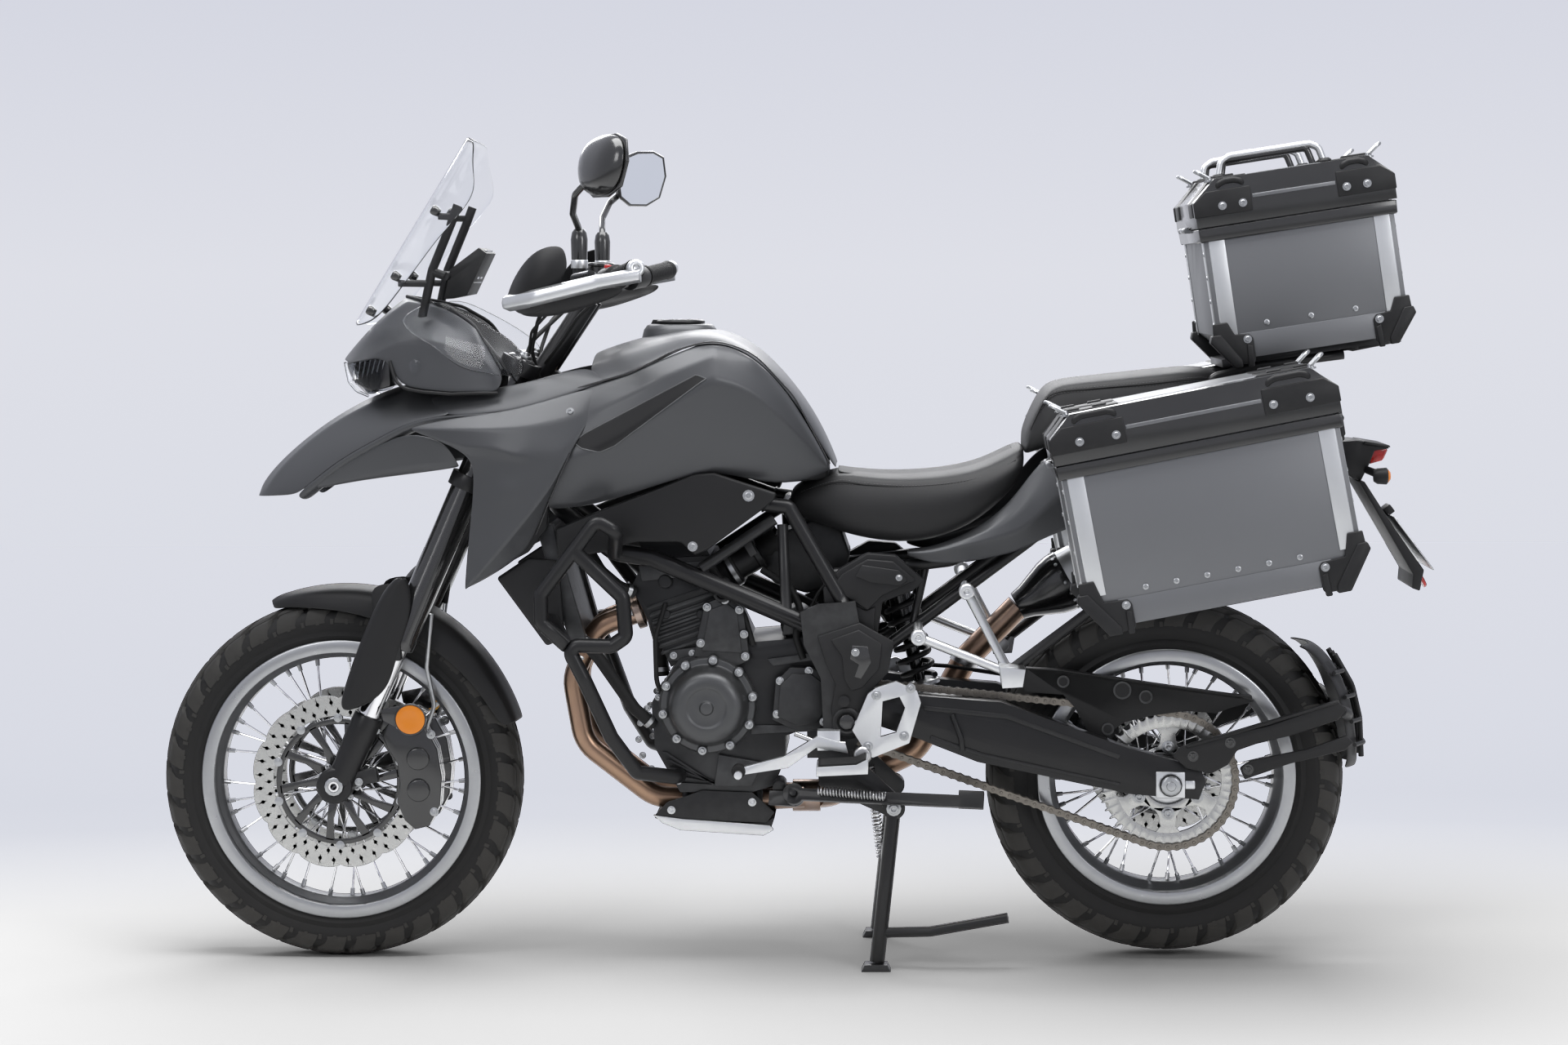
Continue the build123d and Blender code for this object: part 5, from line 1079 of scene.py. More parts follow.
# Rows from the beak back to the tank; columns from the inner edge out to the crease
BAND = [
    [(-648, 92, 1032), (-628, 128, 1018), (-602, 160, 1001)],
    [(-590, 122, 1044), (-560, 152, 1028), (-530, 182, 1006)],
    [(-522, 146, 1050), (-492, 166, 1036), (-462, 190, 1014)],
    [(-455, 154, 1062), (-425, 170, 1052), (-392, 190, 1033)],
    [(-392, 148, 1080), (-368, 166, 1070), (-335, 190, 1056)],
    [(-345, 140, 1088), (-330, 162, 1078), (-300, 191, 1066)],
]

# Rows from the front back; columns from the crease down to the ledge and in under the beak
BEAK_FIN = [
    [(-868, 100, 872), (-868, 98, 866), (-860, 60, 866)],
    [(-814, 106, 906), (-800, 102, 880), (-795, 60, 880)],
    [(-750, 116, 940), (-735, 110, 890), (-730, 60, 890)],
    [(-690, 130, 970), (-674, 124, 898), (-676, 100, 898)],
    [(-640, 156, 972), (-622, 152, 906), (-622, 146, 906)],
    [(-590, 176, 950), (-574, 168, 913), (-574, 160, 913)],
]

# Rows from the tip back; columns from the ridge over the brow and down the cheek
NOSE = [
    [(-807, 0, 1100), (-802, 40, 1099), (-790, 78, 1097), (-784, 88, 1095), (-783, 89, 1094)],
    [(-770, 0, 1145), (-764, 42, 1140), (-748, 82, 1122), (-738, 98, 1106), (-737, 99, 1104)],
    [(-734, 0, 1182), (-728, 44, 1175), (-712, 80, 1151), (-698, 109, 1131), (-706, 110, 1098)],
    [(-689, 0, 1212), (-682, 46, 1204), (-668, 80, 1176), (-656, 124, 1136), (-692, 122, 1052)],
    [(-645, 62, 1203), (-640, 74, 1198), (-630, 94, 1172), (-616, 143, 1134), (-645, 142, 1044)],
    [(-600, 98, 1192), (-597, 104, 1187), (-588, 120, 1160), (-572, 156, 1116), (-592, 157, 1040)],
    [(-552, 126, 1162), (-549, 130, 1158), (-543, 144, 1138), (-530, 162, 1098), (-545, 170, 1042)],
    [(-500, 148, 1082), (-498, 150, 1078), (-497, 156, 1072), (-496, 164, 1062), (-505, 172, 1042)],
]


def stations(table):
    return [[(x, y, z) for y, z in points] for x, *points in table]


def height_at(edge, x):
    """Height of an edge's line at a place along the machine."""
    for (x1, z1), (x2, z2) in zip(edge, edge[1:]):
        if x <= x2:
            return between(z1, z2, (x - x1) / (x2 - x1))
    return edge[-1][1]


def skin_side(piece):
    """How far out a piece's left skin lies at a place seen from the side."""
    tree = BVHTree.FromObject(piece, bpy.context.evaluated_depsgraph_get())

    def reach(x, z):
        hit = tree.ray_cast(Vector((x * MM, -1, z * MM)), Vector((0, 1, 0)))[0]
        return -hit.y / MM
    return reach


def make_tank():
    """Tank side panels with their crease, the top cover, the black inlays and the shut lines."""
    panels = moulding("tank_side_panels", stations(TANK_SIDE), replaces="fuel_tank", smooth=3, thickness=5,
        crease_angle=22)
    reach = skin_side(panels)
    moulding("tank_top_cover", stations(TANK_TOP), smooth=3, thickness=5, crease_angle=34)
    ring = Shape()
    ring.lathe([(1128, 72), (1150, 66), (1158, 60), (1159.5, 56), (1159.5, 20)], FILLER, UP, steps=64)
    ring.done("tank_cap_seat", "panel_grey", bevel=1.5)
    inlay, border = Shape(), Shape()
    places = [between(-366, -131, k / 48) for k in range(49)]
    rows = []
    for x in places:
        low, high = height_at(INLAY_FOOT, x), height_at(INLAY_TOP, x)
        rows.append([(x, reach(x, between(low, high, k / 6)) + 0.9, between(low, high, k / 6))
            for k in range(7)])
    inlay.grid(rows)
    for edge in (INLAY_TOP, INLAY_FOOT):
        border.tube([(x, reach(x, height_at(edge, x)) + 0.6, height_at(edge, x)) for x in places], 1.3,
            sides=8)
    for shape in (inlay, border):
        shape.mirrored()
    inlay.done("tank_inlays", "plastic_black", thickness=1.2)
    border.done("tank_inlay_edges", "cover_grey", slot="panel_grey")
    lines = Shape()
    seam = [(x, points[0][0] + 0.4, points[0][1] + 0.5) for x, *points in TANK_SIDE]
    lines.tube(seam, 1.5, bend=120, sides=8)
    lines.tube([(x, y + 0.6, z) for x, y, z in [row[-1] for row in WING[3:7]]], 1.2, bend=60, sides=8)
    lines.mirrored()
    lines.done("tank_shut_lines", "lamp_dark")
    base = Shape()
    base.stepped_box([(-336, 140, 895, 1050), (-260, 165, 870, 1080), (-120, 150, 905, 1105),
        (0, 112, 876, 1030), (80, 80, 880, 900)])
    base.done("tank_base", "plastic_black", bevel=6)
    screws = Shape()
    for x, y, z, way in ((-388, 176, 1042, (0, 0.7, 0.7)), (-372, 214, 1010, (0, 0.9, 0.4))):
        screws.bolt((x, y, z), way, 5, 3)
    screws.mirrored()
    screws.done("panel_screws", "zinc")


def make_tank_cap():
    """Round filler cap with its rim, lock and hinge block."""
    low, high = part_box("tank_cap")
    z = low.z / MM
    cap, rim = Shape(), Shape()
    cap.lathe([(z, 0), (z, 45), (z + 5, 45), (z + 7.6, 41), (z + 7.6, 30), (z + 5.5, 28), (z + 5.5, 14),
        (z + 7.8, 12), (z + 7.8, 0)], FILLER, UP, steps=64)
    cap.prism([(-243, z), (-222, z), (-222, z + 7), (-239, z + 8)], -11, 11)
    cap.done("filler_cap", "frame_black", "tank_cap", replaces="tank_cap", bevel=0.8)
    for index in range(7):
        turn = index * 2 * math.pi / 7 + 0.2
        rim.bolt((FILLER[0] + 35 * math.cos(turn), 35 * math.sin(turn), z + 5.6), UP, 2.4, 2)
    rim.lathe([(z + 6.4, 0), (z + 6.4, 9), (z + 8.2, 9), (z + 8.2, 7.5), (z + 7.6, 7), (z + 7.6, 0)], FILLER,
        UP, steps=32)
    rim.done("filler_lock", "zinc", "tank_cap")


def make_wings():
    """The side fairings that sweep down to a point ahead of the engine."""
    moulding("wing_panels", WING, replaces="side_fairings", smooth=3, thickness=4, crease_angle=16)
    duct = Shape()
    duct.prism([(-540, 925), (-470, 930), (-410, 905), (-420, 800), (-455, 758), (-540, 712), (-556, 790),
        (-544, 860)], 150, 178)
    duct.mirrored()
    duct.done("wing_ducts", "plastic_black", bevel=3)


def make_beak():
    """Beak blade, the shoulder bands that run back to the tank, and the fins under it."""
    moulding("beak_blade", BEAK, replaces="beak", smooth=3, thickness=5, crease_angle=18)
    moulding("shoulder_bands", BAND, smooth=3, thickness=5)
    rims = [Vector(row[-1]) for row in BEAK + BAND[1:4]]
    moulding("beak_lips", [[rim, rim + Vector((6, 3, -9)), rim + Vector((18, -16, -14))] for rim in rims],
        smooth=2, thickness=3)
    moulding("beak_fins", BEAK_FIN, smooth=2, thickness=3, crease_angle=30)
    under = Shape()
    under.stepped_box([(-905, 52, 872, 878), (-820, 88, 884, 905), (-740, 106, 898, 962),
        (-676, 114, 908, 1000)])
    under.done("beak_underside", "plastic_black", bevel=2)


def make_nose():
    """Nose cowl with its brow, cheeks, inner liner and side lamps."""
    moulding("nose_panel", NOSE, replaces="nose_cowl", smooth=3, thickness=4, crease_angle=24)
    brow = [Vector(row[0]) for row in NOSE[3:]]
    moulding("nose_liner", [[rim + Vector((8, 0, -3)), rim + Vector((40, -10, -40)), (rim.x + 30, 0, 1080)]
        for rim in brow], "plastic_black", smooth=2, thickness=3)
    edging = Shape()
    edging.tube([rim + Vector(UP) for rim in brow], 3.2, bend=60)
    edging.tube([Vector(row[4]) + Vector((0, 1, 0)) for row in NOSE[2:]], 3.0, bend=60)
    edging.mirrored()
    edging.done("nose_edging", "plastic_black")
    lamp, bowl, bezel = Shape(), Shape(), Shape()
    for flank in BOTH:
        centre, facing = (-655, flank * 122, 1088), (-0.35, flank * 0.9, 0.1)
        lamp.lathe([(0, 16), (6, 15), (11, 11), (14, 5), (14.5, 0)], centre, facing, steps=32)
        bowl.lathe([(2, 0), (2, 8), (6, 13), (8, 14.5)], centre, facing, steps=32)
        bezel.lathe([(-6, 20), (2, 20), (3, 17), (-6, 16)], centre, facing, steps=32, closed=True)
    lamp.done("side_lamps", "lamp_glass")
    bowl.done("side_lamp_bowls", "lamp_chrome")
    bezel.done("side_lamp_bezels", "gloss_black", bevel=0.6)


def make_headlamp():
    """Twin projector lamp behind a clear lens that wraps under the brow."""
    housing, bright, lens, led = Shape(), Shape(), Shape(), Shape()
    housing.stepped_box([(-772, 76, 1056, 1092), (-745, 86, 1042, 1100), (-708, 92, 1052, 1112)])
    housing.done("headlamp_housing", "lamp_dark", replaces="headlamp", bevel=3)
    for flank in BOTH:
        for y, size in ((30, 19), (64, 15)):
            at = (-775 + y * 0.12, flank * y, 1074)
            bright.lathe([(0, size * 0.55), (3, size * 0.62), (9, size), (10, size + 1.5), (7, size + 1.5),
                (-6, size * 0.7)], at, (-1, flank * 0.1, -0.05), steps=36, closed=True)
            lens.lathe([(2, size * 0.6), (6, size * 0.5), (9, size * 0.28), (10, 0)], at,
                (-1, flank * 0.1, -0.05), steps=36)
        for k in range(7):
            bright.tube([(-778 + k * 9, flank * (79 + k * 1.7), 1062 + k * 3.2),
                (-772 + k * 9.5, flank * (81 + k * 1.7), 1094 + k * 2.6)], 1.8, sides=6)
        led.tube([(-796, flank * 52, 1094), (-786, flank * 74, 1060), (-772, flank * 78, 1044),
            (-752, flank * 66, 1034)], 2.6, bend=12, sides=10)
    bright.done("headlamp_reflectors", "lamp_chrome")
    lens.done("headlamp_projectors", "lamp_glass")
    led.done("headlamp_light_strips", "lamp_glass")
    moulding("headlamp_cover", [
        [(-800, 0, 1096), (-797, 40, 1095), (-788, 76, 1094), (-768, 92, 1098), (-716, 104, 1118)],
        [(-798, 0, 1078), (-794, 40, 1077), (-782, 76, 1074), (-764, 93, 1074), (-718, 106, 1086)],
        [(-786, 0, 1056), (-781, 38, 1055), (-770, 72, 1052), (-754, 88, 1050), (-724, 102, 1056)],
        [(-766, 0, 1036), (-762, 34, 1036), (-752, 64, 1036), (-742, 78, 1037), (-730, 90, 1040)],
    ], "lamp_smoke", smooth=2, thickness=2)


SCREEN_FOOT = Vector((-783, 0, 1167))
SCREEN_ANGLE = math.radians(58)

# Columns: distance up the screen and its half width there
SCREEN_EDGE = [(0, 62), (26, 112), (60, 124), (110, 130), (165, 136), (215, 140), (262, 148), (300, 152),
    (330, 150), (362, 122), (396, 96)]

# Rows from the front back; columns from the upper edge down to the fixing on the cheek
DEFLECTOR = [
    [(-690, 98, 1176), (-684, 108, 1166), (-672, 116, 1150)],
    [(-621, 116, 1216), (-620, 140, 1172), (-616, 156, 1122)],
    [(-570, 136, 1191), (-572, 158, 1140), (-578, 170, 1084)],
    [(-520, 152, 1164), (-520, 170, 1122), (-520, 178, 1074)],
    [(-462, 162, 1124), (-458, 174, 1098), (-450, 180, 1066)],
]


def screen_point(along, y, lift=0.0):
    """A point of the windscreen's sheet, bowed across."""
    bow = 183 - math.sqrt(183 ** 2 - min(abs(y), 182) ** 2)
    up = Vector((math.cos(SCREEN_ANGLE), 0, math.sin(SCREEN_ANGLE)))
    back = Vector((math.sin(SCREEN_ANGLE), 0, -math.cos(SCREEN_ANGLE)))
    return SCREEN_FOOT + up * along + back * (bow - lift) + Vector((0, y, 0))


def make_windscreen():
    """Clear sheet with a smoothed waist, and its rubber-capped fixings."""
    sheet = Shape()
    sheet.grid([[screen_point(along, half * k / 8) for k in range(-8, 9)] for along, half in SCREEN_EDGE])
    sheet.done("windscreen_sheet", "screen_clear", replaces="windscreen", smooth=2, thickness=3)
    moulding("screen_deflectors", DEFLECTOR, "screen_clear", smooth=2, thickness=2.5)
    caps = Shape()
    for along, y in ((118, 104), (255, 104), (40, 92)):
        for flank in BOTH:
            at = screen_point(along, flank * y)
            out = (screen_point(along, flank * y, 1) - at).normalized()
            caps.lathe([(-9, 0), (-9, 7), (1, 9), (5, 9), (8, 7), (8.6, 0)], at, out, steps=24)
    caps.done("screen_fixings", "gloss_black", bevel=0.8)


def make_instruments():
    """Stays, instrument housing with a plain dial face, and the trim round it."""
    dressed("instrument_panel", "plastic_black", bevel=1.2)
    dial = Shape()
    dial.block((-560, -60, 1236), (0, 1, 0), (0.36, 0, 0.93),
        [(4, 0), (116, 0), (120, 8), (120, 56), (112, 64), (8, 64), (0, 56), (0, 8)], -3)
    dial.done("instrument_face", "gloss_black", bevel=1)
    trim = Shape()
    for y in (-34, 10):
        trim.block((-556, y, 1244), (0, 1, 0), (0.36, 0, 0.93), [(0, 0), (26, 0), (26, 40), (0, 40)], -1.2)
    trim.done("instrument_windows", "panel_print")


def make_lower_panels():
    """Black panels between tank and frame, and the radiator shrouds."""
    panel = Shape()
    panel.prism([(-400, 745), (-405, 800), (-322, 834), (-203, 879), (-157, 897), (-121, 899), (-86, 887),
        (-10, 862), (-15, 850), (-38, 831), (-133, 762), (-156, 752), (-182, 776), (-262, 776), (-322, 758)],
        168, 182)
    panel.prism([(-512, 711), (-456, 748), (-400, 742), (-392, 604), (-424, 589)], 152, 166)
    panel.mirrored()
    panel.done("lower_side_panels", "plastic_black", replaces="lower_panels", bevel=5, segments=3)
    screws = Shape()
    screws.bolt((-60, 182, 858), (0, 1, 0), 7, 3)
    screws.bolt((-160, 182, 768), (0, 1, 0), 6, 3)
    screws.mirrored()
    screws.done("lower_panel_screws", "zinc")


# Front end

def make_fork():
    """Outer tubes with collars, chromed sliders, axle lugs, pinch bolts and the round side reflectors."""
    tubes, sliders, lugs, bolts = Shape(), Shape(), Shape(), Shape()
    bottom = -742
    wheel_middle = (FRONT_AXLE.x, 0, FRONT_AXLE.z)
    for flank in BOTH:
        y = flank * 105
        foot = steer(-38, y, 0)
        tubes.lathe([(108, 0), (108, 20), (104, 26), (-150, 26), (-152, 27.5), (-440, 27.5), (-446, 29.5),
            (-463, 29.5), (-466, 22)], foot, STEER_AXIS, steps=48)
        sliders.lathe([(-463, 20.2), (-604, 20.2)], foot, STEER_AXIS, steps=40)
        lugs.lathe([(-600, 20.5), (-600, 26), (-640, 27), (-700, 25), (bottom + 10, 27), (bottom + 2, 18),
            (bottom + 2, 0)], foot, STEER_AXIS, steps=40)
        lugs.lathe([(y - 22, 18), (y - 22, 30), (y - 18, 33), (y + 18, 33), (y + 22, 30), (y + 22, 18)],
            wheel_middle, steps=48)
        lugs.block((FRONT_AXLE.x + 18, y - flank * 2 - 14, FRONT_AXLE.z - 6), (1, 0, 0.2), (0, 1, 0),
            [(0, 0), (62, 4), (62, 24), (0, 28)], 26)
        bolts.lathe([(y + flank * 20, 8), (y + flank * 20, 17), (y + flank * 26, 17), (y + flank * 27, 14),
            (y + flank * 27, 9), (y + flank * 22, 8)], wheel_middle, steps=12, closed=True)
        for along in (22, 44):
            bolts.bolt((FRONT_AXLE.x + along, y + flank * 13, FRONT_AXLE.z - 2 + along * 0.2), (0, flank, 0),
                5, 4)
        bolts.lathe([(108, 0), (108, 17), (113, 17), (113, 10), (118, 10), (118, 0)], foot, STEER_AXIS,
            steps=12)
    sliders.lathe([(-132, 6), (-132, 10), (132, 10), (132, 6)], wheel_middle, steps=40, closed=True)
    tubes.done("fork_outer_tubes", "fork_black", "steering", replaces="fork_legs", bevel=0.6)
    sliders.done("fork_sliders", "chrome", "steering")
    lugs.done("fork_axle_lugs", "frame_black", "steering", bevel=2.0)
    bolts.done("fork_bolts", "zinc", "steering", bevel=0.5)
    reflector, rim = Shape(), Shape()
    for flank in BOTH:
        centre = (-676, flank * 128, 452)
        reflector.lathe([(2, 0), (4.5, 14), (3.5, 26), (0, 27)], centre, (0, flank, 0), steps=40)
        rim.lathe([(-3, 20), (-3, 29), (3, 29), (4.4, 27), (2, 26), (2, 20)], centre, (0, flank, 0), steps=40,
            closed=True)
        rim.block((-730, flank * 124 - 2, 470), (1, 0, 0), UP,
            [(0, 0), (40, 8), (66, -2), (60, -30), (30, -34), (4, -20)], -3)
    reflector.done("fork_reflectors", "lens_orange", "steering")
    rim.done("fork_reflector_rims", "gloss_black", "steering", bevel=0.5)


def make_clamps():
    dressed("triple_clamps", "frame_black", bevel=1.6)
    nut = Shape()
    nut.lathe([(100, 0), (100, 18), (110, 18), (112, 14), (112, 0)], HEAD, STEER_AXIS, steps=12)
    for flank in BOTH:
        for dx in (-9, 9):
            nut.bolt((-352 + dx, flank * 42, 1225), UP, 4, 4)
    nut.done("steering_stem_nut", "gold", "steering", bevel=0.8)


# Columns: x, y, z along the right-hand half of the bar
BAR = [(-352, 0, 1206), (-352, 60, 1206), (-345, 150, 1222), (-300, 250, 1242), (-280, 300, 1246),
    (-240, 425, 1258)]


def make_handlebar():
    """Bar tube and ribbed grips with flanges."""
    bar, grips = Shape(), Shape()
    for flank in BOTH:
        route = [Vector((x, flank * y, z)) for x, y, z in BAR]
        bar.tube(route, 11, bend=30, sides=24)
        start, end = route[-2] + (route[-1] - route[-2]) * 0.02, route[-1]
        way = (end - start).normalized()
        length = (end - start).length
        profile = [(-4, 11), (-4, 21), (0, 22), (4, 20), (6, 16)]
        for k in range(17):
            at = 10 + k * (length - 24) / 17
            profile += [(at, 16.9), (at + 3.4, 16.9), (at + 3.8, 15.9), (at + 5.4, 15.9)]
        profile += [(length - 12, 17.0), (length - 4, 18.5), (length, 18), (length, 11)]
        grips.lathe(profile, start, way, steps=40)
    bar.done("handlebar_tube", "frame_black", "steering", replaces="handlebar")
    grips.done("grips", "rubber_black", "steering", angle=50)


def make_hand_controls():
    """Switch housings with their buttons, levers, perches, reservoir and the mirror bosses."""
    dressed("hand_controls", "plastic_black", bevel=1.5)
    levers, silver, red = Shape(), Shape(), Shape()
    for flank in BOTH:
        levers.tube([(-322, flank * 236, 1238), (-356, flank * 250, 1242), (-350, flank * 330, 1247),
            (-316, flank * 424, 1253)], (8.5, 6.0), bend=24, sides=16, flat=0.7)
        silver.lathe([(0, 15), (14, 15), (15, 13), (15, 8), (0, 8)], (-351, flank * 232, 1262), UP, steps=28,
            closed=True)
        silver.bolt((-330, flank * 222, 1250), UP, 6, 4)
    levers.done("hand_levers", "fork_black", "steering", slot="frame_black")
    silver.done("mirror_collars", "silver_cast", "steering", bevel=0.8)
    red.lathe([(0, 9), (7, 8.5), (9, 6), (9.4, 0)], (-300, 268, 1262), (0.1, 0, 1), steps=24)
    red.lathe([(0, 7), (5, 6.5), (6.4, 0)], (-298, -268, 1262), (0.1, 0, 1), steps=24)
    red.done("kill_switch", "kill_red", "steering")
    cup = Shape()
    cup.lathe([(0, 0), (0, 26), (3, 28), (26, 28), (28, 30), (33, 30), (35, 27), (35, 0)], (-352, 182, 1236),
        (0, 0.1, 1), steps=32)
    cup.done("brake_reservoir", "gloss_black", "steering", bevel=1)


MIRROR_OUTLINE = [(-72, 8), (-60, 44), (-28, 54), (20, 52), (60, 40), (76, 8), (62, -34), (30, -50),
    (-20, -50), (-58, -34)]


def make_mirrors():
    """Stems with rubber boots, domed backs with a dimpled inset, and silvered glass."""
    stems, backs, glass, bezel, dimple = Shape(), Shape(), Shape(), Shape(), Shape()
    for flank in BOTH:
        stems.tube([(-351, flank * 232, 1278), (-351, flank * 232, 1330), (-356, flank * 292, 1356),
            (-346, flank * 350, 1388), (-312, flank * 386, 1420)], 6.0, bend=26, sides=20)
        stems.lathe([(1276, 0), (1276, 14), (1312, 15), (1324, 13), (1330, 9), (1330, 0)],
            (-351, flank * 232, 0), UP, steps=32)
        centre = Vector((-288, flank * 400, 1433))
        right = Vector((-0.57, -flank * 0.82, 0)).normalized()
        facing = Vector((0.82, -flank * 0.57, -0.12)).normalized()
        up = facing.cross(right).normalized()
        if up.z < 0:
            up = -up

        def ring(scale, depth, shift=0):
            return [centre + right * a * scale + up * (b * scale + shift) - facing * depth
                for a, b in MIRROR_OUTLINE]

        backs.loft([ring(1.0, 2), ring(1.03, 8), ring(0.93, 18, -1), ring(0.66, 29, -6), ring(0.30, 35, -12)])
        bezel.loft([ring(1.03, 4), ring(1.045, 0), ring(1.0, -3), ring(0.95, -2.6), ring(0.95, 3)])
        glass.loft([ring(0.95, 0.5), ring(0.95, -1.6)])
        for row in range(-4, 5):
            for column in range(-6, 7):
                a, b = column * 7.6 + (row % 2) * 3.8, row * 6.6 + 4
                if abs(a) / 62 + abs(b - 4) / 46 > 0.92:
                    continue
                depth = 8 + 24 * (1 - (abs(a) / 74) ** 1.7 - (abs(b) / 56) ** 1.8)
                dimple.lathe([(0, 2.4), (1.5, 1.9), (2.1, 0)],
                    centre + right * a + up * b - facing * max(depth, 9), -facing, steps=8)
    stems.done("mirror_stems", "gloss_black", "steering")
    backs.done("mirror_backs", "gloss_black", "steering", replaces="mirrors", smooth=2)
    bezel.done("mirror_bezels", "gloss_black", "steering", bevel=1.2)
    glass.done("mirror_glass", "mirror_glass", "steering")
    dimple.done("mirror_dimples", "plastic_black", "steering")


def make_hand_guards():
    """Silver spine clamped at the bar end, with a black shell above and below it."""
    spine, shell, ends = Shape(), Shape(), Shape()
    for flank in BOTH:
        path = [(-228, 440, 1250), (-300, 452, 1238), (-412, 444, 1212), (-462, 378, 1203), (-466, 316, 1206)]
        route = rounded([Vector((x, flank * y, z)) for x, y, z in path], 34)
        rows = []
        for index, point in enumerate(route):
            share = index / (len(route) - 1)
            width = between(13, 15, min(1, share * 3))
            out = Vector((-0.25, flank * 0.95, 0)) if share < 0.6 else Vector((-1, flank * 0.25, 0))
            out = out.normalized() * 8
            rows.append([point + out + Vector((0, 0, width * 0.6)), point + out * 1.25,
                point + out + Vector((0, 0, -width * 0.6)), point - out * 0.6 + Vector((0, 0, -width)),
                point - out * 0.6 + Vector((0, 0, width))])
        spine.loft(rows)
        ends.lathe([(0, 0), (0, 13), (3, 15), (16, 15), (19, 12), (19, 6), (14, 5), (14, 0)],
            (-240, flank * 428, 1260), (0.3, flank * 0.94, 0.1), steps=28)
        # Rows from the upper lip to the lower lip, each from the bar end round to the nose
        skin = [
            [(-360, 428, 1304), (-400, 424, 1300), (-430, 410, 1276), (-455, 380, 1240), (-465, 350, 1216)],
            [(-352, 436, 1282), (-392, 444, 1280), (-426, 432, 1256), (-452, 398, 1228), (-464, 358, 1210)],
            [(-350, 438, 1258), (-388, 448, 1254), (-424, 437, 1236), (-450, 402, 1220), (-462, 362, 1206)],
            [(-364, 437, 1243), (-392, 446, 1238), (-424, 435, 1224), (-448, 402, 1212), (-460, 364, 1202)],
            [(-372, 428, 1206), (-400, 428, 1186), (-430, 414, 1180), (-448, 384, 1186), (-456, 350, 1194)],
        ]
        shell.grid([[Vector((x, flank * y, z)) for x, y, z in row] for row in skin])
        front = []
        for row in skin:
            x, y, z = row[-1]
            front.append([Vector((x, flank * y, z)), Vector((x - 4, flank * (y - 32), between(z, 1215, 0.1))),
                Vector((x + 4, flank * (y - 62), between(z, 1215, 0.2)))])
        shell.grid(front)
        # Rows from the spine down to the lower lip, each from the bar end round to the nose
        lower = [
            [(-246, 438, 1236), (-330, 444, 1222), (-400, 436, 1206), (-448, 396, 1197)],
            [(-262, 436, 1214), (-330, 440, 1196), (-396, 430, 1183), (-442, 390, 1183)],
            [(-292, 420, 1206), (-340, 418, 1187), (-392, 408, 1177), (-430, 378, 1179)],
        ]
        shell.grid([[Vector((x, flank * y, z)) for x, y, z in row] for row in lower])
    spine.done("hand_guard_spines", "silver_cast", "steering", replaces="hand_guards", bevel=1.4)
    ends.done("bar_end_clamps", "silver_cast", "steering", bevel=1.2)
    shell.done("hand_guard_shells", "plastic_black", "steering", smooth=2, thickness=3.5)


# Columns: angle round the front axle in degrees, half width, crown height above the tyre, edge drop
FENDER = [(112, 12, 20, 4), (106, 40, 24, 12), (97, 58, 26, 24), (84, 66, 30, 34), (68, 70, 32, 44),
    (52, 68, 27, 44), (38, 66, 21, 38), (26, 64, 17, 32), (18, 60, 15, 24)]


def make_front_fender():
    """Long-nosed fender with a raised middle and side cheeks to the fork."""
    skin = Shape()
    rows = []
    for angle, half, rise, drop in FENDER:
        turn = math.radians(angle)
        row = []
        for share in (-1, -0.94, -0.7, -0.36, 0, 0.36, 0.7, 0.94, 1):
            lift = rise + 4 if abs(share) < 0.1 else rise * (1 - 0.5 * abs(share) ** 3)
            lift -= drop if abs(share) == 1 else (drop * 0.25 if abs(share) > 0.9 else 0)
            row.append(turn_about(FRONT_AXLE, 330 + lift, turn, share * half))
        rows.append(row)
    skin.grid(rows)
    skin.done("front_fender_skin", "plastic_black", "steering", replaces="front_fender", smooth=2,
        thickness=3.5, crease_angle=40)
    moulding("front_fender_cheeks", [
        [(-760, 66, 690), (-700, 70, 700), (-640, 68, 672)],
        [(-752, 76, 655), (-705, 80, 668), (-668, 78, 640)],
        [(-742, 82, 610), (-712, 84, 600), (-690, 82, 590)],
        [(-735, 80, 560), (-720, 81, 552), (-708, 80, 556)],
    ], "plastic_black", "steering", smooth=2, thickness=3.5)


def make_fork_guards():
    """Tall shields that wrap the front of each leg, with their ties."""
    rows = []
    # Columns: z, front x, rear x
    for z, front, rear in ((711, -700, -676), (690, -722, -668), (648, -744, -668), (600, -765, -684),
            (550, -784, -700), (510, -797, -712), (482, -806, -745), (471, -800, -780)):
        rows.append([(rear, 142, z), ((front + rear) / 2 + 8, 154, z), (front + 8, 150, z), (front, 128, z),
            (front + 14, 96, z)])
    moulding("fork_shields", rows, "plastic_black", "steering", replaces="fork_guards", smooth=2, thickness=4)
    ties = Shape()
    ties.prism([(-722, 600), (-690, 600), (-690, 560), (-744, 560)], 112, 142)
    ties.prism([(-772, 520), (-740, 530), (-735, 500), (-770, 492)], 100, 140)
    ties.mirrored()
    ties.done("fork_shield_ties", "plastic_black", "steering", bevel=2)


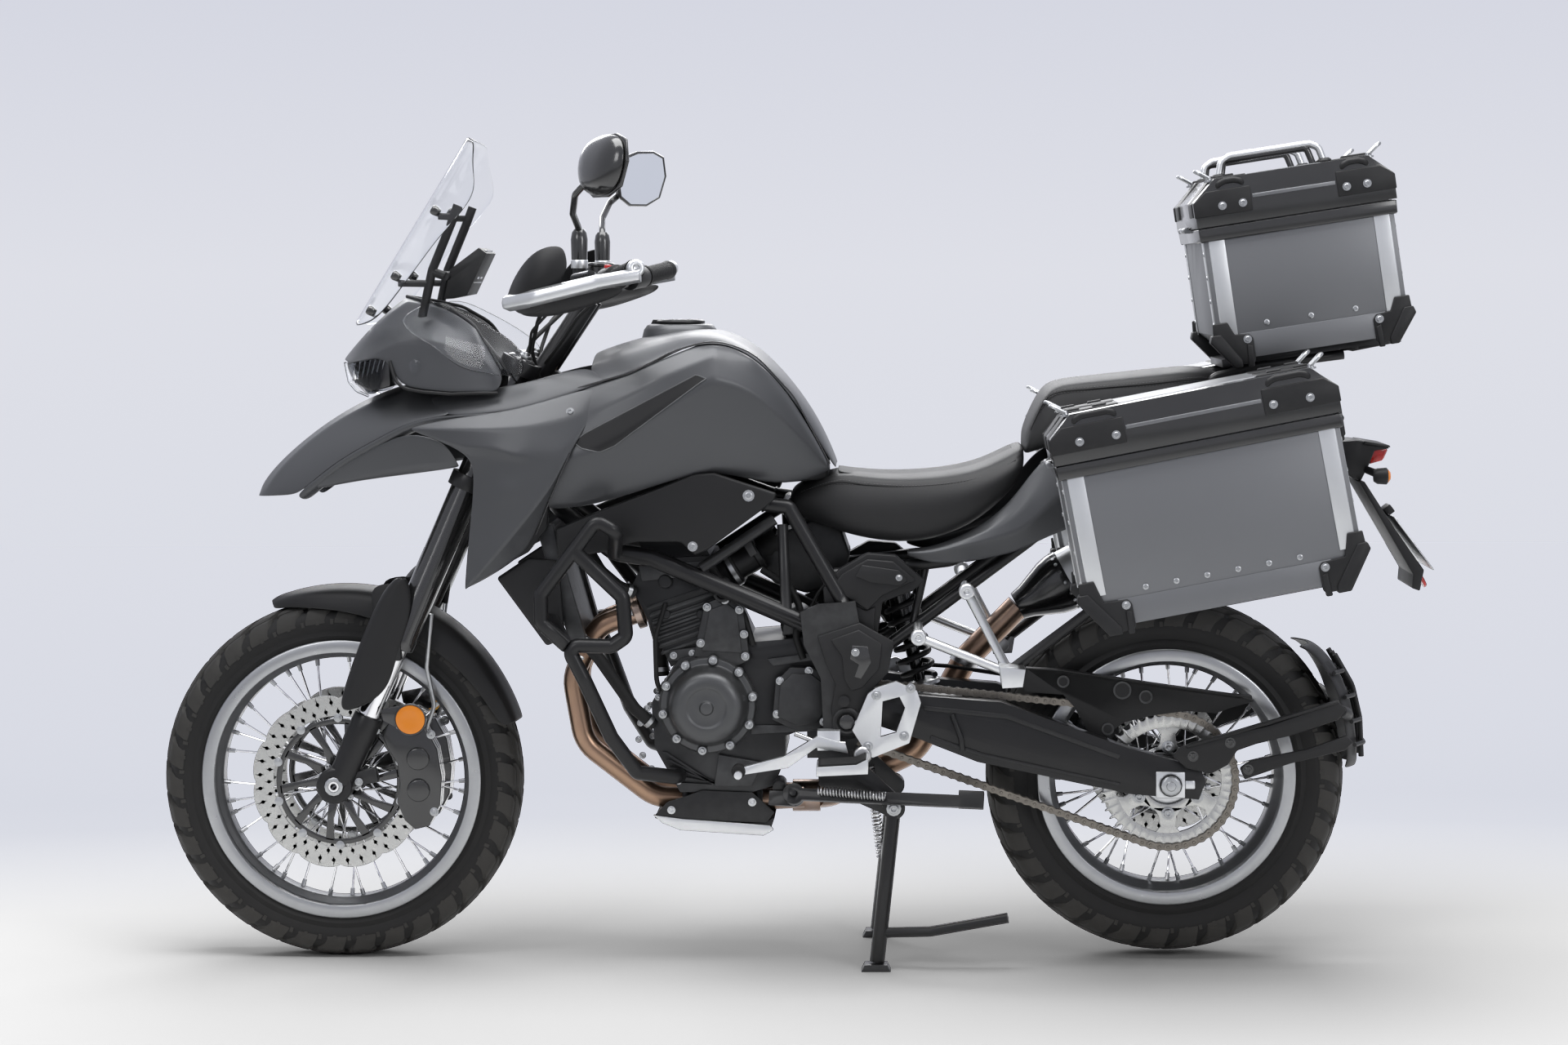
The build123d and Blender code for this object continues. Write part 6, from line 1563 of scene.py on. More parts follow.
def make_front_calipers():
    """Four-piston calipers with bridge bolts, hangers and their hoses."""
    body, trim = Shape(), Shape()
    lane = 66
    outline = [(-735, 424), (-716, 446), (-690, 452), (-655, 432), (-634, 392), (-626, 340), (-630, 290),
        (-650, 252), (-676, 246), (-694, 262), (-708, 296), (-702, 330), (-706, 366), (-724, 396)]
    for flank in BOTH:
        y = flank * lane
        body.prism(outline, y + flank * 8, y + flank * 28)
        body.prism(outline, y - flank * 8, y - flank * 24)
        body.prism([(x, z) for x, z in outline if math.hypot(x - FRONT_AXLE.x, z - FRONT_AXLE.z) > 163],
            y - flank * 9, y + flank * 9)
        for x, z in ((-668, 318), (-668, 376)):
            body.lathe([(0, 21), (5, 21), (7, 18), (7, 0)], (x, y + flank * 28, z), (0, flank, 0), steps=28)
            body.lathe([(0, 20), (4, 18), (4, 0)], (x, y - flank * 24, z), (0, -flank, 0), steps=28)
        for x, z in ((-640, 278), (-644, 420), (-700, 436)):
            trim.bolt((x, y + flank * 28, z), (0, flank, 0), 5.5, 4)
        body.block((-760, y + flank * 20 - 6, 470), (1, 0, -0.6), (0, 1, 0),
            [(0, 0), (92, 0), (92, 12), (0, 12)], -24)
        trim.tube([(-655, y + flank * 8, 428), (-640, y + flank * 6, 470), (-652, y + flank * 12, 540),
            (-640, y + flank * 30, 640)], 4.0, bend=30, sides=10)
    body.done("caliper_bodies", "gloss_black", "steering", replaces="front_calipers", bevel=2.5)
    trim.done("caliper_fittings", "zinc", "steering", bevel=0.4)


# Each row: the points of one cable or hose between the bars and the frame, then its radius
STEERING_LINES = [
    ([(-322, -236, 1232), (-372, -214, 1216), (-432, -150, 1178), (-452, -96, 1116), (-440, -64, 1058)], 3.6),
    ([(-322, -250, 1230), (-396, -226, 1196), (-448, -132, 1150), (-462, -70, 1090)], 2.6),
    ([(-318, 240, 1232), (-384, 206, 1204), (-440, 140, 1168), (-456, 90, 1110), (-446, 62, 1060)], 3.6),
    ([(-330, 190, 1234), (-410, 150, 1190), (-470, 90, 1130), (-500, 50, 1050), (-560, 74, 900),
     (-620, 92, 760), (-640, 96, 640)], 4.2),
    ([(-310, -180, 1222), (-364, -150, 1174), (-400, -110, 1126), (-430, -72, 1092)], 3.0),
]


def make_steering_lines():
    lines = Shape()
    for points, radius in STEERING_LINES:
        lines.tube(points, radius, bend=60, sides=10)
    lines.done("steering_lines", "rubber_black", "steering")


# Engine and exhaust

# The cylinders lean back along this direction
CYLINDER_AXIS = Vector((-0.324, 0, 0.946))
CYLINDER_FOOT = Vector((-148, 0, 566))
# The inlets run up and back along this direction
INTAKE_WAY = (0.86, 0, 0.51)


def make_engine():
    """Cases with ribs, cylinder fins and bosses, throttle bodies, starter and their fasteners."""
    dressed("engine", "engine_black", bevel=2.0)
    across = Vector((0.946, 0, 0.324))
    fins, small, dark, bolts = Shape(), Shape(), Shape(), Shape()
    for level in range(8):
        foot = CYLINDER_FOOT + CYLINDER_AXIS * (24 + level * 12.5)
        low, high = between(-70, -62, level / 7), between(62, 66, level / 7)
        fins.block(foot + Vector((0, -115.5, 0)), across, (0, 1, 0),
            [(low, 0), (high, 0), (high, 231), (low, 231)], 4)
    fins.done("cylinder_fins", "engine_dark", bevel=0.8)
    for flank in BOTH:
        y = flank * 112
        for x, z, radius in ((-214, 700, 13), (-150, 716, 13), (-214, 640, 9), (-150, 640, 9)):
            small.lathe([(0, radius), (flank * 5, radius), (flank * 7, radius - 3), (flank * 7, 0)],
                (x, y, z), steps=24)
        small.prism([(-262, 728), (-256, 700), (-136, 712), (-132, 738)], y - flank * 6, y + flank * 5)
        small.prism([(-212, 556), (-206, 575), (-88, 590), (-70, 575), (-80, 560)], y, y + flank * 8)
        for x, z in ((-200, 566), (-166, 570), (-132, 576), (-98, 580)):
            bolts.bolt((x, flank * 120, z), (0, flank, 0), 4.5, 4)
        for k in range(9):
            turn = math.radians(100 + k * 21)
            bolts.bolt((-190 + 74 * math.cos(turn), flank * 122, 420 + 82 * math.sin(turn)), (0, flank, 0), 4,
                4)
        for k in range(5):
            dark.prism([(-222 + k * 6, 392 - k * 14), (-214 + k * 6, 392 - k * 14), (-120 + k * 6, 330),
                (-128 + k * 6, 330)], flank * 121, flank * 127)
        dark.prism([(-30, 560), (60, 572), (64, 560), (-20, 548)], flank * 121, flank * 129)
        dark.prism([(-60, 440), (62, 440), (62, 430), (-60, 424)], flank * 121, flank * 127)
    small.done("cylinder_bosses", "engine_black", bevel=1.2)
    dark.done("engine_ribs", "engine_black", bevel=1.2)
    bolts.done("engine_bolts", "zinc", bevel=0.3)
    breath, clips = Shape(), Shape()
    for cylinder in (-64, 0, 64):
        breath.lathe([(0, 30), (30, 30), (32, 34), (46, 34), (48, 28), (84, 28), (86, 32), (96, 32), (96, 0)],
            (-128, cylinder, 700), INTAKE_WAY, steps=32)
        clips.lathe([(34, 34.6), (34, 35.4), (42, 35.4), (42, 34.6)], (-128, cylinder, 700), INTAKE_WAY,
            steps=32, closed=True)
    breath.block((-60, -110, 742), (0, 1, 0), INTAKE_WAY, [(0, 0), (220, 0), (220, 14), (0, 14)], -24)
    breath.done("throttle_bodies", "engine_dark", bevel=1)
    clips.done("intake_clips", "zinc")
    starter = Shape()
    starter.lathe([(-82, 0), (-82, 26), (-78, 28), (60, 28), (62, 24), (74, 22), (74, 0)], (20, 0, 616),
        steps=36)
    starter.lathe([(0, 0), (0, 11), (36, 11), (38, 8), (38, 0)], (52, -60, 610), (0, -1, 0), steps=24)
    starter.prism([(36, 600), (74, 606), (70, 640), (34, 634)], -118, -86)
    starter.prism([(-4, 600), (30, 604), (30, 640), (0, 644)], -112, -74)
    starter.done("starter_and_sensors", "engine_dark", bevel=2)


# Each row: the route of a hose or cable on the engine, then its radius
ENGINE_LINES = [
    ([(-150, -104, 742), (-110, -116, 700), (-72, -124, 640), (-56, -128, 585)], 5.5),
    ([(-40, -106, 720), (10, -118, 690), (30, -122, 650), (20, -126, 600), (34, -128, 560)], 6.5),
    ([(80, -96, 700), (92, -112, 640), (70, -124, 590), (62, -130, 550)], 4.0),
    ([(96, -90, 720), (60, -104, 676), (40, -110, 636)], 3.0),
    ([(-360, -120, 770), (-330, -128, 720), (-296, -124, 690), (-270, -112, 680)], 11.0),
    ([(-356, 120, 770), (-320, 130, 716), (-262, 126, 640), (-240, 124, 560), (-236, 118, 500)], 12.0),
    ([(-366, -130, 600), (-330, -138, 560), (-270, -128, 470), (-236, -118, 440)], 11.0),
    ([(-210, -116, 470), (-230, -134, 520), (-232, -130, 600), (-214, -116, 660)], 4.0),
    ([(120, -60, 560), (138, -84, 590), (160, -110, 640), (190, -108, 690)], 3.5),
    ([(90, -140, 470), (112, -134, 440), (120, -120, 380), (128, -80, 350)], 4.0),
]


def make_engine_lines():
    lines, clips = Shape(), Shape()
    for points, radius in ENGINE_LINES:
        lines.tube(points, radius, bend=40, sides=14)
        if radius > 9:
            for end, other in ((points[0], points[1]), (points[-1], points[-2])):
                way = (Vector(other) - Vector(end)).normalized()
                clips.lathe([(8, radius + 1.2), (8, radius + 2), (16, radius + 2), (16, radius + 1.2)], end,
                    way, steps=20, closed=True)
                clips.bolt(Vector(end) + way * 12 + Vector((0, 0, radius + 2)), UP, 2.4, 2)
    lines.done("engine_hoses", "rubber_black")
    clips.done("hose_clips", "zinc")


def make_engine_covers():
    """Stepped alternator, clutch and pump covers with their bolts, and the sprocket cover."""
    skin, bolts, plates = Shape(), Shape(), Shape()
    # Columns: x, z, flange radius, dome radius, flange face, dome face, side
    for x, z, flange, dome, low, high, flank in ((-138, 478, 88, 66, 140, 184, -1),
            (-90, 470, 100, 76, 142, 178, 1), (-190, 400, 40, 30, 150, 160, 1)):
        skin.lathe([(flank * 118, flange), (flank * (low - 6), flange), (flank * low, flange - 4),
            (flank * low, dome + 9), (flank * (low + 6), dome + 4), (flank * (high - 14), dome),
            (flank * (high - 4), dome - 8), (flank * high, dome - 18), (flank * high, dome * 0.56),
            (flank * (high - 3), dome * 0.5), (flank * (high - 3), dome * 0.2),
            (flank * (high + 2), dome * 0.16), (flank * (high + 2), 0)], (x, 0, z), steps=72)
        count = 10 if flange > 60 else 5
        for k in range(count):
            turn = 2 * math.pi * (k + 0.3) / count
            radius = flange - 6
            boss = (x + radius * math.cos(turn), flank * (low - 8), z + radius * math.sin(turn))
            skin.lathe([(0, 10), (flank * 10, 10), (flank * 12, 8), (flank * 12, 0)], boss, steps=16)
            bolts.bolt((boss[0], flank * (low + 4), boss[2]), (0, flank, 0), 5, 4.5)
    skin.done("round_covers", "cover_grey", replaces="engine_covers", bevel=0.8)
    plates.prism([(-162, 566), (-156, 600), (-142, 662), (-100, 676), (-74, 656), (-62, 560), (-84, 548)],
        -120, -134)
    plates.prism([(-148, 576), (-134, 650), (-102, 662), (-84, 648), (-76, 572)], -133, -137)
    for x, z in ((-150, 590), (-138, 655), (-106, 668), (-80, 650), (-72, 606), (-70, 566)):
        plates.lathe([(-120, 9), (-136, 9), (-138, 7), (-138, 0)], (x, 0, z), steps=16)
        bolts.bolt((x, -137, z), (0, -1, 0), 5, 4.5)
    rim = [(-22, 452), (-16, 520), (10, 546), (52, 545), (84, 520), (86, 470), (62, 436), (20, 432)]
    plates.prism(rim, -120, -140)
    plates.prism([(30 + (x - 30) * 0.82, 488 + (z - 488) * 0.82) for x, z in rim], -139, -146)
    for x, z in ((-14, 462), (-8, 522), (44, 540), (80, 506), (70, 448)):
        bolts.bolt((x, -140, z), (0, -1, 0), 5, 4.5)
    plates.prism([(-128, 330), (-60, 330), (-40, 372), (-120, 388)], -120, -130)
    plates.prism([(-20, 560), (40, 566), (50, 548), (-14, 540)], 120, 128)
    plates.done("cover_plates", "engine_black", bevel=1.6)
    bolts.done("cover_bolts", "zinc", bevel=0.3)


HEADER_ROUTE = [(-262, 52, 640), (-345, 56, 612), (-388, 60, 520), (-368, 60, 400), (-240, 58, 300),
    (-100, 50, 291), (30, 24, 293)]
LINK_ROUTE = [(50, 0, 293), (80, 40, 290), (112, 176, 292), (236, 186, 350), (330, 188, 520), (430, 184, 622)]


def make_exhaust_pipes():
    """Heat-tinted headers that curve under the engine to the collector and the link pipe."""
    pipes, seams, springs = Shape(), Shape(), Shape()
    for flank in BOTH:
        pipes.tube([(x, flank * y, z) for x, y, z in HEADER_ROUTE], 19, bend=70, sides=36)
        pipes.lathe([(-6, 30), (-6, 33), (6, 33), (6, 24), (-6, 24)], (-268, flank * 52, 641),
            (-0.95, 0, -0.32), steps=36)
        seams.lathe([(-3, 19.3), (0, 20.6), (3, 19.3)], (-376, flank * 60, 560), (-0.42, 0, -0.9), steps=32)
        for side in (-1, 1):
            springs.bolt((-276, flank * 52 + side * 26, 639), (-0.95, 0, -0.32), 5, 7)
    pipes.tube([(10, 0, 293), (60, 0, 293)], 29, sides=40)
    pipes.tube(LINK_ROUTE, 24, bend=70, sides=40)
    seams.lathe([(-8, 24.4), (-8, 27), (8, 27), (8, 24.4)], (330, 188, 520), (0.42, 0, 0.9), steps=36)
    pipes.done("header_pipes", "header_brown", replaces="exhaust_pipes")
    seams.done("pipe_seams", "steel", bevel=0.5)
    springs.done("header_nuts", "zinc")


SILENCER_START = Vector((430, 184, 622))
SILENCER_WAY = Vector((0.876, 0, 0.482))


def make_silencer():
    """Oval can with riveted end caps, a rolled outlet and the strap that carries it."""
    can, caps, rivets, strap = Shape(), Shape(), Shape(), Shape()
    tall = Vector((-SILENCER_WAY.z, 0, SILENCER_WAY.x))

    def oval(along, side, height, corner=2.5, count=40):
        ring = []
        for k in range(count):
            turn = 2 * math.pi * k / count
            a, b = math.cos(turn), math.sin(turn)
            ring.append(SILENCER_START + SILENCER_WAY * along + Vector((0, 1, 0)) * side
                * math.copysign(abs(a) ** (2 / corner), a) + tall * height
                * math.copysign(abs(b) ** (2 / corner), b))
        return ring

    can.loft([oval(86, 37.6, 55.6), oval(300, 37.2, 54.4)])
    caps.loft([oval(0, 27, 27, 2), oval(20, 30, 32, 2), oval(70, 37, 53), oval(90, 39, 57.5),
        oval(108, 39, 57.5), oval(109, 37.8, 55.8)])
    caps.loft([oval(286, 37.8, 55), oval(287, 38.8, 56.4), oval(306, 38.6, 56), oval(326, 33, 47),
        oval(330, 28, 42), oval(326, 25, 38), oval(318, 24, 37)])
    for along in (100, 294):
        for point in oval(along, 39.2, 57.4, count=20):
            centre = SILENCER_START + SILENCER_WAY * along
            rivets.lathe([(0, 3.6), (1.2, 3.0), (1.8, 0)], point, (point - centre).normalized(), steps=10)
    strap.loft([oval(196, 38.6, 57), oval(197, 39.6, 58), oval(219, 39.6, 58), oval(220, 38.6, 57)])
    outlet = SILENCER_START + SILENCER_WAY * 316
    can.lathe([(0, 16), (34, 16), (36, 18), (34, 20), (0, 20)], outlet - Vector((0, 0, 12)), SILENCER_WAY,
        steps=36)
    can.done("silencer_can", "case_silver", replaces="silencer", slot="silver_cast")
    caps.done("silencer_caps", "gloss_black", bevel=0.6)
    rivets.done("silencer_rivets", "zinc")
    strap.done("silencer_strap", "frame_black", bevel=0.6)


def make_radiator():
    """Core of folded fins between two tanks."""
    core, tanks, guard = Shape(), Shape(), Shape()
    top, foot = Vector((-426, 0, 800)), Vector((-367, 0, 588))
    down = (foot - top).normalized()
    normal = Vector((down.z, 0, -down.x))
    length = (foot - top).length
    core.block(top + Vector((0, -128, 0)) - normal * 8, (0, 1, 0), down,
        [(0, 0), (256, 0), (256, length), (0, length)], 16)
    for k in range(44):
        at = 4 + k * (length - 8) / 43
        guard.block(top + down * at + Vector((0, -126, 0)) + normal * 8, (0, 1, 0), down,
            [(0, 0), (252, 0), (252, 2.2), (0, 2.2)], 3.4)
    for flank in BOTH:
        tanks.block(top + Vector((0, flank * 139 - 12, 0)) + normal * -15 - down * 4, (0, 1, 0), down,
            [(0, 0), (24, 0), (24, length + 8), (0, length + 8)], 30)
    for at in (0, length):
        tanks.block(top + down * (at - 7) + Vector((0, -150, 0)) - normal * 12, (0, 1, 0), down,
            [(0, 0), (300, 0), (300, 14), (0, 14)], 24)
    core.done("radiator_core", "engine_dark", replaces="radiator")
    guard.done("radiator_fins", "steel")
    tanks.done("radiator_tanks", "engine_black", bevel=2.5)


def make_skid_plate():
    dressed("skid_plate", "engine_dark", bevel=2.0, slot="silver_cast")
    ribs, sides = Shape(), Shape()
    for y in (-90, -54, -18, 18, 54, 90):
        ribs.prism([(-222, 262), (-184, 249), (-34, 249), (-30, 252), (-186, 253)], y - 7, y + 7)
    for flank in BOTH:
        sides.prism([(-236, 276), (-214, 300), (-150, 322), (-60, 318), (-20, 282), (-34, 262), (-200, 270)],
            flank * 122, flank * 126)
        ribs.prism([(-238, 277), (-222, 263), (-190, 250), (-40, 240), (-22, 250), (-28, 258), (-186, 270)],
            flank * 119, flank * 129)
        for x, z in ((-206, 286), (-60, 300)):
            ribs.bolt((x, flank * 126, z), (0, flank, 0), 5, 3)
    ribs.done("skid_ribs", "silver_cast", bevel=1.6)
    sides.done("skid_sides", "engine_dark", bevel=1.6)


# Frame and guards

# The cast cover over the swingarm pivot, the ridge on it and the hollow in the ridge
PIVOT_COVER = [(60, 606), (136, 630), (196, 596), (186, 540), (158, 510), (142, 482), (136, 424), (92, 420),
    (84, 476), (92, 520), (74, 560)]
PIVOT_RIDGE = [(84, 600), (134, 618), (176, 592), (170, 548), (140, 514), (120, 508), (108, 530), (104, 570)]
PIVOT_HOLLOW = [(122, 590), (150, 588), (156, 560), (138, 530), (126, 534), (134, 556), (118, 566)]
AIR_BOX = [(-30, 772), (60, 810), (98, 800), (118, 742), (104, 690), (40, 672), (-20, 690), (-42, 730)]


def make_frame():
    """Trellis tubes with weld beads, round bosses, the covers of the pivot plates and the air box."""
    dressed("main_frame", "frame_black")
    dressed("subframe", "frame_black")
    welds, caps = Shape(), Shape()
    for flank in BOTH:
        for x, z, lane in ((-110, 681, 146), (107, 490, 160), (-116, 640, 130), (178, 582, 150)):
            caps.lathe([(flank * (lane - 22), 17), (flank * (lane - 2), 17), (flank * lane, 15),
                (flank * lane, 11), (flank * (lane - 3), 10), (flank * (lane - 3), 0)], (x, 0, z), steps=32)
        for x, z in ((-302, 756), (-29, 839), (98, 680), (-147, 726), (127, 649)):
            welds.lathe([(-2.5, 15.5), (0, 17.2), (2.5, 15.5)], (x, flank * 132, z), (0.8, 0, -0.55),
                steps=24)
    caps.done("frame_bosses", "frame_black", bevel=0.8)
    welds.done("frame_welds", "frame_black")
    covers, hollows, screws = Shape(), Shape(), Shape()
    covers.prism(PIVOT_COVER, -168, -176)
    covers.prism(PIVOT_RIDGE, -174, -181)
    covers.lathe([(-166, 27), (-178, 27), (-181, 24), (-181, 18), (-176, 16), (-176, 0)], (112, 0, 452),
        steps=48)
    hollows.prism(PIVOT_HOLLOW, -180, -182)
    hollows.lathe([(-176, 15), (-179, 13), (-179, 0)], (112, 0, 452), steps=36)
    screws.bolt((128, -182, 578), (0, -1, 0), 5, 4)
    covers.done("pivot_covers", "plastic_black", bevel=2.4)
    hollows.done("pivot_hollows", "gloss_black", bevel=0.8)
    screws.done("pivot_screws", "zinc")
    box, joints = Shape(), Shape()
    box.loft([[(x, y, z) for x, z in AIR_BOX] for y in (-62, -54, 54, 62)])
    for y in (-40, 0, 40):
        joints.lathe([(0, 25), (8, 27), (16, 25), (24, 27), (32, 25), (40, 27), (48, 25)], (-52, y, 742),
            INTAKE_WAY, steps=28)
    box.done("air_box", "engine_dark", bevel=5)
    joints.done("air_box_ducts", "rubber_black")


def make_engine_guard():
    """Bent crash bars with their flattened feet and clamps."""
    dressed("engine_guard", "frame_black")


# Seats and rear panels

# Columns: x, half width at the top and of the bulge, heights of the low edge, bulge, seam and crown
RIDER_SEAT = [
    (8, 58, 72, 818, 836, 848, 856), (30, 74, 88, 808, 838, 862, 872), (95, 104, 124, 786, 838, 884, 899),
    (150, 122, 142, 772, 832, 880, 889), (225, 136, 156, 764, 830, 876, 887), (303, 144, 166, 782, 842, 882,
     894),
    (359, 142, 164, 814, 862, 894, 908), (412, 130, 150, 862, 894, 920, 936), (434, 118, 132, 900, 914, 930,
     942),
]
PILLION_SEAT = [
    (430, 104, 118, 922, 934, 946, 956), (442, 114, 130, 926, 948, 976, 990), (466, 124, 142, 934, 968, 1026,
     1038),
    (490, 128, 146, 942, 980, 1044, 1054), (548, 134, 152, 954, 1000, 1050, 1059), (650, 134, 150, 972, 1014,
     1058, 1070),
    (740, 120, 134, 998, 1032, 1066, 1079), (776, 96, 108, 1024, 1040, 1060, 1072), (786, 80, 88, 1034, 1044,
     1054, 1062),
]


def cushion_rings(table):
    """Sections from the middle of the base, round the bulge and seam, to the crown and back down."""
    rings = []
    for x, top, bulge, low, middle, seam, crown in table:
        half = [(0, low + 2), (top * 0.7, low), (bulge * 0.93, low + 4), (bulge, middle),
            (between(bulge, top, 0.5), between(middle, seam, 0.6)), (top, seam),
            (top * 0.93, between(seam, crown, 0.62)), (top * 0.6, crown + 1), (0, crown)]
        rings.append([(x, y, z) for y, z in half] + [(x, -y, z) for y, z in reversed(half[1:-1])])
    return rings


def seam_route(table, lift=0.0, drop=0.0):
    return [(x, top + (bulge - top) * 0.12 + lift, seam - drop)
        for x, top, bulge, low, middle, seam, crown in table]


def stitches(shape, route, length=3.6, gap=2.2):
    """Short proud threads laid end to end along a route."""
    route = [Vector(point) for point in route]
    smooth_route = []
    for index in range(len(route) - 1):
        before = route[max(index - 1, 0)]
        start, end = route[index], route[index + 1]
        after = route[min(index + 2, len(route) - 1)]
        for step in range(12):
            t = step / 12
            smooth_route.append(0.5 * ((2 * start) + (end - before) * t
                + (2 * before - 5 * start + 4 * end - after) * t * t + (3 * start - before - 3 * end + after)
                * t ** 3))
    smooth_route.append(route[-1])
    travelled, place_at = 0.0, 0.0
    for first, second in zip(smooth_route, smooth_route[1:]):
        run = (second - first).length
        way = (second - first).normalized()
        while place_at < travelled + run:
            foot = first + way * (place_at - travelled)
            across, beside = side_axes(way)
            corners = [foot + across * 0.7, foot + beside * 0.7, foot - across * 0.7, foot - beside * 0.7]
            ring = shape.ring(corners)
            far = shape.ring([corner + way * length for corner in corners])
            shape.bridge(ring, far)
            place_at += length + gap
        travelled += run
    return smooth_route


def make_seat(name, table, replaced, finish):
    """A foam seat with its cover: rolled edge, side seam with piping and two rows of stitches."""
    skin, seam, thread = Shape(), Shape(), Shape()
    skin.loft(cushion_rings(table))
    cushion = skin.done(name, finish, replaces=replaced, smooth=2, slot="seat_black")
    for flank in BOTH:
        for lift, drop in ((0.6, 4.5), (0.4, 11.0)):
            route = [(x, flank * y, z) for x, y, z in seam_route(table[1:-1], lift, drop)]
            line = stitches(thread, route)
            if drop < 6:
                seam.tube([point + Vector((0, 0, -3.2)) for point in line], 0.9, sides=6)
    seam.done(name + "_seam", "rubber_black", slot="seat_black")
    thread.done(name + "_stitches", "thread")


def make_seats():
    make_seat("rider_cushion", RIDER_SEAT, "rider_seat", "seat_black")
    make_seat("pillion_cushion", PILLION_SEAT, "pillion_seat", "seat_black")
    panel = Shape()
    rows = []
    for x, top, bulge, low, middle, seam, crown in RIDER_SEAT[2:-1]:
        rows.append([(x, y * top * 0.80, between(crown, between(seam, crown, 0.62), abs(y) ** 2) + 1.6)
            for y in (-1, -0.75, -0.5, -0.2, 0.2, 0.5, 0.75, 1)])
    panel.grid(rows)
    panel.done("rider_seat_panel", "seat_ribbed", smooth=2, thickness=1.5)


def make_side_covers():
    """Black infill panels with a raised field, a recessed triangular hatch and its screw."""
    panel, hatch, screws = Shape(), Shape(), Shape()
    outer = [(74, 640), (70, 690), (100, 724), (150, 752), (200, 748), (252, 702), (230, 684), (176, 664),
        (168, 606), (148, 596), (128, 620)]
    for flank in BOTH:
        panel.prism(outer, flank * 120, flank * 150)
        panel.prism([(86, 690), (104, 716), (150, 742), (196, 738), (236, 704), (176, 676), (150, 650)],
            flank * 149, flank * 158)
        panel.prism([(84, 680), (96, 650), (140, 612), (160, 606), (164, 656), (146, 650)], flank * 149,
            flank * 155)
        hatch.prism([(128, 712), (140, 732), (206, 722), (222, 704), (208, 694), (156, 700)], flank * 157,
            flank * 161)
        screws.bolt((206, flank * 161, 709), (0, flank, 0), 4, 2)
    panel.done("side_panels", "plastic_black", replaces="side_covers", bevel=4, segments=3)
    hatch.done("side_hatches", "plastic_black", bevel=1.5)
    screws.done("side_screws", "zinc")


# Columns: x, upper z, crease z, lower z, half width at the upper edge, at the crease and at the lower edge
TAIL = [
    (219, 756, 752, 746, 128, 136, 134), (262, 762, 750, 733, 134, 150, 140), (308, 778, 764, 732, 140, 160,
     146),
    (360, 804, 776, 741, 146, 167, 150), (411, 850, 786, 752, 148, 168, 150), (446, 902, 806, 768, 146, 167,
     148),
    (480, 930, 848, 784, 146, 166, 146), (540, 944, 880, 806, 144, 164, 144), (640, 962, 906, 850, 142, 162,
     142),
    (760, 994, 940, 888, 140, 158, 138), (880, 1016, 970, 930, 136, 150, 132), (960, 1018, 988, 962, 128, 138,
     126),
    (1000, 992, 988, 984, 120, 124, 120),
]


def make_tail():
    """Long tail panels with a crease that runs back and up, closed underneath by the black undertray."""
    tray = Shape()
    rows = []
    for x, top, crease, low, upper, middle, lower in TAIL:
        rows.append([(x, upper - 6, top), (x, upper, top - 2),
            (x, between(upper, middle, 0.7), between(top, crease, 0.5)), (x, middle, crease),
            (x, between(middle, lower, 0.6), between(crease, low, 0.6)), (x, lower, low),
            (x, lower - 10, low)])
    moulding("tail_skins", rows, replaces="tail_panels", smooth=2, thickness=3, crease_angle=18)
    tray.prism([(440, 770), (600, 836), (760, 886), (960, 960), (990, 986), (900, 1000), (700, 960),
        (470, 900)], -118, 118)
    tray.done("undertray", "plastic_black", bevel=4)


# Rear suspension and drive

def make_swingarm():
    """Box-section arm with its crease lines, axle slots, adjusters and axle nut."""
    dressed("swingarm", "frame_black", bevel=3.0)
    ribs, blocks, nut = Shape(), Shape(), Shape()
    axle = REAR_AXLE
    for flank in BOTH:
        y = flank * 152
        ribs.prism([(250, 478), (400, 462), (600, 388), (596, 381), (398, 454), (250, 470)], y - flank * 3,
            y + flank * 2.4)
        ribs.prism([(262, 424), (356, 392), (600, 338), (600, 333), (354, 386), (260, 418)], y - flank * 3,
            y + flank * 2.4)
        for back, front, half, face in ((-26, 26, 24, 6), (26, 44, 8, 3)):
            corners = [(back, -half), (front, -half), (front, half), (back, half)]
            blocks.prism([(axle.x + x, axle.z + z) for x, z in corners], y - flank * 4, y + flank * face)
        nut.lathe([(y + flank * 5, 0), (y + flank * 5, 22), (y + flank * 7, 22), (y + flank * 7, 18),
            (y + flank * 19, 18), (y + flank * 21, 15), (y + flank * 21, 9), (y + flank * 24, 8),
            (y + flank * 24, 0)], (axle.x, 0, axle.z), steps=12)
        nut.lathe([(0, 4), (40, 4), (40, 7), (48, 7), (48, 0)], (axle.x + 24, y - flank * 8, axle.z),
            (1, 0, -0.12), steps=12)
        ribs.lathe([(flank * 110, 34), (flank * 158, 34), (flank * 162, 30), (flank * 162, 17),
            (flank * 158, 15), (flank * 158, 0)], (107, 0, 490), steps=40)
        ribs.tube([(300, flank * 156, 462), (316, flank * 160, 420), (318, flank * 158, 398)], 5, bend=10,
            sides=10)
    ribs.done("arm_ribs", "frame_black", bevel=0.8)
    blocks.done("axle_blocks", "silver_cast", bevel=2, slot="steel")
    nut.done("axle_nuts", "zinc", bevel=0.6)


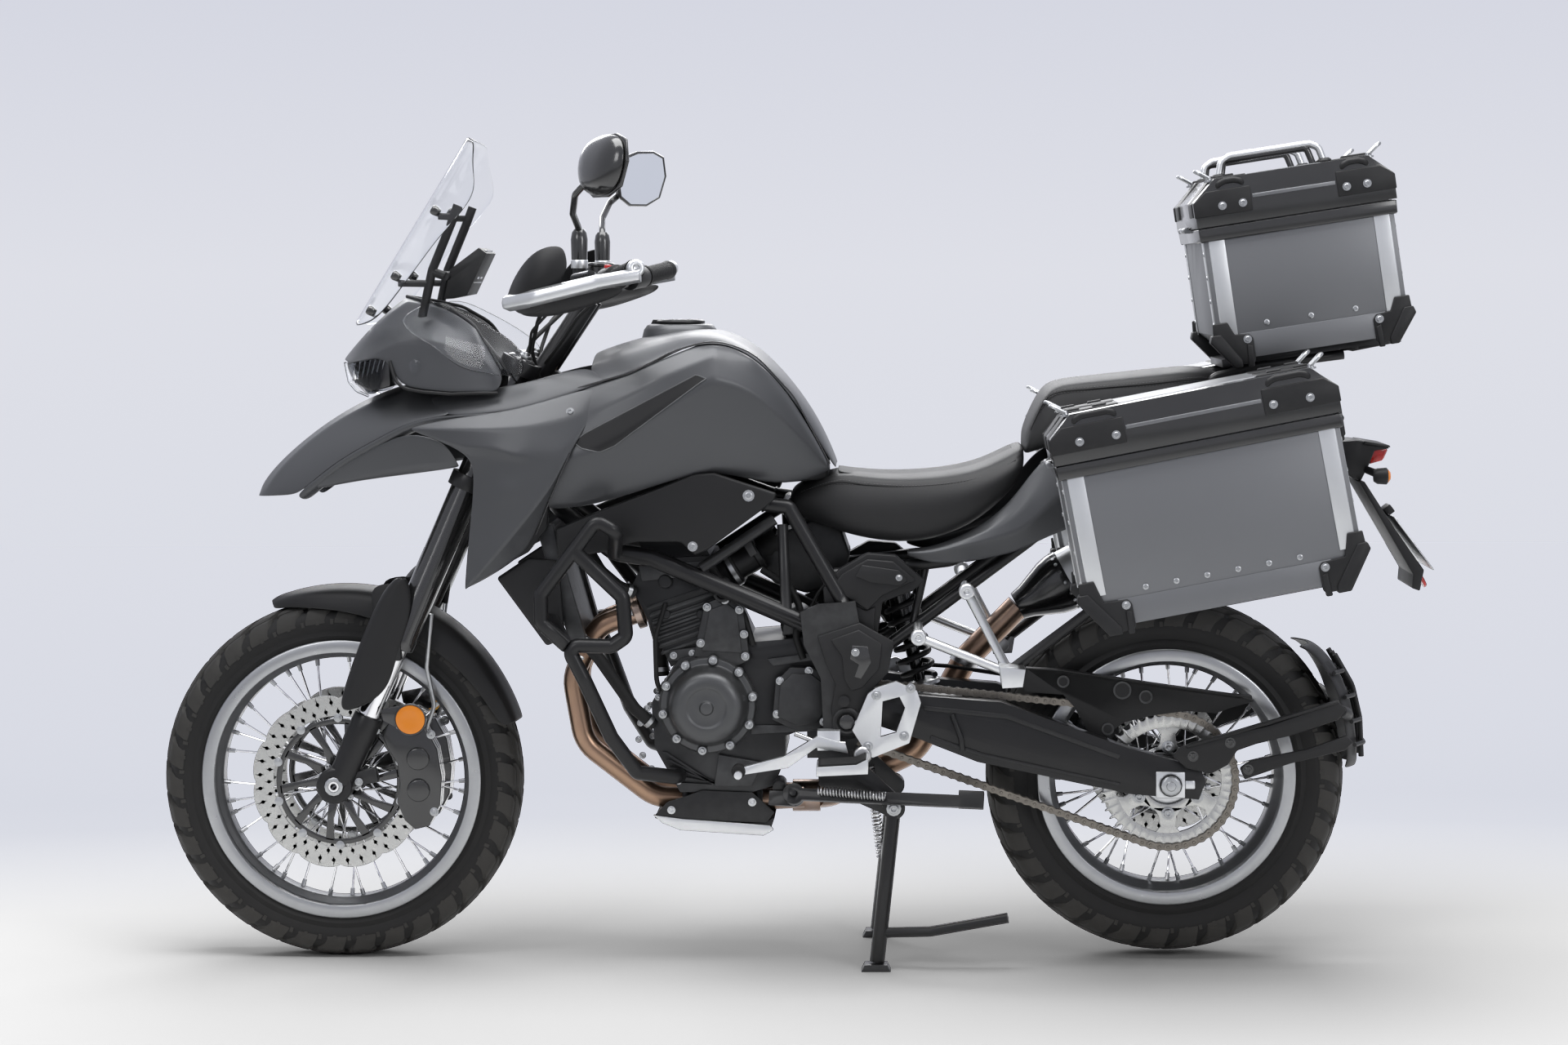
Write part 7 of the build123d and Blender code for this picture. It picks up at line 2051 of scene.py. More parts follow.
def make_shock():
    """Damper body, shaft, reservoir and a wound spring between its seats."""
    body, spring, ends = Shape(), Shape(), Shape()
    top, foot = Vector((196, 30, 700)), Vector((252, 30, 470))
    way = (foot - top).normalized()
    length = (foot - top).length
    body.lathe([(10, 0), (10, 22), (110, 22), (112, 14), (length - 14, 10), (length - 14, 0)], top, way,
        steps=36)
    ends.lathe([(18, 22), (18, 36), (26, 36), (30, 30), (30, 22)], top, way, steps=40, closed=True)
    ends.lathe([(length - 34, 12), (length - 30, 34), (length - 22, 36), (length - 22, 12)], top, way,
        steps=40, closed=True)
    for point, axis in ((top, (0, 1, 0)), (foot, (0, 1, 0))):
        ends.lathe([(-14, 16), (14, 16), (14, 7), (-14, 7)], point, axis, steps=32, closed=True)
    turns, steps = 7, 40
    across, beside = side_axes(way)
    route = []
    for k in range(turns * steps + 1):
        share = k / (turns * steps)
        turn = 2 * math.pi * k / steps
        along = 30 + (length - 66) * share
        route.append(top + way * along + (across * math.cos(turn) + beside * math.sin(turn)) * 29)
    spring.tube(route, 5.2, sides=12)
    body.lathe([(0, 0), (0, 20), (4, 23), (96, 23), (100, 18), (100, 0)], (150, 40, 700), (0.5, 0.2, -0.84),
        steps=32)
    body.done("damper_body", "gloss_black", replaces="shock_absorber")
    spring.done("shock_spring", "engine_dark")
    ends.done("spring_seats", "silver_cast", bevel=1)


def make_chain_guard():
    """Thin guard with lightening holes that follows the upper chain run."""
    outer = [(431, 497), (426, 520), (436, 538), (500, 534), (657, 509), (803, 488), (838, 486), (841, 479),
        (800, 468), (774, 458), (720, 462), (660, 454), (610, 442), (585, 424), (572, 396), (562, 394),
        (548, 420), (520, 470), (500, 492)]
    guard, rims = Shape(), Shape()
    guard.prism(outer, -112.5, -109.5)
    guard.prism([(426, 518), (436, 538), (500, 534), (657, 509), (803, 488), (838, 486), (838, 489),
        (803, 491), (657, 512), (500, 537), (434, 541)], -112.5, -88)
    for x, z, radius in ((606, 500, 13), (648, 488, 9), (580, 430, 8), (500, 516, 8)):
        rims.lathe([(-114.4, radius), (-114.4, radius + 3), (-112, radius + 3.4), (-112, radius)], (x, 0, z),
            steps=28, closed=True)
        rims.lathe([(-113.4, radius), (-113.4, 0)], (x, 0, z), steps=28)
    guard.done("chain_guard_plate", "plastic_black", replaces="chain_guard", bevel=0.8)
    rims.done("chain_guard_holes", "engine_dark", slot="plastic_black")


def make_hugger():
    """Mud deflector on two long arms behind the rear wheel."""
    arms, blade, bolts = Shape(), Shape(), Shape()
    for flank in BOTH:
        y = flank * 160
        arms.prism([(692, 388), (704, 402), (726, 412), (800, 430), (860, 442), (985, 486), (1000, 470),
            (984, 452), (900, 424), (840, 410), (806, 398), (790, 372), (760, 356), (716, 366)],
            y - flank * 6, y + flank * 5)
        arms.prism([(812, 366), (830, 380), (930, 400), (1000, 424), (1012, 412), (998, 398), (900, 374),
            (836, 352), (820, 346)], y - flank * 6, y + flank * 5)
        arms.prism([(716, 402), (800, 426), (985, 482), (986, 488), (800, 432), (716, 408)], y - flank * 8,
            y + flank * 9)
        arms.tube([(990, y, 468), (1006, y - flank * 40, 458), (1010, y - flank * 64, 452)], 11, bend=18,
            sides=14)
        for x, z in ((728, 388), (794, 412), (826, 364)):
            bolts.bolt((x, y + flank * 5, z), (0, flank, 0), 6.5, 4)
    rows = []
    # Columns: x, z, half width of the blade
    for x, z, half in ((949, 576, 70), (966, 572, 86), (990, 548, 98), (1012, 512, 102), (1026, 474, 104),
            (1034, 430, 102), (1038, 392, 96), (1040, 362, 82), (1036, 350, 64)):
        rows.append([(x - 26 * abs(s) ** 2.5, s * half, z) for s in (-1, -0.8, -0.45, -0.4, 0, 0.4, 0.45, 0.8,
            1)])
    blade.grid(rows)
    ribs = Shape()
    for x, z in ((1006, 528), (1026, 484), (1038, 440), (1044, 398)):
        ribs.tube([(x - 20, -96, z), (x + 1, -60, z), (x + 3, 0, z), (x + 1, 60, z), (x - 20, 96, z)], 4,
            bend=30, sides=8)
    for s in (-1, 0, 1):
        ribs.tube([(994, s * 44, 556), (1026, s * 44, 500), (1040, s * 44, 440), (1043, s * 44, 370)], 4.5,
            bend=60, sides=8)
    arms.done("hugger_arms", "plastic_black", replaces="rear_hugger", bevel=2.5)
    blade.done("hugger_blade", "plastic_black", smooth=2, thickness=4)
    ribs.done("hugger_ribs", "plastic_black")
    bolts.done("hugger_bolts", "gloss_black")


def make_rear_caliper():
    outline = [(600, 358), (614, 372), (614, 404), (598, 434), (566, 440), (540, 426), (528, 392), (530, 358),
        (546, 330), (590, 322), (606, 336)]
    body, trim = Shape(), Shape()
    body.prism(outline, 78, 92)
    body.prism(outline, 104, 116)
    body.prism([(x, z) for x, z in outline if math.hypot(x - REAR_AXLE.x, z - REAR_AXLE.z) > 134], 90, 106)
    for x, z in ((562, 372), (574, 404)):
        body.lathe([(116, 18), (122, 18), (124, 15), (124, 0)], (x, 0, z), steps=28)
    for x, z in ((596, 426), (598, 336)):
        trim.bolt((x, 116, z), (0, 1, 0), 5, 4)
    trim.tube([(556, 112, 436), (520, 140, 470), (430, 156, 492), (300, 158, 512), (200, 150, 520)], 3.6,
        bend=40, sides=10)
    body.done("rear_caliper_body", "gloss_black", replaces="rear_caliper", bevel=2)
    trim.done("rear_caliper_fittings", "rubber_black", bevel=0.4)


# Foot controls, lamp and plate

def make_foot_controls():
    """Polished peg brackets with their windows, spring-loaded pegs, gear lever, brake pedal and linkage."""
    dressed("rider_pegs", "silver_cast", bevel=2.2)
    dressed("foot_levers", "silver_cast", bevel=2.0)
    rubber, small, bolts = Shape(), Shape(), Shape()
    for flank in BOTH:
        for k in range(7):
            y = flank * (214 + k * 11)
            rubber.prism([(62, 388), (66, 393), (128, 396), (146, 404), (147, 398), (130, 390), (66, 386)], y,
                y + flank * 5)
        for x, z in ((165, 503), (226, 515), (150, 412), (214, 430)):
            bolts.bolt((x, flank * 196, z), (0, flank, 0), 6, 4.5)
        small.lathe([(flank * 184, 16), (flank * 205, 16), (flank * 208, 13), (flank * 208, 0)],
            (140, 0, 396), steps=32)
    rubber.done("peg_rubbers", "rubber_black", bevel=0.8)
    small.tube([(110, -206, 418), (60, -206, 420), (20, -206, 436)], 4, sides=14)
    small.lathe([(-224, 0), (-224, 9), (-200, 9), (-200, 0)], (-80, 0, 370), steps=24)
    small.done("lever_rods", "steel", bevel=0.5)
    bolts.done("peg_bolts", "zinc", bevel=0.4)
    tip = Shape()
    tip.lathe([(-226, 0), (-226, 11.5), (-222, 12.5), (-202, 12.5), (-198, 11), (-198, 0)], (-80, 0, 370),
        steps=28)
    tip.done("gear_lever_rubber", "rubber_black", bevel=0.6)


def make_pillion_pegs():
    dressed("pillion_pegs", "silver_cast", bevel=1.8)
    rubber, eyes = Shape(), Shape()
    for flank in BOTH:
        for k in range(6):
            y = flank * (238 + k * 10)
            rubber.prism([(386, 560), (424, 562), (426, 556), (388, 552)], y, y + flank * 5)
        for x, z in ((325, 690), (240, 609), (400, 545)):
            eyes.lathe([(flank * 212, 0), (flank * 212, 14), (flank * 232, 14), (flank * 234, 11),
                (flank * 234, 5), (flank * 231, 4), (flank * 231, 0)], (x, 0, z), steps=32)
    rubber.done("pillion_peg_rubbers", "rubber_black", bevel=0.8)
    eyes.done("pillion_peg_eyes", "silver_cast", bevel=0.8)


def make_tail_lamp():
    """Lamp housing with its red lens over a row of reflector cells, and the two rear indicators."""
    housing, lens, cells = Shape(), Shape(), Shape()
    housing.prism([(985, 942), (1030, 944), (1084, 936), (1086, 930), (1060, 926), (1050, 900), (1036, 872),
        (1022, 876), (990, 900)], -68, 68)
    housing.prism([(1040, 944), (1086, 936), (1088, 932), (1040, 938)], -74, 74)
    lens.loft([[(1052, -64, 902), (1052, 64, 902), (1058, 64, 928), (1058, -64, 928)],
        [(1074, -62, 908), (1074, 62, 908), (1082, 62, 930), (1082, -62, 930)],
        [(1078, -56, 911), (1078, 56, 911), (1085, 56, 927), (1085, -56, 927)]])
    for column in range(10):
        for row in range(2):
            cells.lathe([(0, 0), (4, 3.4), (6, 4.6)], (1058 + row * 2, -54 + column * 12, 910 + row * 9),
                (1, 0, -0.2), steps=14)
    housing.done("tail_lamp_housing", "plastic_black", replaces="tail_lamp", bevel=2)
    lens.done("tail_lamp_lens", "lens_red", bevel=1.2)
    cells.done("tail_lamp_cells", "lamp_chrome", slot="steel")
    stalk, amber = Shape(), Shape()
    for flank in BOTH:
        stalk.tube([(1046, flank * 66, 892), (1056, flank * 110, 888), (1060, flank * 140, 886)], (7, 9),
            bend=12, sides=18, flat=0.7)
        stalk.lathe([(-16, 0), (-16, 10), (-10, 14), (6, 15), (8, 13)], (1062, flank * 156, 886), (1, 0, 0),
            steps=28)
        amber.lathe([(6, 13), (9, 12), (13, 7), (14, 0)], (1062, flank * 156, 886), (1, 0, 0), steps=28)
        amber.lathe([(6, 13), (5, 0)], (1062, flank * 156, 886), (1, 0, 0), steps=28)
    stalk.done("rear_indicator_stalks", "plastic_black")
    amber.done("rear_indicator_lenses", "lens_orange")


def make_plate_holder():
    dressed("plate_holder", "plastic_black", bevel=2.0)
    plate, lamp, lens = Shape(), Shape(), Shape()
    way = Vector((66, 0, -88)).normalized()
    out = Vector((0.8, 0, 0.6)).normalized()
    origin = Vector((1088, 0, 806)) + out * 4
    plate.block(origin + Vector((0, -92, 0)), (0, 1, 0), way,
        [(4, 0), (180, 0), (184, 4), (184, 116), (180, 120), (4, 120), (0, 116), (0, 4)], -1.4)
    for y in (-60, 60):
        plate.bolt(origin + Vector((0, y, 0)) + way * 12 + out * 1.5, out, 4, 3)
    lamp.block(origin + Vector((0, -22, 0)) - way * 12 - out * 2, (0, 1, 0), way,
        [(0, 0), (44, 0), (44, 16), (0, 16)], -16)
    lens.lathe([(0, 0), (0, 22), (4, 22), (6, 20), (6, 0)], Vector((1150, 0, 692)), (0.85, 0, 0.5), steps=40)
    plate.done("blank_plate", "case_silver", bevel=0.4)
    lamp.done("plate_lamp", "plastic_black", bevel=2)
    lens.done("plate_reflector", "lens_red", bevel=0.6)


# Cases

CASE_LENGTH, CASE_DEPTH, CASE_CUT = 470, 284, 60
BOX_LENGTH, BOX_DEPTH, BOX_CUT = 334, 236, 45
CASE_INNER, CASE_OUTER, BOX_HALF = 250, 478, 195
LID_RISE, LID_LIP, LID_SLOPE = 82, 8, 40


class CaseFrame:
    """Places points of a case from its own length, height and side."""

    def __init__(self, front, tilt):
        turn = math.radians(tilt)
        self.front = Vector((front[0], 0, front[1]))
        self.along = Vector((math.cos(turn), 0, math.sin(turn)))
        self.up = Vector((-math.sin(turn), 0, math.cos(turn)))

    def at(self, x, y, z):
        return self.front + self.along * x + self.up * z + Vector((0, y, 0))

    def plate(self, shape, outline, y_from, y_to):
        """A plate in the plane of the case's side."""
        shape.slab([self.at(x, y_from, z) for x, z in outline], [self.at(x, y_to, z) for x, z in outline])

    def wrap(self, shape, outline, z_from, z_to):
        """A strip cut to an outline seen from above."""
        shape.slab([self.at(x, y, z_from) for x, y in outline], [self.at(x, y, z_to) for x, y in outline])

    def floor_strip(self, shape, outline, x_from, x_to):
        """A strip cut to an outline seen from the end."""
        shape.slab([self.at(x_from, y, z) for y, z in outline], [self.at(x_to, y, z) for y, z in outline])


SIDE_CASE = CaseFrame((475, 926), 10.7)
TOP_BOX = CaseFrame((738, 1324), 8.4)
STRIP, STRIP_RISE = 36, 44


def corner_strip(case, shape, x, y, way_x, way_y, low, high):
    """An angle strip round one upright corner, with a flat across its arris."""
    t, cut = 1.4, 9
    outer = [(STRIP, -t), (cut, -t), (-t, cut), (-t, STRIP), (0, STRIP), (0, cut + 1), (cut + 1, 0),
        (STRIP, 0)]
    case.wrap(shape, [(x + way_x * a, y + way_y * b) for a, b in outer], low, high)


def corner_guard(case, shape, screws, x, y, way_x, way_y, low, cut):
    """A moulded guard over a lower corner, with ribs, a rolled lip and its screw."""
    face_y = y - way_y * 3.2

    def placed(points):
        return [(x + way_x * a, low + b) for a, b in points]

    outline = [(-6, cut + 22), (-8, cut - 4), (cut * 0.55, -10), (cut + 12, -10), (cut + 16, -4),
        (cut + 16, 34), (cut + 10, 42), (30, 44), (20, cut + 22)]
    case.plate(shape, placed(outline), y + way_y, face_y - way_y * 2)
    case.plate(shape, placed([(-10, cut + 2), (-14, cut - 10), (cut * 0.5, -14), (cut - 8, -14),
        (cut - 8, -2), (6, cut + 2)]), y + way_y * 26, y - way_y * 8)
    case.plate(shape, placed([(cut + 2, -16), (cut + 12, -16), (cut + 14, 20), (cut + 4, 24)]), y + way_y * 4,
        y - way_y * 8)
    screws.bolt(case.at(x + way_x * (cut + 6), y - way_y * 5.5, low + 33), (0, -way_y, 0), 5, 3.5)


def lid_corner(case, shape, screws, x, y, way_x, way_y, span):
    """A ribbed guard over a lid corner with a tie-down bar and two screws in the band."""
    lip = -LID_LIP
    high = LID_RISE

    def placed(points):
        return [(x + way_x * a, z) for a, z in points]

    slope = [(lip - 2, high - LID_SLOPE + 2), (LID_SLOPE + lip - 2, high + 2.5), (span, high + 2.5),
        (span, high - 3), (LID_SLOPE + lip, high - 3), (lip + 3, high - LID_SLOPE), (lip + 3, 20),
        (lip - 2, 20)]
    case.plate(shape, placed(slope), y + way_y * 96, y + way_y * 30)
    case.plate(shape, placed([(lip - 2, 18), (lip - 2, high - LID_SLOPE + 2), (14, high - 20),
        (span, high - 20), (span, 18)]), y - way_y * (LID_LIP + 2.5), y - way_y * (LID_LIP - 4))

    def cheek(inward, rise, drop):
        """The guard's sloped face, or its underside further in."""
        foot = (y - way_y * (LID_LIP + 2.5) + way_y * inward, high - LID_SLOPE + 2 + rise)
        head = (y + way_y * 34, high + 2.5 - drop)
        return [case.at(x + way_x * a, *end) for a, end in ((4, foot), (span, foot), (span, head),
            (34, head))]

    shape.slab(cheek(0, 4, 0), cheek(6, -4, 7))
    bar = [case.at(x + way_x * a, y + way_y * b, c)
        for a, b, c in ((34, 2, high - 22), (38, -6, high - 10), (50, -6, high - 6),
        (span - 26, -6, high - 6), (span - 14, -6, high - 10), (span - 10, 2, high - 22))]
    shape.tube(bar, 6, bend=8, sides=14)
    for a in (52, span - 20):
        case.plate(shape, placed([(a - 24, high - 2), (a - 24, high + 6), (a, high + 6), (a, high - 2)]),
            y + way_y * 40, y + way_y * 52)
    for a in (40, span - 16):
        screws.bolt(case.at(x + way_x * a, y - way_y * (LID_LIP + 3), 34), (0, -way_y, 0), 5, 3.5)


def make_case(case, shell, lid, shell_body, lid_body, length, depth, cut, y_low, y_high, rivets):
    """One hard case: walls, silver strips, guards, rivets, lid panel, latches and tie-downs."""
    dressed(shell, "case_grey", bevel=0.8)
    dressed(lid, "gloss_black", bevel=2.2)
    strips, guards, screws, studs = Shape(), Shape(), Shape(), Shape()
    top, caps, loops = Shape(), Shape(), Shape()
    foot, rim, latch = Shape(), Shape(), Shape()
    sides, ends = ((1, y_low), (-1, y_high)), ((1, 0), (-1, length))
    reach = 118 if length > 400 else 92
    for way_y, y in sides:
        for way_x, x in ends:
            corner_strip(case, strips, x, y, way_x, way_y, -depth + cut - 4, -10)
            corner_guard(case, guards, screws, x, y, way_x, way_y, -depth, cut)
            lid_corner(case, caps, loops, x, y, way_x, way_y, reach)
        wall = [(-1.4, 0), (-1.4, STRIP_RISE), (0.2, STRIP_RISE), (0.2, 0)]
        case.floor_strip(foot, [(y + way_y * b, -depth + c) for b, c in wall], cut - 6, length - cut + 6)
        for k in range(rivets):
            x = between(cut + 44, length - cut - 44, k / (rivets - 1))
            studs.lathe([(0, 5.2), (1.4, 5.0), (2.2, 3.6), (2.2, 2.2), (1.0, 1.8), (1.0, 0)],
                case.at(x, y, -depth + STRIP_RISE + 13), (0, -way_y, 0), steps=20)
        for way, x in ((-1, 0), (1, length)):
            for k in range(4):
                z = between(-depth + cut + 20, -46, k / 3)
                studs.lathe([(0, 4), (1.4, 3.4), (1.8, 0)], case.at(x + way * 1.4, y + way_y * 18, z),
                    case.along * way, steps=14)
    for way_y, y in sides:
        case.floor_strip(rim, [(y - way_y * 6, -24), (y - way_y * 7, -2), (y + way_y * 1, -1),
            (y + way_y * 1, -26)], -5, length + 5)
    for way_x, x in ends:
        case.plate(rim, [(x - way_x * 6, -24), (x - way_x * 7, -2), (x + way_x, -1), (x + way_x, -26)],
            y_low - 5, y_high + 5)
    rim.done(shell + "_rim", "gloss_black", shell_body, bevel=1.2)
    inset = LID_SLOPE + 4
    flat = [(inset + 70, y_low + 34), (length - inset - 70, y_low + 34), (length - inset - 70, y_high - 34),
        (inset + 70, y_high - 34)]
    case.wrap(top, flat, LID_RISE - 2, LID_RISE + 1.6)
    for way_y, y in sides:
        low, high = (y - way_y * (LID_LIP + 0.8), LID_RISE - LID_SLOPE + 4), (y + way_y * 34, LID_RISE + 1.6)
        plate = [case.at(x, *end) for x, end in ((reach + 2, low), (length - reach - 2, low),
            (length - reach - 2, high), (reach + 2, high))]
        top.loft([plate, [point - case.up * 6 for point in plate]])
    middle = (y_low + y_high) / 2
    for half, outline in ((28, [(2, -60), (16, -54), (18, 10), (10, 22), (2, 20)]),
            (20, [(14, -50), (20, -46), (21, 4), (15, 8)])):
        case.plate(latch, [(length + a, z) for a, z in outline], middle - half, middle + half)
    latch.done(shell + "_latch", "plastic_black", shell_body, bevel=2)
    for x, way in ((26, -1), (length - 26, 1)):
        for y in (y_low + 26, y_high - 26):
            loops.lathe([(0, 9), (3, 9), (3, 6), (9, 5), (9, 0)], case.at(x, y, LID_RISE - 4), case.up,
                steps=24)
            loops.tube([case.at(x, y - 9, LID_RISE + 3), case.at(x + way * 16, y - 10, LID_RISE + 15),
                case.at(x + way * 24, y, LID_RISE + 19), case.at(x + way * 16, y + 10, LID_RISE + 15),
                case.at(x, y + 9, LID_RISE + 3)], 3.2, bend=7, sides=10)
    strips.done(shell + "_strips", "case_silver", shell_body, bevel=0.4)
    foot.done(shell + "_foot_bands", "case_grey", shell_body, bevel=0.4)
    guards.done(shell + "_guards", "plastic_black", shell_body, bevel=2.0)
    screws.done(shell + "_screws", "zinc", shell_body)
    studs.done(shell + "_rivets", "zinc", shell_body)
    top.done(lid + "_panel", "case_grey", lid_body, bevel=0.8)
    caps.done(lid + "_guards", "plastic_black", lid_body, bevel=1.8)
    loops.done(lid + "_loops", "zinc", lid_body)


def make_pannier(side):
    flank = -1 if side == "left" else 1
    y_low, y_high = sorted((flank * CASE_INNER, flank * CASE_OUTER))
    make_case(SIDE_CASE, side + "_pannier", side + "_pannier_lid", "chassis", side + "_lid", CASE_LENGTH,
        CASE_DEPTH, CASE_CUT, y_low, y_high, 6)


def make_top_case():
    make_case(TOP_BOX, "top_case", "top_case_lid", "chassis", "top_lid", BOX_LENGTH, BOX_DEPTH, BOX_CUT,
        -BOX_HALF, BOX_HALF, 3)
    rails, feet = Shape(), Shape()
    arch = ((46, 84), (54, 110), (70, 118), (212, 118), (226, 110), (232, 84))
    for flank in BOTH:
        rails.tube([TOP_BOX.at(x, flank * 150, z) for x, z in arch], 6.5, bend=14, sides=20)
        for x in (46, 232):
            feet.lathe([(78, 0), (78, 14), (86, 14), (90, 9), (90, 0)], TOP_BOX.at(x, flank * 150, 0),
                TOP_BOX.up, steps=28)
    rails.done("lid_rails", "silver_cast", "top_lid")
    feet.done("lid_rail_feet", "plastic_black", "top_lid", bevel=1)


def make_racks():
    """Tubular racks, the top case's cradle and its quick-release lever."""
    dressed("luggage_rack", "frame_black", bevel=0.8)
    dressed("pannier_rack", "frame_black")
    pucks, levers = Shape(), Shape()
    for flank in BOTH:
        for x, z in ((60, -50), (420, -50)):
            pucks.lathe([(flank * 226, 0), (flank * 226, 17), (flank * 248, 17), (flank * 248, 0)],
                SIDE_CASE.at(x, 0, z), steps=32)
    for x in (50, 240):
        for flank in BOTH:
            pucks.lathe([(-BOX_DEPTH - 18, 0), (-BOX_DEPTH - 18, 16), (-BOX_DEPTH - 1, 16),
                (-BOX_DEPTH - 1, 0)], TOP_BOX.at(x, flank * 80, 0), TOP_BOX.up, steps=28)
    TOP_BOX.plate(levers, [(250, -BOX_DEPTH - 14), (330, -BOX_DEPTH - 12), (342, -BOX_DEPTH - 20),
        (250, -BOX_DEPTH - 24)], -30, 30)
    pucks.done("rack_pucks", "rubber_black", bevel=1)
    levers.done("case_release", "plastic_black", bevel=2)


def make_stands():
    """Stand legs with their feet, springs and pivot bolts."""
    for node in ("centre_stand", "side_stand", "stand_brackets"):
        dressed(node, "frame_black", bevel=1.0)
    springs, bolts = Shape(), Shape()
    coil(springs, (150, 112, 330), (172, 146, 150), 8, 26)
    coil(springs, (60, -184, 330), (180, -198, 322), 7, 22)
    springs.done("stand_springs", "steel")
    for flank in BOTH:
        bolts.bolt((195, flank * 151, 292), (0, flank, 0), 9, 6)
    bolts.done("stand_bolts", "zinc", bevel=0.5)


def coil(shape, start, end, radius, turns):
    """A wound spring between two points."""
    start, end = Vector(start), Vector(end)
    way = (end - start).normalized()
    across, beside = side_axes(way)
    steps = 14
    route = []
    for k in range(turns * steps + 1):
        turn = 2 * math.pi * k / steps
        round_axis = (across * math.cos(turn) + beside * math.sin(turn)) * radius
        route.append(start + (end - start) * (k / (turns * steps)) + round_axis)
    shape.tube(route, 1.5, sides=6)


# Stage

PHOTO_EYE = Vector((0.1873, -6.0, 1.2634))
PHOTO_YAW, PHOTO_PITCH = math.radians(1.85), math.radians(4.4)
PHOTO_LENS = 75.6
# On its centre stand the rear wheel hangs 10 clear of the ground, over the 1506 between the axles;
# the photographer's place is turned by as much, since both wheels stand on the ground in that view
PARKED_TILT = math.atan(10 / 1506)
# Half the side of the floor
FLOOR_REACH = 9000


def blend(tree, direction, stops):
    """Colours of the world along one axis: each stop is a place from 0 to 1 and its colour."""
    ramp = tree.nodes.new("ShaderNodeValToRGB")
    marks = ramp.color_ramp.elements
    for mark, (at, shade) in zip(marks, (stops[0], stops[-1])):
        mark.position = at
        mark.color = (*shade, 1)
    for at, shade in stops[1:-1]:
        marks.new(at).color = (*shade, 1)
    place_at = math_node(tree, "MULTIPLY_ADD", direction, 0.5)
    place_at.node.inputs[2].default_value = 0.5
    tree.links.new(place_at, ramp.inputs[0])
    return ramp.outputs["Color"]


def backdrop():
    """Pale studio world, dark behind the photographer; the camera sees a soft vertical blend."""
    world = bpy.data.worlds.new("studio")
    bpy.context.scene.world = world
    world.use_nodes = True
    tree = world.node_tree
    tree.nodes.clear()
    out = tree.nodes.new("ShaderNodeOutputWorld")
    lights, seen = (tree.nodes.new("ShaderNodeBackground") for _ in range(2))
    path = tree.nodes.new("ShaderNodeLightPath")
    mix = tree.nodes.new("ShaderNodeMixShader")
    sky = tree.nodes.new("ShaderNodeTexCoord")
    split = tree.nodes.new("ShaderNodeSeparateXYZ")
    tree.links.new(sky.outputs["Generated"], split.inputs[0])
    wall = blend(tree, split.outputs["Z"], [(0.405, (0.96, 0.96, 0.96)), (0.419, (0.69, 0.71, 0.78)),
        (0.50, (0.73, 0.74, 0.80)), (0.545, (0.66, 0.675, 0.755))])
    room = blend(tree, split.outputs["Y"], [(0.30, (0.03, 0.03, 0.033)), (0.66, (0.60, 0.62, 0.67))])
    tree.links.new(room, lights.inputs["Color"])
    tree.links.new(wall, seen.inputs["Color"])
    mirrored = math_node(tree, "MAXIMUM", path.outputs["Is Glossy Ray"], path.outputs["Is Transmission Ray"])
    tree.links.new(math_node(tree, "MAXIMUM", path.outputs["Is Camera Ray"], mirrored), mix.inputs[0])
    tree.links.new(lights.outputs[0], mix.inputs[1])
    tree.links.new(seen.outputs[0], mix.inputs[2])
    tree.links.new(mix.outputs[0], out.inputs[0])


def studio_lamp(name, place_at, aim, size, power, colour=(1, 1, 1)):
    data = bpy.data.lights.new(name, "AREA")
    data.shape = "RECTANGLE"
    data.size, data.size_y = size
    data.energy = power
    data.color = colour
    lamp = bpy.data.objects.new(name, data)
    lamp.location = place_at
    lamp.rotation_euler = (Vector(aim) - Vector(place_at)).to_track_quat("-Z", "Y").to_euler()
    bpy.context.scene.collection.objects.link(lamp)
    return lamp


def make_stage():
    """Floor, pale background, four soft lamps and the photographer's camera."""
    scene = bpy.context.scene
    backdrop()
    floor = Shape()
    floor.grid([[(-FLOOR_REACH, y, 0), (FLOOR_REACH, y, 0)] for y in (-FLOOR_REACH, FLOOR_REACH)])
    bmesh.ops.scale(floor.mesh, vec=(MM, MM, MM), verts=floor.mesh.verts)
    data = bpy.data.meshes.new("floor")
    floor.mesh.to_mesh(data)
    floor.mesh.free()
    ground = bpy.data.objects.new("floor", data)
    scene.collection.objects.link(ground)
    ground.is_shadow_catcher = True
    studio_lamp("overhead", (0.1, -0.5, 4.0), (0.1, 0, 0.6), (4.6, 2.6), 260)
    studio_lamp("key", (-2.6, -4.4, 3.2), (0, 0, 0.7), (1.6, 1.6), 42)
    studio_lamp("side", (3.6, -3.8, 2.6), (0.3, 0, 0.7), (1.4, 1.6), 52)
    studio_lamp("back", (-0.4, 3.8, 3.0), (0, 0, 0.8), (4.0, 1.6), 120)
    turn = Matrix.Rotation(PARKED_TILT, 4, (0, 1, 0))
    hub = FRONT_AXLE * MM
    axle = Matrix.Translation(hub) @ turn @ Matrix.Translation(-hub)
    facing = Matrix.Rotation(PHOTO_YAW, 4, "Z") @ Matrix.Rotation(math.radians(90) - PHOTO_PITCH, 4, "X")
    data = bpy.data.cameras.new("photographer")
    data.lens = PHOTO_LENS
    data.sensor_width = 36
    data.clip_end = 60
    camera = bpy.data.objects.new("photographer", data)
    camera.matrix_world = axle @ Matrix.Translation(PHOTO_EYE) @ facing
    scene.collection.objects.link(camera)
    scene.camera = camera
    scene.view_settings.view_transform = "Standard"
    scene.view_settings.look = "None"
    scene.view_settings.exposure = 0
    scene.unit_settings.system = "METRIC"


# Operators

class MotorcycleFinishes(bpy.types.Operator):
    """Builds the paint, metal, rubber and glass finishes"""
    bl_idname = "motorcycle.finishes"
    bl_label = "Motorcycle Finishes"

    def execute(self, context):
        make_finishes()
        return {"FINISHED"}


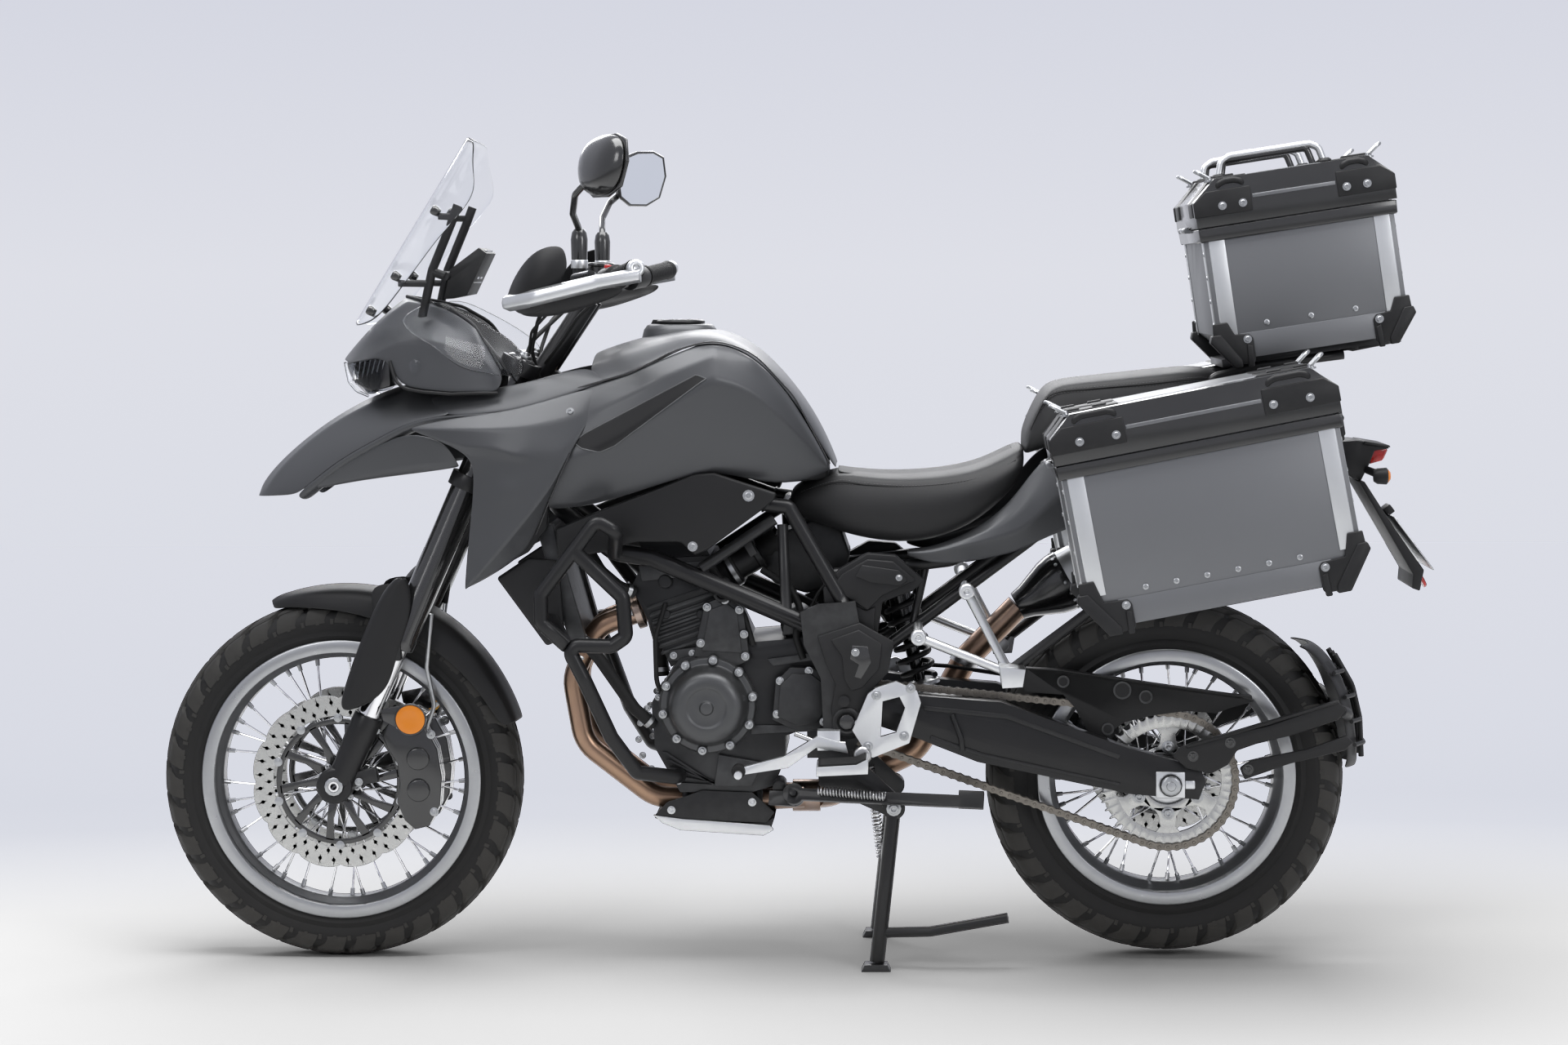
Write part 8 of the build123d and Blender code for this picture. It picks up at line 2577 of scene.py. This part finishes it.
class MotorcycleWheels(bpy.types.Operator):
    """Builds both tyres, wire-spoked rims and brake discs"""
    bl_idname = "motorcycle.wheels"
    bl_label = "Tyres and Rims"

    def execute(self, context):
        make_tyre("front_tyre", FRONT_AXLE, 330, 56, 241)
        make_tyre("rear_tyre", REAR_AXLE, 325, 76, 218)
        make_rim("front_rim", FRONT_AXLE, 56, 241, 52, 38, 18, 38)
        make_rim("rear_rim", REAR_AXLE, 76, 218, 80, 46, 18, 38)
        make_discs()
        return {"FINISHED"}


class MotorcycleDrive(bpy.types.Operator):
    """Builds the chain and the rear sprocket"""
    bl_idname = "motorcycle.drive"
    bl_label = "Chain and Sprocket"

    def execute(self, context):
        make_chain()
        make_rear_sprocket()
        return {"FINISHED"}


class MotorcycleTank(bpy.types.Operator):
    """Builds the tank with its shells, inlays and filler cap"""
    bl_idname = "motorcycle.tank"
    bl_label = "Fuel Tank"

    def execute(self, context):
        make_tank()
        make_tank_cap()
        return {"FINISHED"}


class MotorcycleFairing(bpy.types.Operator):
    """Builds the side wings, the lower panels, the beak and the nose"""
    bl_idname = "motorcycle.fairing"
    bl_label = "Fairing"

    def execute(self, context):
        make_wings()
        make_lower_panels()
        make_beak()
        make_nose()
        return {"FINISHED"}


class MotorcycleLamps(bpy.types.Operator):
    """Builds the headlamp, the windscreen and the instruments"""
    bl_idname = "motorcycle.lamps"
    bl_label = "Headlamp and Dash"

    def execute(self, context):
        make_headlamp()
        make_windscreen()
        make_instruments()
        return {"FINISHED"}


class MotorcycleFork(bpy.types.Operator):
    """Builds the fork legs, the clamps, the fender, the guards and the calipers"""
    bl_idname = "motorcycle.fork"
    bl_label = "Fork and Clamps"

    def execute(self, context):
        make_fork()
        make_clamps()
        make_front_fender()
        make_fork_guards()
        make_front_calipers()
        return {"FINISHED"}


class MotorcycleCockpit(bpy.types.Operator):
    """Builds the bar, controls, mirrors, hand guards and their lines"""
    bl_idname = "motorcycle.cockpit"
    bl_label = "Handlebar"

    def execute(self, context):
        make_handlebar()
        make_hand_controls()
        make_mirrors()
        make_hand_guards()
        make_steering_lines()
        return {"FINISHED"}


class MotorcycleEngine(bpy.types.Operator):
    """Builds the engine, its covers and hoses"""
    bl_idname = "motorcycle.engine"
    bl_label = "Engine"

    def execute(self, context):
        make_engine()
        make_engine_lines()
        make_engine_covers()
        return {"FINISHED"}


class MotorcycleExhaust(bpy.types.Operator):
    """Builds the headers, the silencer, the radiator and the skid plate"""
    bl_idname = "motorcycle.exhaust"
    bl_label = "Exhaust and Radiator"

    def execute(self, context):
        make_exhaust_pipes()
        make_silencer()
        make_radiator()
        make_skid_plate()
        return {"FINISHED"}


class MotorcycleFrame(bpy.types.Operator):
    """Builds the trellis frame, the subframe and the crash bars"""
    bl_idname = "motorcycle.frame"
    bl_label = "Frame and Guards"

    def execute(self, context):
        make_frame()
        make_engine_guard()
        return {"FINISHED"}


class MotorcycleSeats(bpy.types.Operator):
    """Builds both cushions with their seams and stitches"""
    bl_idname = "motorcycle.seats"
    bl_label = "Seats"

    def execute(self, context):
        make_seats()
        return {"FINISHED"}


class MotorcycleTail(bpy.types.Operator):
    """Builds the tail panels, side covers, tail lamp and plate holder"""
    bl_idname = "motorcycle.tail"
    bl_label = "Tail and Side Covers"

    def execute(self, context):
        make_side_covers()
        make_tail()
        make_tail_lamp()
        make_plate_holder()
        return {"FINISHED"}


class MotorcycleSuspension(bpy.types.Operator):
    """Builds the swingarm, the shock, the chain guard, the hugger and the rear caliper"""
    bl_idname = "motorcycle.suspension"
    bl_label = "Rear Suspension"

    def execute(self, context):
        make_swingarm()
        make_shock()
        make_chain_guard()
        make_hugger()
        make_rear_caliper()
        return {"FINISHED"}


class MotorcyclePegs(bpy.types.Operator):
    """Builds the foot pegs, levers and their brackets"""
    bl_idname = "motorcycle.pegs"
    bl_label = "Pegs and Levers"

    def execute(self, context):
        make_foot_controls()
        make_pillion_pegs()
        return {"FINISHED"}


class MotorcycleLuggage(bpy.types.Operator):
    """Builds both side cases, the top case and the racks"""
    bl_idname = "motorcycle.luggage"
    bl_label = "Cases and Racks"

    def execute(self, context):
        make_pannier("left")
        make_pannier("right")
        make_top_case()
        make_racks()
        return {"FINISHED"}


class MotorcycleStands(bpy.types.Operator):
    """Builds the centre stand and the side stand"""
    bl_idname = "motorcycle.stands"
    bl_label = "Stands"

    def execute(self, context):
        make_stands()
        return {"FINISHED"}


class MotorcycleStage(bpy.types.Operator):
    """Builds the floor, the backdrop, the lamps and the camera"""
    bl_idname = "motorcycle.stage"
    bl_label = "Studio Stage"

    def execute(self, context):
        make_stage()
        return {"FINISHED"}


STEPS = [MotorcycleFinishes, MotorcycleWheels, MotorcycleDrive, MotorcycleTank, MotorcycleFairing,
    MotorcycleLamps, MotorcycleFork, MotorcycleCockpit, MotorcycleEngine, MotorcycleExhaust, MotorcycleFrame,
    MotorcycleSeats, MotorcycleTail, MotorcycleSuspension, MotorcyclePegs, MotorcycleLuggage,
    MotorcycleStands, MotorcycleStage]


class MotorcyclePanel(bpy.types.Panel):
    """Lists the pieces, sizes and colours of the motorcycle in the sidebar"""
    bl_idname = "VIEW3D_PT_motorcycle"
    bl_label = "Motorcycle"
    bl_space_type = "VIEW_3D"
    bl_region_type = "UI"
    bl_category = "Motorcycle"

    def draw(self, context):
        layout = self.layout
        for group in (context.scene.motorcycle_sizes, context.scene.motorcycle_colours):
            for key in group.bl_rna.properties.keys():
                if key not in ("rna_type", "name"):
                    layout.prop(group, key)
        for step in STEPS:
            layout.operator(step.bl_idname)


CLASSES = [MotorcycleColours, MotorcycleSizes, *STEPS, MotorcyclePanel]


def register():
    for item in CLASSES:
        bpy.utils.register_class(item)
    bpy.types.Scene.motorcycle_colours = PointerProperty(type=MotorcycleColours)
    bpy.types.Scene.motorcycle_sizes = PointerProperty(type=MotorcycleSizes)


def unregister():
    del bpy.types.Scene.motorcycle_sizes
    del bpy.types.Scene.motorcycle_colours
    for item in reversed(CLASSES):
        bpy.utils.unregister_class(item)


def main():
    register()
    for step in STEPS:
        getattr(bpy.ops.motorcycle, step.bl_idname.split(".")[1])()


if __name__ == "__main__":
    main()
